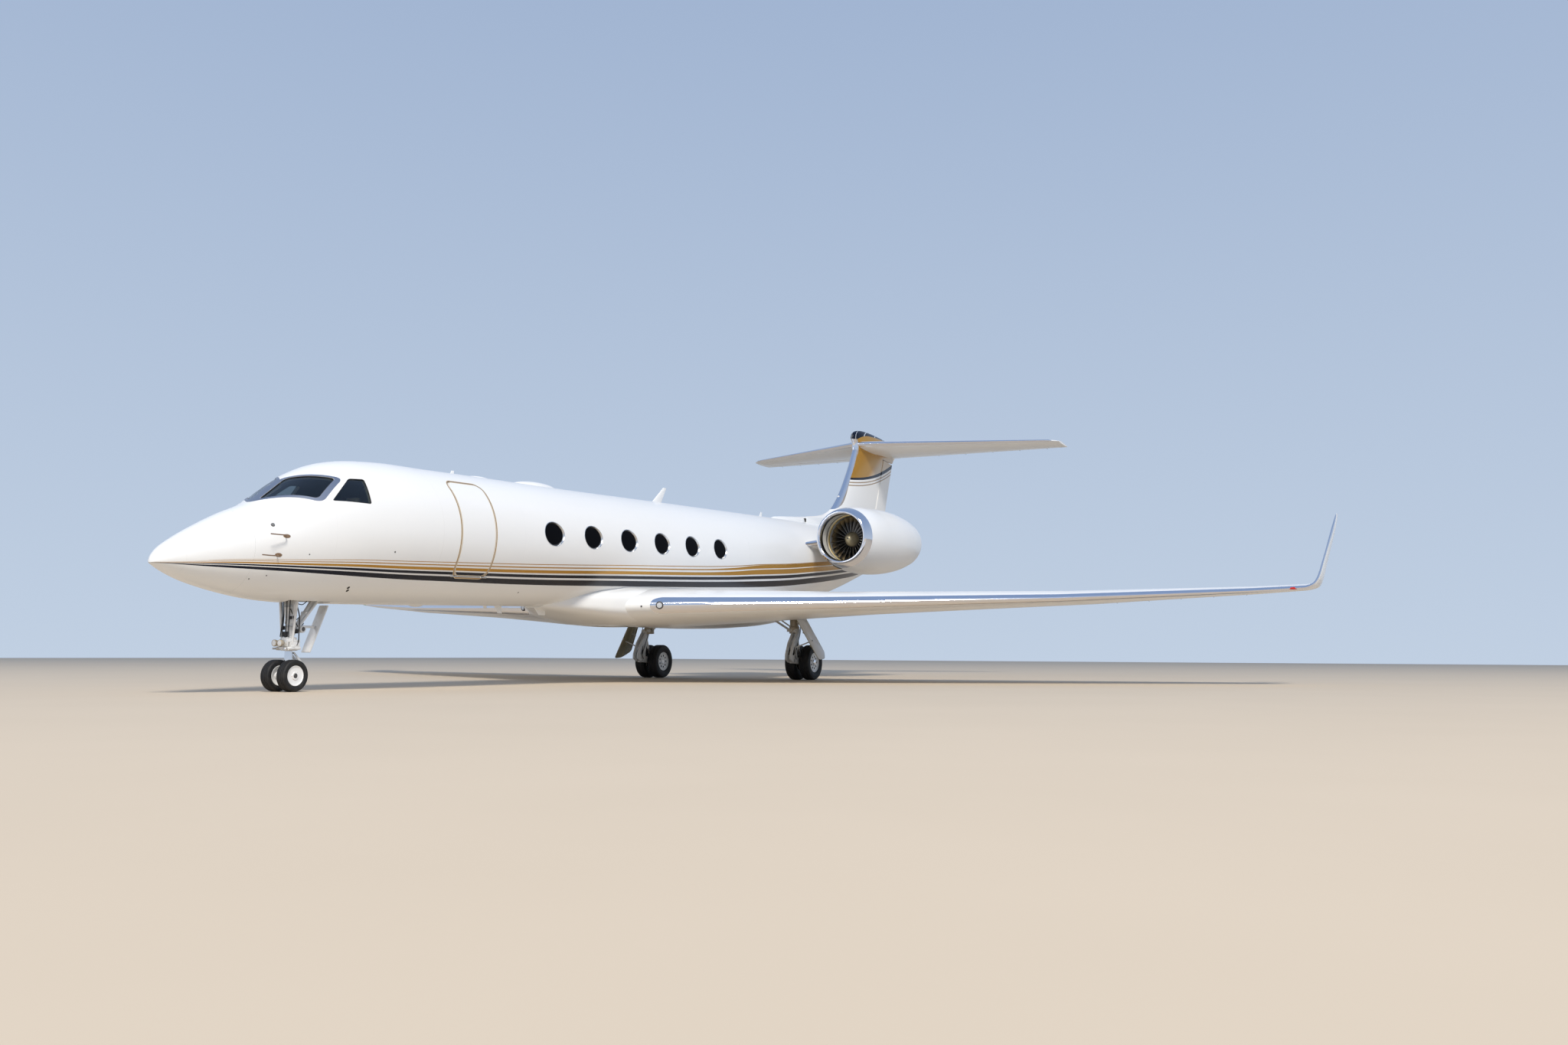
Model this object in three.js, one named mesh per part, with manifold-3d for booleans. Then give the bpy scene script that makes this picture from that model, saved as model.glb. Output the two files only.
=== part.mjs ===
// A twin-engine business jet standing on its landing gear.
// Millimetres. +X is port, +Y is aft, +Z is up. The origin is on the ground,
// on the centreline and half way along the overall length.
// Stations are measured aft from the nose tip; aft(station) gives the Y of one.
import * as THREE from 'three';
import { mergeVertices } from 'three/addons/utils/BufferGeometryUtils.js';
import Module from 'manifold-3d';

const wasm = await Module();
wasm.setup();

// Overall sizes
const LENGTH = 29390;
const HALF_SPAN = 14250;
const WALL = 80;
const SEAT_GAP = 0.35;
const RUNNING_GAP = 8;
const HINGED_END_GAP = 20;
const PIN_GAP = 0.4;

// Fuselage axis: it rises towards the tail, because the jet stands nose down
const AXIS_HEIGHT_AT_NOSE = 2520;
const AXIS_RISE = 0.0285;

// Panel joints along the fuselage
const RADOME_END = 1250;
const COCKPIT_END = 4700;
const CABIN_END = 15600;
const TAIL_END = 27000;

// Cabin windows: ovals in a row on each side
const WINDOW_COUNT = 6;
const FIRST_WINDOW = 7780;
const WINDOW_PITCH = 1276;
const WINDOW_HALF_LENGTH = 310;
const WINDOW_HALF_HEIGHT = 235;
const WINDOW_ABOVE_AXIS = 155;

// Entry door on the port side, hinged along its lower edge
const DOOR_FRONT = 5147;
const DOOR_REAR = 6061;
const DOOR_MIDDLE = (DOOR_FRONT + DOOR_REAR) / 2;
const DOOR_SILL = 1960;
const DOOR_TOP = 3696;
const DOOR_CORNER = 170;
const DOOR_CUT_SLOPE = 0.2;
const DOOR_KNUCKLE_RADIUS = 14;

// Cabin floor below the fuselage axis
const FLOOR_BELOW_AXIS = 600;
const FLOOR_THICKNESS = 50;
const FLOOR_FRONT = 2350;

// Engines
const ENGINE_OUT = 2155;
const ENGINE_HEIGHT = 3725;
const INLET_RADIUS = 610;
const FAN_STATION = 19620;
const FAN_BLADES = 18;

// Landing gear
const NOSE_AXLE = 2480;
const NOSE_STEER_AXIS = 2545;
const NOSE_TYRE_RADIUS = 250;
const NOSE_TYRE_WIDTH = 184;
const NOSE_RIM_RADIUS = 140;
const NOSE_WHEEL_OUT = 175;
const MAIN_AXLE = 16580;
const MAIN_TRACK_HALF = 2187;
const MAIN_TYRE_RADIUS = 425;
const MAIN_TYRE_WIDTH = 280;
const MAIN_RIM_RADIUS = 232;
const MAIN_WHEEL_OUT = 190;

const aft = (station) => station - LENGTH / 2;
const axisHeight = (station) => AXIS_HEIGHT_AT_NOSE + AXIS_RISE * station;
const vec = (x, y, z) => new THREE.Vector3(x, y, z);

// Materials
const finish = (color, roughness, metalness) =>
  new THREE.MeshStandardMaterial({ color, roughness, metalness });
const whitePaint = finish(0xf4f3ee, 0.25, 0.0);
const polishedMetal = finish(0xc9ccd2, 0.2, 1.0);
const darkMetal = finish(0x5c5a57, 0.45, 1.0);
const darkGlass = finish(0x0d0f12, 0.08, 0.0);
const rubber = finish(0x161617, 0.85, 0.0);
const creamLeather = finish(0xcbbd9f, 0.6, 0.0);
const carpet = finish(0x9a8f7c, 0.95, 0.0);
const blackPlastic = finish(0x1b1c1e, 0.7, 0.0);

// A closed solid for cutting and joining, from a closed geometry
function solid(geometry) {
  let g = geometry.clone();
  for (const name of ['normal', 'uv']) g.deleteAttribute(name);
  g = mergeVertices(g, 1e-3);
  const p = g.attributes.position.array;
  const kept = [];
  let volume = 0;
  for (let i = 0; i < g.index.count; i += 3) {
    const t = [0, 1, 2].map((k) => g.index.array[i + k]);
    if (t[0] === t[1] || t[1] === t[2] || t[0] === t[2]) continue;
    const [a, b, c] = t.map((v) => vec(p[3 * v], p[3 * v + 1], p[3 * v + 2]));
    volume += a.dot(b.cross(c));
    kept.push(t);
  }
  const faces = kept.flatMap(([a, b, c]) => (volume < 0 ? [a, c, b] : [a, b, c]));
  return new wasm.Manifold(new wasm.Mesh({
    numProp: 3,
    vertProperties: new Float32Array(p),
    triVerts: new Uint32Array(faces),
  }));
}

// The same solid with each corner moved by a function of its place
function remade(body, move, flip = false) {
  const m = body.getMesh();
  const points = [];
  for (let i = 0; i < m.vertProperties.length; i += 3) {
    points.push(...move(...m.vertProperties.slice(i, i + 3)));
  }
  const faces = [];
  for (let i = 0; i < m.triVerts.length; i += 3) {
    const [a, b, c] = m.triVerts.slice(i, i + 3);
    faces.push(...(flip ? [a, c, b] : [a, b, c]));
  }
  return new wasm.Manifold(new wasm.Mesh({
    numProp: 3,
    vertProperties: new Float32Array(points),
    triVerts: new Uint32Array(faces),
  }));
}
const shifted = (body, dx, dy, dz) => remade(body, (x, y, z) => [x + dx, y + dy, z + dz]);
const mirrored = (body) => remade(body, (x, y, z) => [-x, y, z], true);

const joined = (first, ...rest) => rest.reduce((whole, piece) => whole.add(piece), first);
const cut = (first, ...rest) => rest.reduce((whole, piece) => whole.subtract(piece), first);

// A closed solid through rings that have the same number of points each.
// The two halves of a ring split their quads along opposite diagonals, so that
// the faces of a thin twisted blade stay parallel.
function loft(rings) {
  const count = rings[0].length;
  const points = rings.flat();
  const faces = [];
  for (let r = 0; r + 1 < rings.length; r++) {
    for (let i = 0; i < count; i++) {
      const a = r * count + i;
      const b = r * count + ((i + 1) % count);
      if (i < count / 2) faces.push(a, b, b + count, a, b + count, a + count);
      else faces.push(a, b, a + count, b, b + count, a + count);
    }
  }
  for (const r of [0, rings.length - 1]) {
    const middle = rings[r].reduce((sum, p) => sum.add(p), vec(0, 0, 0)).divideScalar(count);
    const hub = points.push(middle) - 1;
    for (let i = 0; i < count; i++) {
      const pair = [r * count + i, r * count + ((i + 1) % count)];
      if (r > 0) pair.reverse();
      faces.push(hub, pair[1], pair[0]);
    }
  }
  const g = new THREE.BufferGeometry();
  g.setAttribute('position', new THREE.Float32BufferAttribute(points.flatMap((p) => p.toArray()), 3));
  g.setIndex(faces);
  return solid(g);
}

function box(x0, x1, station0, station1, z0, z1) {
  const g = new THREE.BoxGeometry(x1 - x0, station1 - station0, z1 - z0);
  g.translate((x0 + x1) / 2, aft((station0 + station1) / 2), (z0 + z1) / 2);
  return solid(g);
}

// A round rod, or a cone where the two radii differ; ends are [x, station, z]
function rod(start, end, radius, sides = 8, endRadius = radius) {
  const a = vec(start[0], aft(start[1]), start[2]);
  const b = vec(end[0], aft(end[1]), end[2]);
  const along = b.clone().sub(a);
  const g = new THREE.CylinderGeometry(endRadius, radius, along.length(), sides);
  g.translate(0, along.length() / 2, 0);
  g.applyQuaternion(new THREE.Quaternion().setFromUnitVectors(vec(0, 1, 0), along.normalize()));
  g.translate(a.x, a.y, a.z);
  return solid(g);
}

// A hinge pin with pointed ends, which stay clear of slanted walls as it turns
const POINT_LENGTH = 24;
function pin(start, end, radius) {
  const a = vec(start[0], aft(start[1]), start[2]);
  const along = vec(end[0], aft(end[1]), end[2]).sub(a);
  const reach = along.length();
  const profile = [[0, PIN_GAP], [radius, POINT_LENGTH], [radius, reach - POINT_LENGTH], [0, reach - PIN_GAP]];
  const g = new THREE.LatheGeometry(profile.map(([r, d]) => new THREE.Vector2(r, d)), 8);
  g.applyQuaternion(new THREE.Quaternion().setFromUnitVectors(vec(0, 1, 0), along.normalize()));
  g.translate(a.x, a.y, a.z);
  return solid(g);
}

// A flat outline of [station, z] points, extruded along X
function sidePlate(points, x0, x1) {
  const shape = new THREE.Shape(points.map(([s, z]) => new THREE.Vector2(aft(s), z)));
  const g = new THREE.ExtrudeGeometry(shape, { depth: x1 - x0, bevelEnabled: false, curveSegments: 5 });
  g.applyMatrix4(new THREE.Matrix4().set(0, 0, 1, x0, 1, 0, 0, 0, 0, 1, 0, 0, 0, 0, 0, 1));
  return solid(g);
}

// A plan outline of [x, station] points, extruded along Z
function planPlate(points, z0, z1) {
  const shape = new THREE.Shape(points.map(([x, s]) => new THREE.Vector2(x, aft(s))));
  const g = new THREE.ExtrudeGeometry(shape, { depth: z1 - z0, bevelEnabled: false });
  g.translate(0, 0, z0);
  return solid(g);
}

// Everything between two distances from the centreline, for trimming slanted pins
const between = (x0, x1) => box(x0, x1, 0, LENGTH + 1000, 0, 9000);

// A ring or disc turned about an axis along Y, from closed [radius, station] points
function turned(points, sides, x, z) {
  const g = new THREE.LatheGeometry(points.map(([r, s]) => new THREE.Vector2(r, aft(s))), sides);
  g.translate(x, 0, z);
  return solid(g);
}

function named(name, body, material) {
  const m = body.getMesh();
  const g = new THREE.BufferGeometry();
  g.setAttribute('position', new THREE.Float32BufferAttribute(m.vertProperties, 3));
  g.setIndex(Array.from(m.triVerts));
  g.computeVertexNormals();
  const mesh = new THREE.Mesh(g, material);
  mesh.name = name;
  return mesh;
}

const jet = new THREE.Group();
const addPart = (name, body, material) => jet.add(named(name, body, material));
function addPair(name, portBody, material) {
  addPart(`left_${name}`, portBody, material);
  addPart(`right_${name}`, mirrored(portBody), material);
}

// Fuselage sections: station, half width, top height, height of the widest point, bottom height
const SECTIONS = [
  [0, 25, 1905, 1880, 1858],
  [70, 130, 2033, 1905, 1843],
  [180, 222, 2140, 1935, 1785],
  [330, 305, 2243, 1965, 1720],
  [560, 410, 2385, 2010, 1639],
  [820, 510, 2527, 2065, 1574],
  [1250, 655, 2742, 2160, 1490],
  [1660, 775, 2914, 2260, 1432],
  [1970, 850, 3144, 2330, 1407],
  [2270, 918, 3372, 2395, 1396],
  [2550, 975, 3529, 2450, 1394],
  [2920, 1040, 3682, 2505, 1400],
  [3500, 1110, 3801, 2570, 1412],
  [4200, 1165, 3862, 2625, 1428],
  [5200, 1195, 3885, 2668, 1453],
  [9000, 1195, 3995, 2776, 1561],
  [14000, 1195, 4166, 2919, 1704],
  [17600, 1195, 4284, 3022, 1807],
  [19200, 1180, 4335, 3075, 1900],
  [20800, 1080, 4385, 3180, 2150],
  [22400, 900, 4420, 3330, 2480],
  [24000, 650, 4430, 3500, 2870],
  [25400, 400, 4380, 3660, 3230],
  [26500, 220, 4250, 3800, 3500],
  [27000, 110, 4120, 3860, 3680],
];
const BODY_SIDES = 28;

function sectionAt(station) {
  const next = SECTIONS.findIndex((row) => row[0] > station);
  if (next < 1) return next === 0 ? SECTIONS[0] : SECTIONS[SECTIONS.length - 1];
  const [before, after] = [SECTIONS[next - 1], SECTIONS[next]];
  const t = (station - before[0]) / (after[0] - before[0]);
  return before.map((value, i) => value + t * (after[i] - value));
}

// Distance from the centreline to the skin at a station and height
function skinOut(station, z, inset = 0) {
  const [, half, top, wide, bottom] = sectionAt(station);
  const reach = z > wide ? top - wide - inset : wide - bottom - inset;
  return (half - inset) * Math.sqrt(Math.max(0, 1 - ((z - wide) / reach) ** 2));
}

// The fuselage between two stations, set in from the skin by a distance
function fuselage(from, to, inset = 0) {
  const between = SECTIONS.map((row) => row[0]).filter((s) => s > from + 1 && s < to - 1);
  return loft([from, ...between, to].map((station) => {
    const [, half, top, wide, bottom] = sectionAt(station);
    const ring = [];
    for (let i = 0; i < BODY_SIDES; i++) {
      const angle = (2 * Math.PI * i) / BODY_SIDES;
      const up = Math.cos(angle);
      const reach = (up > 0 ? top - wide : wide - bottom) - inset;
      ring.push(vec((half - inset) * Math.sin(angle), aft(station), wide + reach * up));
    }
    return ring;
  }));
}

// Cockpit panes on the port side: corners [x, station, z] in order round each pane
const PANES = {
  windshield: [[95, 1745, 2955], [95, 2235, 3345], [630, 2765, 3380], [745, 2321, 3005]],
  side_window: [[840, 2525, 2990], [690, 2975, 3400], [750, 3250, 3420], [990, 3205, 2990]],
};

// A slab through the skin over one pane, its corners pulled in by a margin
function paneSlab(corners, margin, depth) {
  const points = corners.map(([x, s, z]) => vec(x, aft(s), z));
  const middle = points.reduce((sum, p) => sum.add(p), vec(0, 0, 0)).divideScalar(points.length);
  const normal = points[2].clone().sub(points[0]).cross(points[3].clone().sub(points[1])).normalize();
  const flat = points.map((p) => {
    const side = p.clone().sub(middle);
    side.addScaledVector(normal, -side.dot(normal));
    return side.setLength(side.length() - margin).add(middle);
  });
  return loft([-depth, depth].map((d) => flat.map((p) => p.clone().addScaledVector(normal, d))));
}

function windowOval(station, half, x0, x1, shrink = 0) {
  const height = axisHeight(station) + WINDOW_ABOVE_AXIS;
  const sides = 12;
  const ring = (x) => Array.from({ length: sides }, (_, i) => {
    const a = (2 * Math.PI * i) / sides;
    return vec(
      x,
      aft(station) + (half - shrink) * Math.cos(a),
      height + (WINDOW_HALF_HEIGHT - shrink) * Math.sin(a),
    );
  });
  return loft([ring(x0), ring(x1)]);
}
const windowStations = Array.from({ length: WINDOW_COUNT }, (_, i) => FIRST_WINDOW + i * WINDOW_PITCH);

// Entry door: a rounded outline cut along a slope, so that its top clears the frame as it opens
function doorSlab(margin) {
  const outline = new THREE.Shape();
  const [front, rear] = [aft(DOOR_FRONT) + margin, aft(DOOR_REAR) - margin];
  const [low, high] = [DOOR_SILL + margin, DOOR_TOP - margin];
  const r = DOOR_CORNER + margin;
  outline.moveTo(front + r, low);
  outline.lineTo(rear - r, low);
  outline.absarc(rear - r, low + r, r, -Math.PI / 2, 0);
  outline.lineTo(rear, high - r);
  outline.absarc(rear - r, high - r, r, 0, Math.PI / 2);
  outline.lineTo(front + r, high);
  outline.absarc(front + r, high - r, r, Math.PI / 2, Math.PI);
  outline.lineTo(front, low + r);
  outline.absarc(front + r, low + r, r, Math.PI, 1.5 * Math.PI);
  const g = new THREE.ExtrudeGeometry(outline, { depth: 1200, bevelEnabled: false, curveSegments: 4 });
  const inner = 300;
  const outlineOut = 1000;
  const drop = DOOR_CUT_SLOPE * (inner - outlineOut) - AXIS_RISE * aft(DOOR_MIDDLE);
  g.applyMatrix4(new THREE.Matrix4().set(
    0, 0, 1, inner,
    1, 0, 0, 0,
    AXIS_RISE, 1, DOOR_CUT_SLOPE, drop,
    0, 0, 0, 1,
  ));
  return solid(g);
}
const doorHingeX = skinOut(DOOR_MIDDLE, DOOR_SILL) + 3;
const doorHinge = (station) => [doorHingeX, station, DOOR_SILL - 4 + AXIS_RISE * (station - DOOR_MIDDLE)];
const doorPin = (from, to, radius) => rod(doorHinge(from), doorHinge(to), radius);
const KNUCKLE_INNER_END = 150;
const fixedKnuckles = [
  [DOOR_FRONT - 20, DOOR_FRONT + KNUCKLE_INNER_END],
  [DOOR_REAR - KNUCKLE_INNER_END, DOOR_REAR + 20],
];
const doorKnuckle = [
  DOOR_FRONT + KNUCKLE_INNER_END + PIN_GAP,
  DOOR_REAR - KNUCKLE_INNER_END - PIN_GAP,
];

// Nose gear bay in the belly of the cockpit
const BAY = { front: 2300, rear: 3150, half: 240, roof: 1720, wall: 30 };

addPart('radome', fuselage(0, RADOME_END - SEAT_GAP), whitePaint);

const belowCockpit = fuselage(RADOME_END, COCKPIT_END - SEAT_GAP);
const bayBlock = box(
  -BAY.half - BAY.wall, BAY.half + BAY.wall, BAY.front - BAY.wall, BAY.rear + BAY.wall,
  1300, BAY.roof + BAY.wall,
);
let cockpitShell = cut(belowCockpit, fuselage(RADOME_END + WALL, COCKPIT_END + WALL, WALL));
cockpitShell = joined(cockpitShell, bayBlock.intersect(belowCockpit));
cockpitShell = cut(cockpitShell, box(-BAY.half, BAY.half, BAY.front, BAY.rear, 1300, BAY.roof));
const glassLayer = cut(fuselage(1300, 4000, 12), fuselage(1200, 4100, 34));
for (const [name, corners] of Object.entries(PANES)) {
  const slab = paneSlab(corners, 0, 260);
  cockpitShell = cut(cockpitShell, slab, mirrored(slab));
  addPair(name, glassLayer.intersect(paneSlab(corners, SEAT_GAP, 250)), darkGlass);
}
addPart('cockpit_shell', cockpitShell, whitePaint);

const cabinInside = fuselage(COCKPIT_END - WALL, CABIN_END - WALL, WALL);
let cabinShell = cut(fuselage(COCKPIT_END, CABIN_END - SEAT_GAP), cabinInside);
for (const station of windowStations) {
  cabinShell = cut(cabinShell, windowOval(station, WINDOW_HALF_LENGTH, -1400, 1400));
}
cabinShell = cut(cabinShell, doorSlab(0), doorPin(...doorKnuckle, DOOR_KNUCKLE_RADIUS + 6));
for (const span of fixedKnuckles) {
  cabinShell = joined(cabinShell, doorPin(...span, DOOR_KNUCKLE_RADIUS));
}
addPart('cabin_shell', cabinShell, whitePaint);

const doorWall = cut(fuselage(DOOR_FRONT - 100, DOOR_REAR + 100), cabinInside);
let door = doorWall.intersect(doorSlab(RUNNING_GAP));
for (const [from, to] of fixedKnuckles) {
  door = cut(door, doorPin(from - 6, to + 6, DOOR_KNUCKLE_RADIUS + 6));
}
door = joined(door, doorPin(...doorKnuckle, DOOR_KNUCKLE_RADIUS));
addPart('entry_door', door, whitePaint);

// Cabin windows: six double-pane units on each side, on a rail inside the wall
const RAIL_LOW = 40;
const RAIL_HIGH = 120;
const RAIL_THICKNESS = 12;
const PANE_DEPTH = 10;
const windowZone = [FIRST_WINDOW - 400, windowStations[WINDOW_COUNT - 1] + 400];
function wallLayer(insetOut, insetIn) {
  const [from, to] = windowZone;
  return cut(fuselage(from, to, insetOut), fuselage(from - 10, to + 10, insetIn));
}
const rail = wallLayer(WALL + SEAT_GAP, WALL + RAIL_THICKNESS).intersect(sidePlate([
  [windowZone[0], axisHeight(windowZone[0]) + RAIL_LOW], [windowZone[1], axisHeight(windowZone[1]) + RAIL_LOW],
  [windowZone[1], axisHeight(windowZone[1]) + RAIL_HIGH], [windowZone[0], axisHeight(windowZone[0]) + RAIL_HIGH],
], 300, 1300));
const paneLayer = wallLayer(PANE_DEPTH, WALL + RAIL_THICKNESS);
const cabinWindows = joined(rail, ...windowStations.map((station) =>
  paneLayer.intersect(windowOval(station, WINDOW_HALF_LENGTH, 300, 1300, SEAT_GAP))));
addPair('cabin_windows', cabinWindows, darkGlass);

// Tail cone: a shell that the cabin's rear bulkhead closes
const TAIL_ROOM_END = 25600;
const tailCone = cut(fuselage(CABIN_END, TAIL_END), fuselage(CABIN_END - WALL, TAIL_ROOM_END, WALL));
addPart('tail_cone', tailCone, whitePaint);

// Cabin floor with the passenger seats that it carries
const SEAT_STATIONS = [8150, 9500, 10900, 12250, 13500];
const floorTop = (station) => axisHeight(station) - FLOOR_BELOW_AXIS;
const floorEnd = CABIN_END - WALL - 2;
let cabinFloor = sidePlate([
  [FLOOR_FRONT, floorTop(FLOOR_FRONT) - FLOOR_THICKNESS], [floorEnd, floorTop(floorEnd) - FLOOR_THICKNESS],
  [floorEnd, floorTop(floorEnd)], [FLOOR_FRONT, floorTop(FLOOR_FRONT)],
], -1100, 1100).intersect(fuselage(FLOOR_FRONT - 10, CABIN_END - WALL, WALL + SEAT_GAP));
cabinFloor = cut(cabinFloor, box(780, 1200, DOOR_FRONT - 20, DOOR_REAR + 20, 1800, 2600));
const SEAT_INNER = 330;
const SEAT_OUTER = 830;
const portSeats = joined(...SEAT_STATIONS.map((station) => {
  const base = floorTop(station);
  return joined(
    box(SEAT_INNER, SEAT_OUTER, station, station + 520, base - 20, base + 430),
    box(SEAT_INNER, SEAT_OUTER, station + 420, station + 560, base - 20, base + 1000),
  );
}));
cabinFloor = joined(cabinFloor, portSeats, mirrored(portSeats));
addPart('cabin_floor', cabinFloor, carpet);

// Cockpit: instrument panel with its centre pedestal, and the two pilot seats
const PANEL = { front: 2060, rear: 2420, half: 600, low: 2330, high: 2850 };
const instrumentPanel = joined(
  box(-PANEL.half, PANEL.half, PANEL.front + 100, PANEL.rear - 80, PANEL.low, PANEL.high - 40),
  box(-PANEL.half, PANEL.half, PANEL.front, PANEL.rear, PANEL.high - 60, PANEL.high),
  sidePlate([
    [PANEL.rear - 100, floorTop(PANEL.rear) + SEAT_GAP + 0.3], [3050, floorTop(3050) + SEAT_GAP + 0.3],
    [3050, 2400], [PANEL.rear - 100, 2560],
  ], -110, 110),
);
addPart('instrument_panel', instrumentPanel, blackPlastic);

function pilotSeat() {
  const front = 2780;
  const out = 420;
  const base = floorTop(front) + 14;
  const foot = sidePlate([
    [front + 80, floorTop(front + 80) + SEAT_GAP], [front + 420, floorTop(front + 420) + SEAT_GAP],
    [front + 420, base + 300], [front + 80, base + 300],
  ], out - 130, out + 130);
  const cushion = box(out - 240, out + 240, front, front + 500, base + 290, base + 440);
  const back = sidePlate([
    [front + 400, base + 300], [front + 540, base + 300], [front + 660, base + 1130], [front + 560, base + 1130],
  ], out - 230, out + 230);
  return joined(foot, cushion, back);
}
addPair('pilot_seat', pilotSeat(), creamLeather);

// Belly fairing under the wing: station, half width, bottom height, top height
const FAIRING = [
  [8700, 260, 1530, 1800],
  [9400, 760, 1420, 1900],
  [10200, 1150, 1300, 2000],
  [11000, 1330, 1225, 2080],
  [14700, 1360, 1225, 2150],
  [16400, 1300, 1290, 2150],
  [18000, 1050, 1430, 2150],
  [19400, 650, 1650, 2200],
  [20300, 250, 1930, 2250],
];
const fairingLoft = loft(FAIRING.map(([station, half, bottom, top]) => {
  const middle = (bottom + top) / 2;
  const sides = 28;
  return Array.from({ length: sides }, (_, i) => {
    const a = (2 * Math.PI * i) / sides;
    const corner = 0.62;
    const round = (v) => Math.sign(v) * Math.abs(v) ** corner;
    return vec(half * round(Math.sin(a)), aft(station), middle + ((top - bottom) / 2) * round(Math.cos(a)));
  });
}));
const bodyForCuts = fuselage(5200, TAIL_END);
const bellyFairing = cut(fairingLoft, shifted(bodyForCuts, 0, 0, -SEAT_GAP));
addPart('belly_fairing', bellyFairing, whitePaint);

// Wing, fin and stabilizer sections are symmetric or slightly cambered aerofoils.
// Each ring runs from the trailing edge over the top to the nose and back below.
const CHORD_STEPS = [1, 0.76, 0.5, 0.26, 0.1, 0.025, 0];
const EDGE_THICKNESS = 0.004;
function aerofoil(thickness, camber) {
  const half = (c) => 5 * thickness * (0.2969 * Math.sqrt(c) - 0.126 * c - 0.3516 * c ** 2
    + 0.2843 * c ** 3 - 0.1036 * c ** 4) + (EDGE_THICKNESS / 2) * c;
  const line = (c) => 4 * camber * c * (1 - c);
  const upper = CHORD_STEPS.map((c) => [c, line(c) + half(c)]);
  const lower = CHORD_STEPS.slice(0, -1).reverse().map((c) => [c, line(c) - half(c)]);
  return [...upper, ...lower];
}

// Wing sections: x, leading-edge station, leading-edge height, chord, trailing-edge height, thickness, camber
const WING = [
  [700, 9965, 1590, 7300, 1500, 0.115, 0.012],
  [1600, 10500, 1620, 6740, 1530, 0.115, 0.012],
  [4500, 12225, 1695, 4850, 1640, 0.105, 0.014],
  [9000, 14920, 1842, 3220, 1830, 0.095, 0.016],
  [12600, 17060, 2030, 1920, 2050, 0.09, 0.016],
  [13650, 17690, 2110, 1540, 2140, 0.09, 0.012],
];
function wingRing([x, lead, leadHeight, chord, trailHeight, thickness, camber]) {
  return aerofoil(thickness, camber).map(([c, t]) =>
    vec(x, aft(lead + c * chord), leadHeight + (trailHeight - leadHeight) * c + t * chord));
}

// Winglet sections: x, height, leading-edge station, chord, thickness, lean from upright in degrees
const WINGLET = [
  [13820, 2190, 17830, 1430, 0.085, 55],
  [13905, 2330, 17960, 1300, 0.08, 22],
  [14000, 2700, 18230, 1080, 0.075, 14],
  [HALF_SPAN - 21, 3790, 19180, 560, 0.07, 14],
  [HALF_SPAN - 12, 3850, 19300, 430, 0.05, 14],
];
function wingletRing([x, z, lead, chord, thickness, lean]) {
  const a = THREE.MathUtils.degToRad(lean);
  return aerofoil(thickness, 0).map(([c, t]) =>
    vec(x - t * chord * Math.cos(a), aft(lead + c * chord), z + t * chord * Math.sin(a)));
}
const wingLoft = loft([...WING.map(wingRing), ...WINGLET.map(wingletRing)]);

// Hinge lines on the port wing: [x, station] of the inboard and outboard ends
const FLAP_EDGE = [[1660, 16399], [4500, 16330], [9100, 17391]];
const AILERON_EDGE = [[9160, 17440], [12500, 18510]];
const SPOILER_SPANS = [[4700, 6080], [6130, 7510], [7560, 8940]];
const SPOILER_CHORD = 430;
const SPOILER_THICKNESS = 22;
const edgeStation = (edge, x) => {
  const pair = x < edge[edge.length - 2][0] ? edge.slice(0, 2) : edge.slice(-2);
  const t = (x - pair[0][0]) / (pair[1][0] - pair[0][0]);
  return pair[0][1] + t * (pair[1][1] - pair[0][1]);
};
function wingRowAt(x) {
  const next = WING.findIndex((row) => row[0] > x);
  const [before, after] = [WING[next - 1], WING[next]];
  const t = (x - before[0]) / (after[0] - before[0]);
  return before.map((value, i) => value + t * (after[i] - value));
}
// Height of the wing's upper (side 1) or lower (side -1) skin, and of its middle (side 0)
function wingHeight(x, station, side) {
  const [, lead, leadHeight, chord, trailHeight, thickness, camber] = wingRowAt(x);
  const c = (station - lead) / chord;
  const profile = aerofoil(thickness, camber);
  const rows = side < 0 ? profile.slice(CHORD_STEPS.length - 1) : profile.slice(0, CHORD_STEPS.length).reverse();
  const skin = (list) => {
    const i = Math.max(1, list.findIndex(([step]) => step >= c));
    const f = (c - list[i - 1][0]) / (list[i][0] - list[i - 1][0]);
    return list[i - 1][1] + f * (list[i][1] - list[i - 1][1]);
  };
  const t = side === 0 ? 4 * camber * c * (1 - c) : skin(rows);
  return leadHeight + (trailHeight - leadHeight) * c + t * chord;
}

// Region behind an edge between two spans, as a plan outline. Its two ends run
// straight aft, or lean inboard by a slope, square to a swept hinge.
const WELL_AFT = 20500;
function behind(edge, from, to, offset, slope = 0) {
  const inner = edge.filter(([x]) => x > from && x < to);
  const front = [[from, edgeStation(edge, from)], ...inner, [to, edgeStation(edge, to)]];
  const rear = (x) => [x - slope * (WELL_AFT - edgeStation(edge, x)), WELL_AFT];
  return planPlate([...front.map(([x, s]) => [x, s + offset]), rear(to), rear(from)], 1000, 3000);
}

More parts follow.
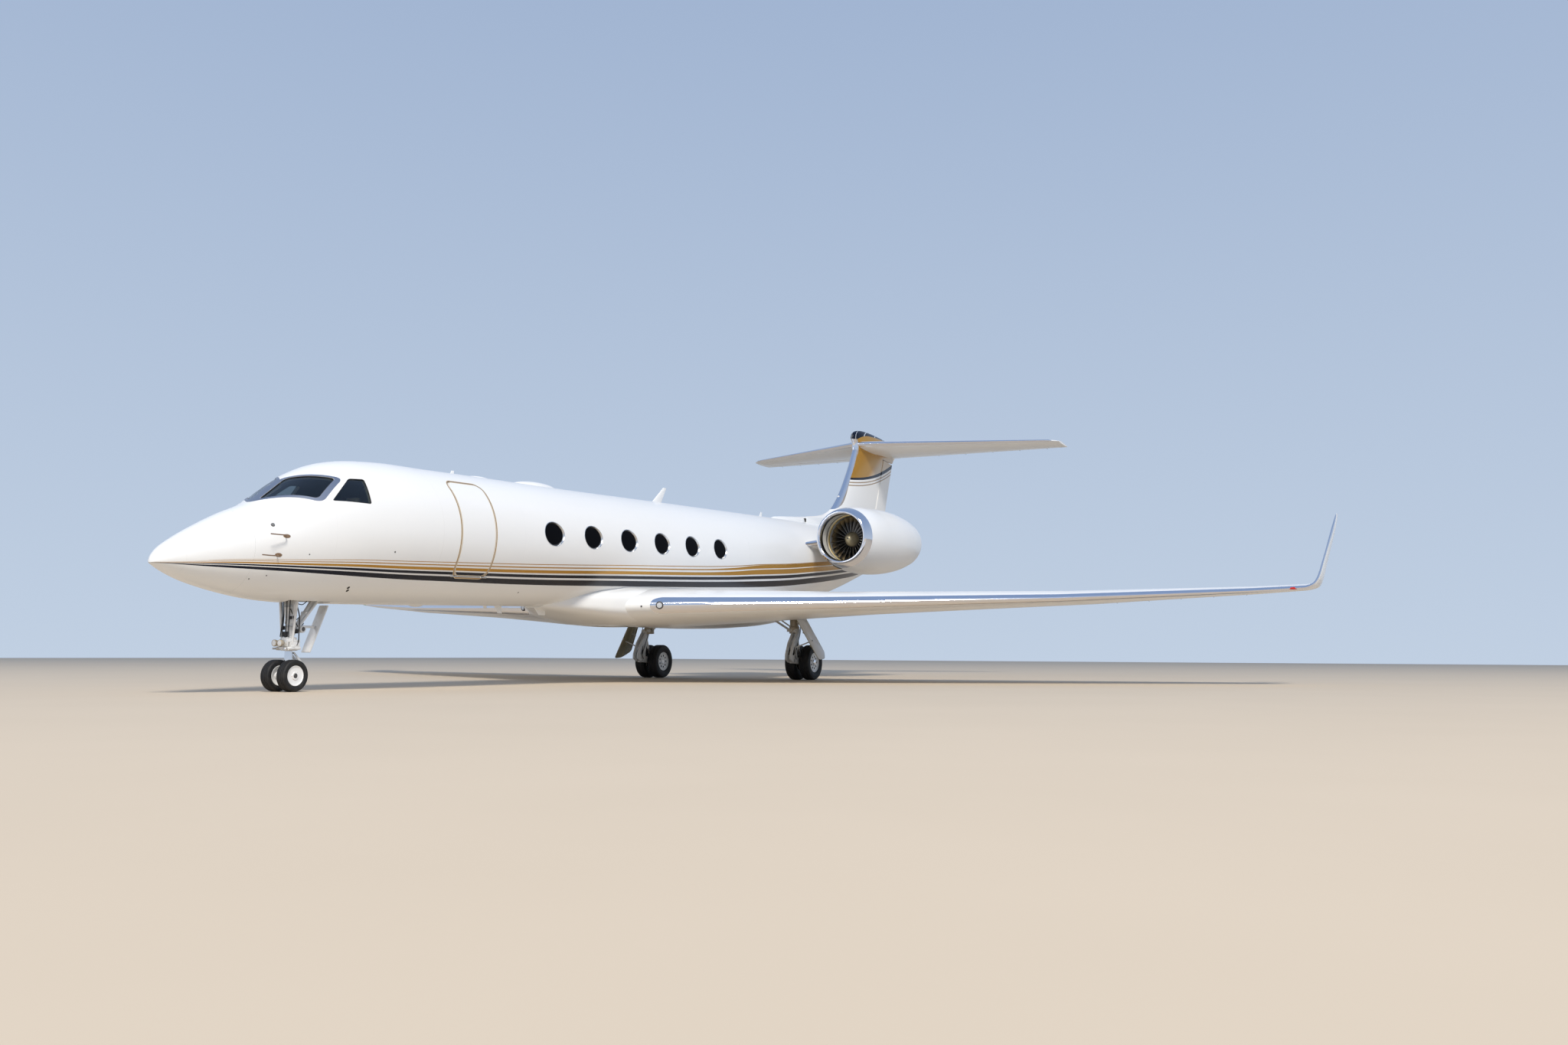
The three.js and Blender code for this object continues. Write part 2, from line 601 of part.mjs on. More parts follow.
// Flap: moves about a hinge below the wing, carried by arms inside the track fairings
const FLAP_IN = FLAP_EDGE[0][0];
const FLAP_OUT = FLAP_EDGE[2][0];
const FLAP_TRACKS = [3300, 5900, 8500];
const FLAP_HINGE_DROP = 300;
const FLAP_HINGE_LINE = [[FLAP_IN, 15950], [FLAP_OUT, 17390]];
const flapHinge = FLAP_HINGE_LINE.map(([x, station]) =>
  [x, station, wingHeight(x, edgeStation(FLAP_EDGE, x) + 100, -1) - FLAP_HINGE_DROP]);
const flapSweep = (FLAP_HINGE_LINE[1][1] - FLAP_HINGE_LINE[0][1]) / (FLAP_OUT - FLAP_IN);
const flapHingeAt = (x) => {
  const t = (x - flapHinge[0][0]) / (flapHinge[1][0] - flapHinge[0][0]);
  return flapHinge[0].map((v, i) => v + t * (flapHinge[1][i] - v));
};
let flap = wingLoft.intersect(
  behind(FLAP_EDGE, FLAP_IN + HINGED_END_GAP, FLAP_OUT - HINGED_END_GAP, RUNNING_GAP, flapSweep),
);
let wing = cut(wingLoft, behind(FLAP_EDGE, FLAP_IN, FLAP_OUT, 0, flapSweep));
const PIN_RADIUS = 16;
const FLAP_ARM_HALF = 20;
const FLAP_SLOT_HALF = 60;
for (const x of FLAP_TRACKS) {
  const [, hs, hz] = flapHingeAt(x);
  const edge = edgeStation(FLAP_EDGE, x);
  const skin = (s) => wingHeight(x, s, -1);
  const arm = sidePlate([
    [hs - 40, hz - 40], [hs + 60, hz - 45], [edge + 560, skin(edge + 560) - 30], [edge + 560, skin(edge + 560) + 20],
    [edge + 60, skin(edge + 60) + 30], [hs - 45, hz + 40],
  ], x - FLAP_ARM_HALF, x + FLAP_ARM_HALF);
  flap = joined(flap, arm, pin(flapHingeAt(x - FLAP_SLOT_HALF), flapHingeAt(x + FLAP_SLOT_HALF), PIN_RADIUS));
  const carrier = sidePlate([
    [edge - 1250, skin(edge - 1250) + 30], [edge - 700, skin(edge - 700) - 130], [hs - 60, hz - 90],
    [hs + 70, hz - 80], [hs + 70, hz + 45], [edge - 30, skin(edge - 30) - 40], [edge - 30, skin(edge - 30) + 40],
  ], x - 80, x + 80);
  const slot = box(
    x - FLAP_SLOT_HALF, x + FLAP_SLOT_HALF, Math.min(edge, hs) - 200, hs + 800, hz - 400, hz + FLAP_HINGE_DROP + 30,
  );
  wing = joined(wing, cut(carrier, slot));
}

// Aileron: a round nose on the hinge line, with an end pin in the wing
function hingedSurface(whole, heightAt, thicknessAt, edge, regionAt) {
  const [a, b] = edge.map(([x, s]) => [x, s, heightAt(x, s), thicknessAt(x, s) / 2]);
  const nose = (grow, from, to) => {
    const at = (t) => a.map((v, i) => v + t * (b[i] - v));
    const [p, q] = [at(from), at(to)];
    return rod(p.slice(0, 3), q.slice(0, 3), p[3] + grow, 10, q[3] + grow);
  };
  const length = Math.hypot(b[0] - a[0], b[1] - a[1], b[2] - a[2]);
  const endGap = (3 * a[3]) / length;
  return joined(
    whole.intersect(regionAt(HINGED_END_GAP, 0)),
    nose(-1.5, -endGap, 1 + endGap).intersect(between(a[0] + HINGED_END_GAP, b[0] - HINGED_END_GAP)),
    pin(a.slice(0, 3), b.slice(0, 3), PIN_RADIUS),
  );
}
const wingThickness = (x, s) => wingHeight(x, s, 1) - wingHeight(x, s, -1);
const aileron = hingedSurface(
  wingLoft, (x, s) => (wingHeight(x, s, 1) + wingHeight(x, s, -1)) / 2, wingThickness, AILERON_EDGE,
  (side, offset) => behind(AILERON_EDGE, AILERON_EDGE[0][0] + side, AILERON_EDGE[1][0] - side, offset),
);
const aileronGap = wingThickness(...AILERON_EDGE[0]) / 2 + RUNNING_GAP;
wing = cut(wing, behind(AILERON_EDGE, AILERON_EDGE[0][0], AILERON_EDGE[1][0], -aileronGap));

// Spoilers: three panels on one hinge tube, lying in a recess of the upper skin
function spoilerPanel(from, to, front, rear, drop, lift) {
  const corner = (x, offset, side) => {
    const station = edgeStation(FLAP_EDGE, x) - offset;
    return vec(x, aft(station), wingHeight(x, station, 1) + side);
  };
  const ring = (x) => [
    corner(x, front, -drop), corner(x, rear, -drop), corner(x, rear, lift), corner(x, front, lift),
  ];
  return loft([ring(from), ring(to)]);
}
const SPOILER_REAR = 40;
const spoilerFront = SPOILER_REAR + SPOILER_CHORD;
const [spoilerIn, spoilerOut] = [SPOILER_SPANS[0][0], SPOILER_SPANS[2][1]];
const recess = spoilerPanel(
  spoilerIn - RUNNING_GAP, spoilerOut + RUNNING_GAP, spoilerFront + 26, SPOILER_REAR - RUNNING_GAP, 44, 120,
);
wing = cut(wing, recess);
const spoilerHinge = [spoilerIn - RUNNING_GAP, spoilerOut + RUNNING_GAP].map((x) => {
  const station = edgeStation(FLAP_EDGE, x) - spoilerFront;
  return [x, station, wingHeight(x, station, 1) - SPOILER_THICKNESS / 2];
});
let spoilers = pin(spoilerHinge[0], spoilerHinge[1], 10);
for (const [from, to] of SPOILER_SPANS) {
  spoilers = joined(spoilers, spoilerPanel(from, to, spoilerFront, SPOILER_REAR, SPOILER_THICKNESS, -1));
}

wing = cut(wing, shifted(bellyFairing, SEAT_GAP, 0, 0), shifted(fairingLoft, SEAT_GAP, 0, 0),
  shifted(bodyForCuts, SEAT_GAP, 0, 0));
addPair('wing', wing, whitePaint);
addPair('flap', flap, whitePaint);
addPair('aileron', aileron, whitePaint);
addPair('spoilers', spoilers, whitePaint);

// Fin with its dorsal fillet: height, leading-edge station, trailing-edge station, thickness
const FIN = [
  [3900, 18500, 26560, 300],
  [4360, 19000, 26720, 330],
  [4560, 20900, 26800, 340],
  [4760, 22300, 26880, 350],
  [5050, 22970, 26985, 360],
  [6260, 24060, 27440, 330],
  [7080, 24560, 27760, 300],
];
const finRing = ([z, lead, trail, thickness]) => aerofoil(thickness / (trail - lead), 0).map(([c, t]) =>
  vec(t * (trail - lead), aft(lead + c * (trail - lead)), z));
const finLoft = loft(FIN.map(finRing));
const RUDDER = { low: 4760, high: 7000, lowStation: 25900, highStation: 26780 };
const rudderEdge = (z) => RUDDER.lowStation
  + ((z - RUDDER.low) / (RUDDER.high - RUDDER.low)) * (RUDDER.highStation - RUDDER.lowStation);
const behindRudderLine = (low, high, offset, drop = 0) => sidePlate([
  [rudderEdge(low) + offset, low], [28500, low], [28500, high - drop], [rudderEdge(high) + offset, high],
], -600, 600);
const RUDDER_NOSE_LOW = 92;
const RUDDER_NOSE_HIGH = 84;
const RUDDER_TOP_DROP = 60;
const rudderAxisAt = (z) => [0, rudderEdge(z), z];
const rudderNose = rod(rudderAxisAt(RUDDER.low - 100), rudderAxisAt(RUDDER.high + 100),
  RUDDER_NOSE_LOW, 10, RUDDER_NOSE_HIGH);
const rudder = joined(
  finLoft.intersect(behindRudderLine(
    RUDDER.low + HINGED_END_GAP, RUDDER.high - HINGED_END_GAP, 0, RUDDER_TOP_DROP,
  )),
  rudderNose.intersect(
    box(-600, 600, 25000, 28500, RUDDER.low + HINGED_END_GAP, RUDDER.high - HINGED_END_GAP),
  ),
  pin(rudderAxisAt(RUDDER.low), rudderAxisAt(RUDDER.high), 22),
);
const fin = cut(
  finLoft,
  behindRudderLine(RUDDER.low, RUDDER.high, -RUDDER_NOSE_LOW - RUNNING_GAP),
  shifted(fuselage(17600, TAIL_END), 0, 0, SEAT_GAP),
);
addPart('fin', fin, whitePaint);
addPart('rudder', rudder, whitePaint);

// Horizontal stabilizer on top of the fin, with its bullet fairing: x, leading edge station,
// leading-edge height, chord, trailing-edge height, thickness
const TAILPLANE = [
  [0, 24560, 7220, 3180, 7180, 0.1],
  [300, 24760, 7232, 3010, 7190, 0.1],
  [5250, 27960, 7470, 1300, 7420, 0.09],
  [5535, 28330, 7480, 1060, 7440, 0.06],
];
const tailRing = ([x, lead, leadHeight, chord, trailHeight, thickness]) => aerofoil(thickness, 0).map(([c, t]) =>
  vec(x, aft(lead + c * chord), leadHeight + (trailHeight - leadHeight) * c + t * chord));
const tailHalf = loft(TAILPLANE.map(tailRing));
const BULLET = [
  [24180, 8], [24300, 60], [24600, 130], [25200, 200], [26300, 235], [27200, 205], [27800, 120], [28150, 30],
];
const BULLET_HEIGHT = 7440;
const bullet = loft(BULLET.map(([station, radius]) => Array.from({ length: 16 }, (_, i) => {
  const a = (2 * Math.PI * i) / 16;
  return vec(radius * 0.8 * Math.sin(a), aft(station), BULLET_HEIGHT + 60 * (station - 26000) / 1000 * 0.5
    + radius * 1.15 * Math.cos(a));
})));
const ELEVATOR_EDGE = [[330, 26960], [5050, 28760]];
const tailHeight = (x, side) => {
  const t = (x - TAILPLANE[1][0]) / (TAILPLANE[2][0] - TAILPLANE[1][0]);
  const [, , leadHeight, chord, trailHeight] = TAILPLANE[1].map((v, i) => v + t * (TAILPLANE[2][i] - v));
  const c = 0.73;
  return leadHeight + (trailHeight - leadHeight) * c + side * chord * 0.031;
};
const elevatorRegion = (side, offset) => {
  const [a, b] = ELEVATOR_EDGE;
  const slope = (b[1] - a[1]) / (b[0] - a[0]);
  return planPlate([
    [a[0] + side, a[1] + slope * side + offset], [b[0] - side, b[1] - slope * side + offset],
    [b[0] - side, 30500], [a[0] + side, 30500],
  ], 6500, 8000);
};
const elevator = hingedSurface(
  tailHalf, (x) => tailHeight(x, 0), (x) => 2 * (tailHeight(x, 1) - tailHeight(x, 0)), ELEVATOR_EDGE, elevatorRegion,
);
const elevatorGap = tailHeight(ELEVATOR_EDGE[0][0], 1) - tailHeight(ELEVATOR_EDGE[0][0], 0) + RUNNING_GAP;
const tailCut = elevatorRegion(0, -elevatorGap);
let stabilizer = cut(joined(tailHalf, mirrored(tailHalf), bullet), tailCut, mirrored(tailCut));
stabilizer = cut(stabilizer, shifted(finLoft, 0, 0.15, SEAT_GAP));
addPart('horizontal_stabilizer', stabilizer, whitePaint);
addPair('elevator', elevator, whitePaint);

// Engines, port side. Nacelle shell: outer and inner walls as [radius, station]
const NACELLE_OUTER = [
  [680, 18835], [740, 18910], [800, 19120], [880, 19600], [912, 20300], [900, 21300], [760, 22990],
];
const NACELLE_INNER = [[690, 22990], [740, 21200], [668, 20050], [656, 19600], [INLET_RADIUS, 19000]];
const ENGINE_SIDES = 20;
const nacelleLoft = turned([[0, 18835], ...NACELLE_OUTER, [0, 22990]], ENGINE_SIDES, ENGINE_OUT, ENGINE_HEIGHT);
const nacelleRing = [...NACELLE_OUTER, ...NACELLE_INNER];
addPair('nacelle', turned([...nacelleRing, nacelleRing[0]], ENGINE_SIDES, ENGINE_OUT, ENGINE_HEIGHT), whitePaint);

const NOZZLE = [
  [758, 22990 + SEAT_GAP], [640, 23900], [560, 24420], [535, 24420], [692, 22990 + SEAT_GAP],
];
addPair('exhaust_nozzle', turned([...NOZZLE, NOZZLE[0]], ENGINE_SIDES, ENGINE_OUT, ENGINE_HEIGHT), darkMetal);

const CORE = [
  [0, 19800], [300, 19800], [430, 20400], [470, 21600], [400, 22600], [60, 23900], [0, 23920],
];
let core = turned(CORE, 16, ENGINE_OUT, ENGINE_HEIGHT);
const VANES = 8;
const ductRadius = 668;
for (let i = 0; i < VANES; i++) {
  const g = new THREE.BoxGeometry(30, 260, ductRadius - 300 - SEAT_GAP - 2);
  g.translate(0, 0, 300 + (ductRadius - 300 - SEAT_GAP - 2) / 2);
  g.rotateY((2 * Math.PI * (i + 0.5)) / VANES);
  g.translate(ENGINE_OUT, aft(20180), ENGINE_HEIGHT);
  core = joined(core, solid(g));
}
const ductAir = turned([[0, 19300], [629, 19300], [655, 19600], [667, 20050], [738, 21200], [0, 21200]],
  ENGINE_SIDES, ENGINE_OUT, ENGINE_HEIGHT);
core = joined(turned(CORE, 16, ENGINE_OUT, ENGINE_HEIGHT), core.intersect(ductAir));
addPair('engine_core', core, darkMetal);

// Fan: spinner, disc and twisted blades, on a short shaft at the core
const SPINNER = [
  [0, FAN_STATION - 330], [120, FAN_STATION - 220], [205, FAN_STATION - 30],
  [215, FAN_STATION + 100], [90, FAN_STATION + 100], [90, 19800 - PIN_GAP], [0, 19800 - PIN_GAP],
];
let fan = turned(SPINNER, 16, ENGINE_OUT, ENGINE_HEIGHT);
const fanTip = 622;
for (let i = 0; i < FAN_BLADES; i++) {
  // Blade sections: radius, chord, thickness, twist in degrees
  const rings = [[150, 130, 18, 36], [fanTip, 200, 9, 56]].map(([r, chord, thick, twist]) => {
    const a = THREE.MathUtils.degToRad(twist);
    return [[-0.5, -0.5], [0.5, -0.5], [0.5, 0.5], [-0.5, 0.5]].map(([u, v]) => vec(
      u * chord * Math.sin(a) + v * thick * Math.cos(a),
      u * chord * Math.cos(a) - v * thick * Math.sin(a),
      r,
    ));
  });
  const turn = (2 * Math.PI * i) / FAN_BLADES;
  const blade = loft(rings.map((ring) => ring.map((p) => p.applyAxisAngle(vec(0, 1, 0), turn)
    .add(vec(ENGINE_OUT, aft(FAN_STATION), ENGINE_HEIGHT)))));
  fan = joined(fan, blade);
}
addPair('fan', fan, darkMetal);

// Engine pylon between the fuselage and the nacelle
const PYLON_STATIONS = { lead: 19900, trail: 22970, thickness: 260, height: 3640 };
const pylonRing = (x) => aerofoil(PYLON_STATIONS.thickness / (PYLON_STATIONS.trail - PYLON_STATIONS.lead), 0)
  .map(([c, t]) => vec(
    x,
    aft(PYLON_STATIONS.lead + c * (PYLON_STATIONS.trail - PYLON_STATIONS.lead)),
    PYLON_STATIONS.height + t * (PYLON_STATIONS.trail - PYLON_STATIONS.lead),
  ));
const pylon = cut(
  loft([pylonRing(250), pylonRing(1700)]),
  shifted(fuselage(17600, TAIL_END), SEAT_GAP, 0, 0),
  shifted(nacelleLoft, -SEAT_GAP, 0, 0),
);
addPair('pylon', pylon, whitePaint);

// A wheel turns about its own X axis. Profiles are [radius, distance along the axle].
// A flat of the faceted tread lies on the ground, as a loaded tyre does.
const WHEEL_SIDES = 20;
const OVER_FLAT = 1 / Math.cos(Math.PI / WHEEL_SIDES);
function wheelGeometry(profile) {
  const points = profile.map(([r, d]) => new THREE.Vector2(r * OVER_FLAT, d));
  const g = new THREE.LatheGeometry(points, WHEEL_SIDES, Math.PI / WHEEL_SIDES);
  g.rotateZ(-Math.PI / 2);
  return g;
}
function tyreProfile(radius, width, rim) {
  const half = width / 2;
  const wall = radius - rim;
  return [
    [radius, half * 0.5], [radius - wall * 0.15, half * 0.88], [radius - wall * 0.5, half],
    [rim, half * 0.76], [rim, -half * 0.76], [radius - wall * 0.5, -half],
    [radius - wall * 0.15, -half * 0.88], [radius, -half * 0.5], [radius, half * 0.5],
  ];
}
function hubProfile(rim, width, bore) {
  const half = width / 2;
  const seat = rim - SEAT_GAP;
  return [
    [seat, -half * 0.76], [seat, half * 0.76], [rim - 26, half * 0.76], [bore + 40, half * 0.3],
    [bore, half * 0.62], [bore, -half * 0.62], [bore + 40, -half * 0.3], [rim - 26, -half * 0.76],
    [seat, -half * 0.76],
  ];
}
function addWheel(name, x, station, radius, width, rim, bore) {
  const parts = [
    [`${name}_tyre`, tyreProfile(radius, width, rim), rubber],
    [`${name}_hub`, hubProfile(rim, width, bore), whitePaint],
  ];
  for (const [partName, profile, material] of parts) {
    const mesh = named(partName, solid(wheelGeometry(profile)), material);
    mesh.position.set(x, aft(station), radius);
    jet.add(mesh);
  }
}

// Nose gear: fixed leg, steered fork with the axle, rear door panel on the leg
const NOSE_AXLE_RADIUS = 38;
for (const [side, name] of [[1, 'left'], [-1, 'right']]) {
  addWheel(`${name}_nose_wheel`, side * NOSE_WHEEL_OUT, NOSE_AXLE, NOSE_TYRE_RADIUS, NOSE_TYRE_WIDTH,
    NOSE_RIM_RADIUS, NOSE_AXLE_RADIUS + 0.5);
}
const STEER_COLLAR = 640;
const noseLeg = joined(
  rod([0, NOSE_STEER_AXIS, STEER_COLLAR], [0, NOSE_STEER_AXIS, BAY.roof - SEAT_GAP], 88, 12),
  rod([0, NOSE_STEER_AXIS, STEER_COLLAR], [0, NOSE_STEER_AXIS, STEER_COLLAR + 170], 120, 12),
  rod([-BAY.half + SEAT_GAP, NOSE_STEER_AXIS, 1520], [BAY.half - SEAT_GAP, NOSE_STEER_AXIS, 1520], 45),
  rod([110, NOSE_STEER_AXIS - 40, 700], [200, NOSE_STEER_AXIS - 40, 1510], 32),
  rod([-110, NOSE_STEER_AXIS - 40, 700], [-200, NOSE_STEER_AXIS - 40, 1510], 32),
  rod([0, NOSE_STEER_AXIS, 860], [0, 3090, 1560], 45),
  rod([-150, 3090, 1560], [150, 3090, 1560], 30),
  box(-60, 60, NOSE_STEER_AXIS - 320, NOSE_STEER_AXIS - 60, 690, 800),
);
const noseLegPart = cut(noseLeg, shifted(cockpitShell, 0, 0, -SEAT_GAP));
addPart('nose_gear_leg', noseLegPart, whitePaint);
const noseFork = joined(
  rod([0, NOSE_STEER_AXIS, 300], [0, NOSE_STEER_AXIS, STEER_COLLAR - SEAT_GAP], 62, 10),
  rod([0, NOSE_STEER_AXIS, 300], [0, NOSE_AXLE, NOSE_TYRE_RADIUS], 62, 10),
  rod([-NOSE_WHEEL_OUT - 60, NOSE_AXLE, NOSE_TYRE_RADIUS], [NOSE_WHEEL_OUT + 60, NOSE_AXLE, NOSE_TYRE_RADIUS],
    NOSE_AXLE_RADIUS, 12),
);
addPart('nose_steering_fork', noseFork, polishedMetal);
const noseDoor = sidePlate([
  [2790, 620], [2815, 612], [3115, 1370], [3090, 1380],
], -190, 190);
const noseDoorArm = sidePlate([[2675, 1000], [2965, 1000], [2985, 1050], [2700, 1050]], -30, 30);
addPart('nose_gear_door', cut(joined(noseDoor, noseDoorArm), shifted(noseLegPart, 0, SEAT_GAP, 0)), whitePaint);

// Main gear, port side: leg, trailing arm with the axle, and the door on the leg
const MAIN_AXLE_RADIUS = 55;
for (const [side, name] of [[1, 'left'], [-1, 'right']]) {
  for (const [place, out] of [['outer', MAIN_WHEEL_OUT], ['inner', -MAIN_WHEEL_OUT]]) {
    addWheel(`${name}_${place}_main_wheel`, side * (MAIN_TRACK_HALF + out), MAIN_AXLE, MAIN_TYRE_RADIUS,
      MAIN_TYRE_WIDTH, MAIN_RIM_RADIUS, MAIN_AXLE_RADIUS + 0.5);
  }
}
const LEG_TOP = [2110, 16200, 1620];
const ARM_HALF = 36;
const LEG_HALF = 82;
const legBeam = (x0, x1) => sidePlate([
  [16150, 1260], [16290, 1200], [16120, 900], [16060, 640], [16080, 520], [15950, 420],
  [15840, 420], [15690, 500], [15700, 620], [15840, 900],
], x0, x1);
const mainLeg = joined(
  rod([2110, 16220, 1130], LEG_TOP, 115, 12),
  rod([2110, 16220, 1130], [2110, 16220, 1310], 130, 12),
  legBeam(MAIN_TRACK_HALF - LEG_HALF, MAIN_TRACK_HALF - ARM_HALF),
  legBeam(MAIN_TRACK_HALF + ARM_HALF, MAIN_TRACK_HALF + LEG_HALF),
  rod([MAIN_TRACK_HALF - LEG_HALF, 16150, 1190], [MAIN_TRACK_HALF + LEG_HALF, 16150, 1190], 60),
  rod([2110, 16200, 1180], [1500, 16000, 1560], 38),
);
const armAxle = joined(
  sidePlate([
    [15860, 400], [15860, 500], [16150, 560], [16520, 500], [16640, 480], [16640, 370], [16100, 400],
  ], MAIN_TRACK_HALF - ARM_HALF + SEAT_GAP, MAIN_TRACK_HALF + ARM_HALF - SEAT_GAP),
  rod([MAIN_TRACK_HALF - MAIN_WHEEL_OUT - 95, MAIN_AXLE, MAIN_TYRE_RADIUS],
    [MAIN_TRACK_HALF + MAIN_WHEEL_OUT + 95, MAIN_AXLE, MAIN_TYRE_RADIUS], MAIN_AXLE_RADIUS, 12),
);
const underWing = (body) => cut(body, shifted(wing, 0, 0, -SEAT_GAP), shifted(bellyFairing, 0, 0, -SEAT_GAP));
addPair('main_gear_leg', cut(underWing(mainLeg), armAxle), whitePaint);
addPair('main_gear_arm', armAxle, whitePaint);
const doorCorners = [[2350, 15760, 1560], [2410, 16190, 1560], [2820, 16440, 690], [2960, 16180, 520], [2950, 15870, 500]];
const legDoor = loft([0, 26].map((inward) => doorCorners.map(([x, s, z]) => vec(x - inward, aft(s), z - inward * 0.5))));
const doorStay = rod([MAIN_TRACK_HALF, 15955, 780], [2740, 15980, 960], 16)
  .intersect(between(MAIN_TRACK_HALF + LEG_HALF + SEAT_GAP, 2800));
addPair('main_gear_door', underWing(joined(legDoor, doorStay)), whitePaint);

export default jet;
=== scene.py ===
import math

import bmesh
import bpy
import numpy as np
from mathutils import Matrix, Vector
from mathutils.bvhtree import BVHTree
from mathutils.interpolate import poly_3d_calc


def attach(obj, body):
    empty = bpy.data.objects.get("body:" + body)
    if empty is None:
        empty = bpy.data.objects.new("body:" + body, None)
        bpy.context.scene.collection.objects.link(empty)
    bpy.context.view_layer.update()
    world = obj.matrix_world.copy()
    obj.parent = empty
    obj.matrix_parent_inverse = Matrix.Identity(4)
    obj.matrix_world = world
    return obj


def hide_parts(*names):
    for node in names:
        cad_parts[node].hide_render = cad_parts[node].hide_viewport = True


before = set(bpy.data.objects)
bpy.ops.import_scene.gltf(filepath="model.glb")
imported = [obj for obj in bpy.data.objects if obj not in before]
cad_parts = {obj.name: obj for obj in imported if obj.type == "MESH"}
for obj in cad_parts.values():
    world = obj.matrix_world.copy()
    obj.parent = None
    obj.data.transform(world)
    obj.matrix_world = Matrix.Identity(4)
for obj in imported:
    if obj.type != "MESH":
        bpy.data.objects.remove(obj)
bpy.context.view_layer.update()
scene = bpy.context.scene

# The jet's own sizes, in metres. Stations are measured aft from the nose tip.
HALF_LENGTH = 14.695
AXIS_HEIGHT_AT_NOSE = 2.520
AXIS_RISE = 0.0285
WALL = 0.08
RADOME_END = 1.25
COCKPIT_END = 4.7
CABIN_END = 15.6
TAIL_END = 27.0
FLOOR_BELOW_AXIS = 0.6


def aft(station):
    return station - HALF_LENGTH


def axis_height(station):
    return AXIS_HEIGHT_AT_NOSE + AXIS_RISE * station


# Camera: its place, aim and lens, read from the jet's own known sizes
CAMERA_PLACE = (16.2897, -26.8595, 0.6255)
CAMERA_YAW = math.radians(27.033)
CAMERA_PITCH = math.radians(5.8267)
CAMERA_ROLL = math.radians(0.2819)
CAMERA_LENS = 29.617
SENSOR_WIDTH = 36.0


def add_camera():
    data = bpy.data.cameras.new("camera")
    data.sensor_fit = "HORIZONTAL"
    data.sensor_width = SENSOR_WIDTH
    data.lens = CAMERA_LENS
    data.clip_end = 2000
    camera = bpy.data.objects.new("camera", data)
    scene.collection.objects.link(camera)
    level = Matrix.Rotation(CAMERA_YAW, 4, "Z") @ Matrix.Rotation(math.pi / 2 + CAMERA_PITCH, 4, "X")
    camera.matrix_world = Matrix.Translation(CAMERA_PLACE) @ level @ Matrix.Rotation(CAMERA_ROLL, 4, "Z")
    scene.camera = camera


# Node material helpers
class Field:
    """A value that varies over a surface, made of Math nodes so that it can be written as arithmetic"""

    def __init__(self, tree, socket):
        self.tree = tree
        self.socket = socket

    def math(self, operation, *others):
        node = self.tree.nodes.new("ShaderNodeMath")
        node.operation = operation
        for slot, value in zip(node.inputs, (self, *others)):
            plug(self.tree, slot, value)
        return Field(self.tree, node.outputs[0])

    def __add__(self, other):
        return self.math("ADD", other)

    def __sub__(self, other):
        return self.math("SUBTRACT", other)

    def __mul__(self, other):
        return self.math("MULTIPLY", other)

    def __truediv__(self, other):
        return self.math("DIVIDE", other)

    def __gt__(self, other):
        return self.math("GREATER_THAN", other)

    def __lt__(self, other):
        return self.math("LESS_THAN", other)

    def size(self):
        return self.math("ABSOLUTE")

    def largest(self, other):
        return self.math("MAXIMUM", other)

    def smallest(self, other):
        return self.math("MINIMUM", other)

    def between(self, low, high):
        return (self > low) * (self < high)

    def ramp(self, low, high):
        """0 below low, 1 above high and a smooth slope between"""
        node = self.tree.nodes.new("ShaderNodeMapRange")
        node.interpolation_type = "SMOOTHSTEP"
        plug(self.tree, node.inputs["Value"], self)
        plug(self.tree, node.inputs["From Min"], low)
        plug(self.tree, node.inputs["From Max"], high)
        return Field(self.tree, node.outputs["Result"])

    def curve(self, points, low, high):
        """A smooth curve through points. low and high give this value's range and the results' range."""
        (x0, y0), (x1, y1) = low, high
        node = self.tree.nodes.new("ShaderNodeFloatCurve")
        line = node.mapping.curves[0]
        scaled = [((x - x0) / (x1 - x0), (y - y0) / (y1 - y0)) for x, y in points]
        while len(line.points) < len(scaled):
            line.points.new(0.5, 0.5)
        for knot, place in zip(line.points, scaled):
            knot.location = place
            knot.handle_type = "AUTO_CLAMPED"
        node.mapping.update()
        plug(self.tree, node.inputs["Value"], (self - x0) / (x1 - x0))
        return Field(self.tree, node.outputs["Value"]) * (y1 - y0) + y0


def plug(tree, slot, value):
    if isinstance(value, Field):
        tree.links.new(value.socket, slot)
    else:
        slot.default_value = value


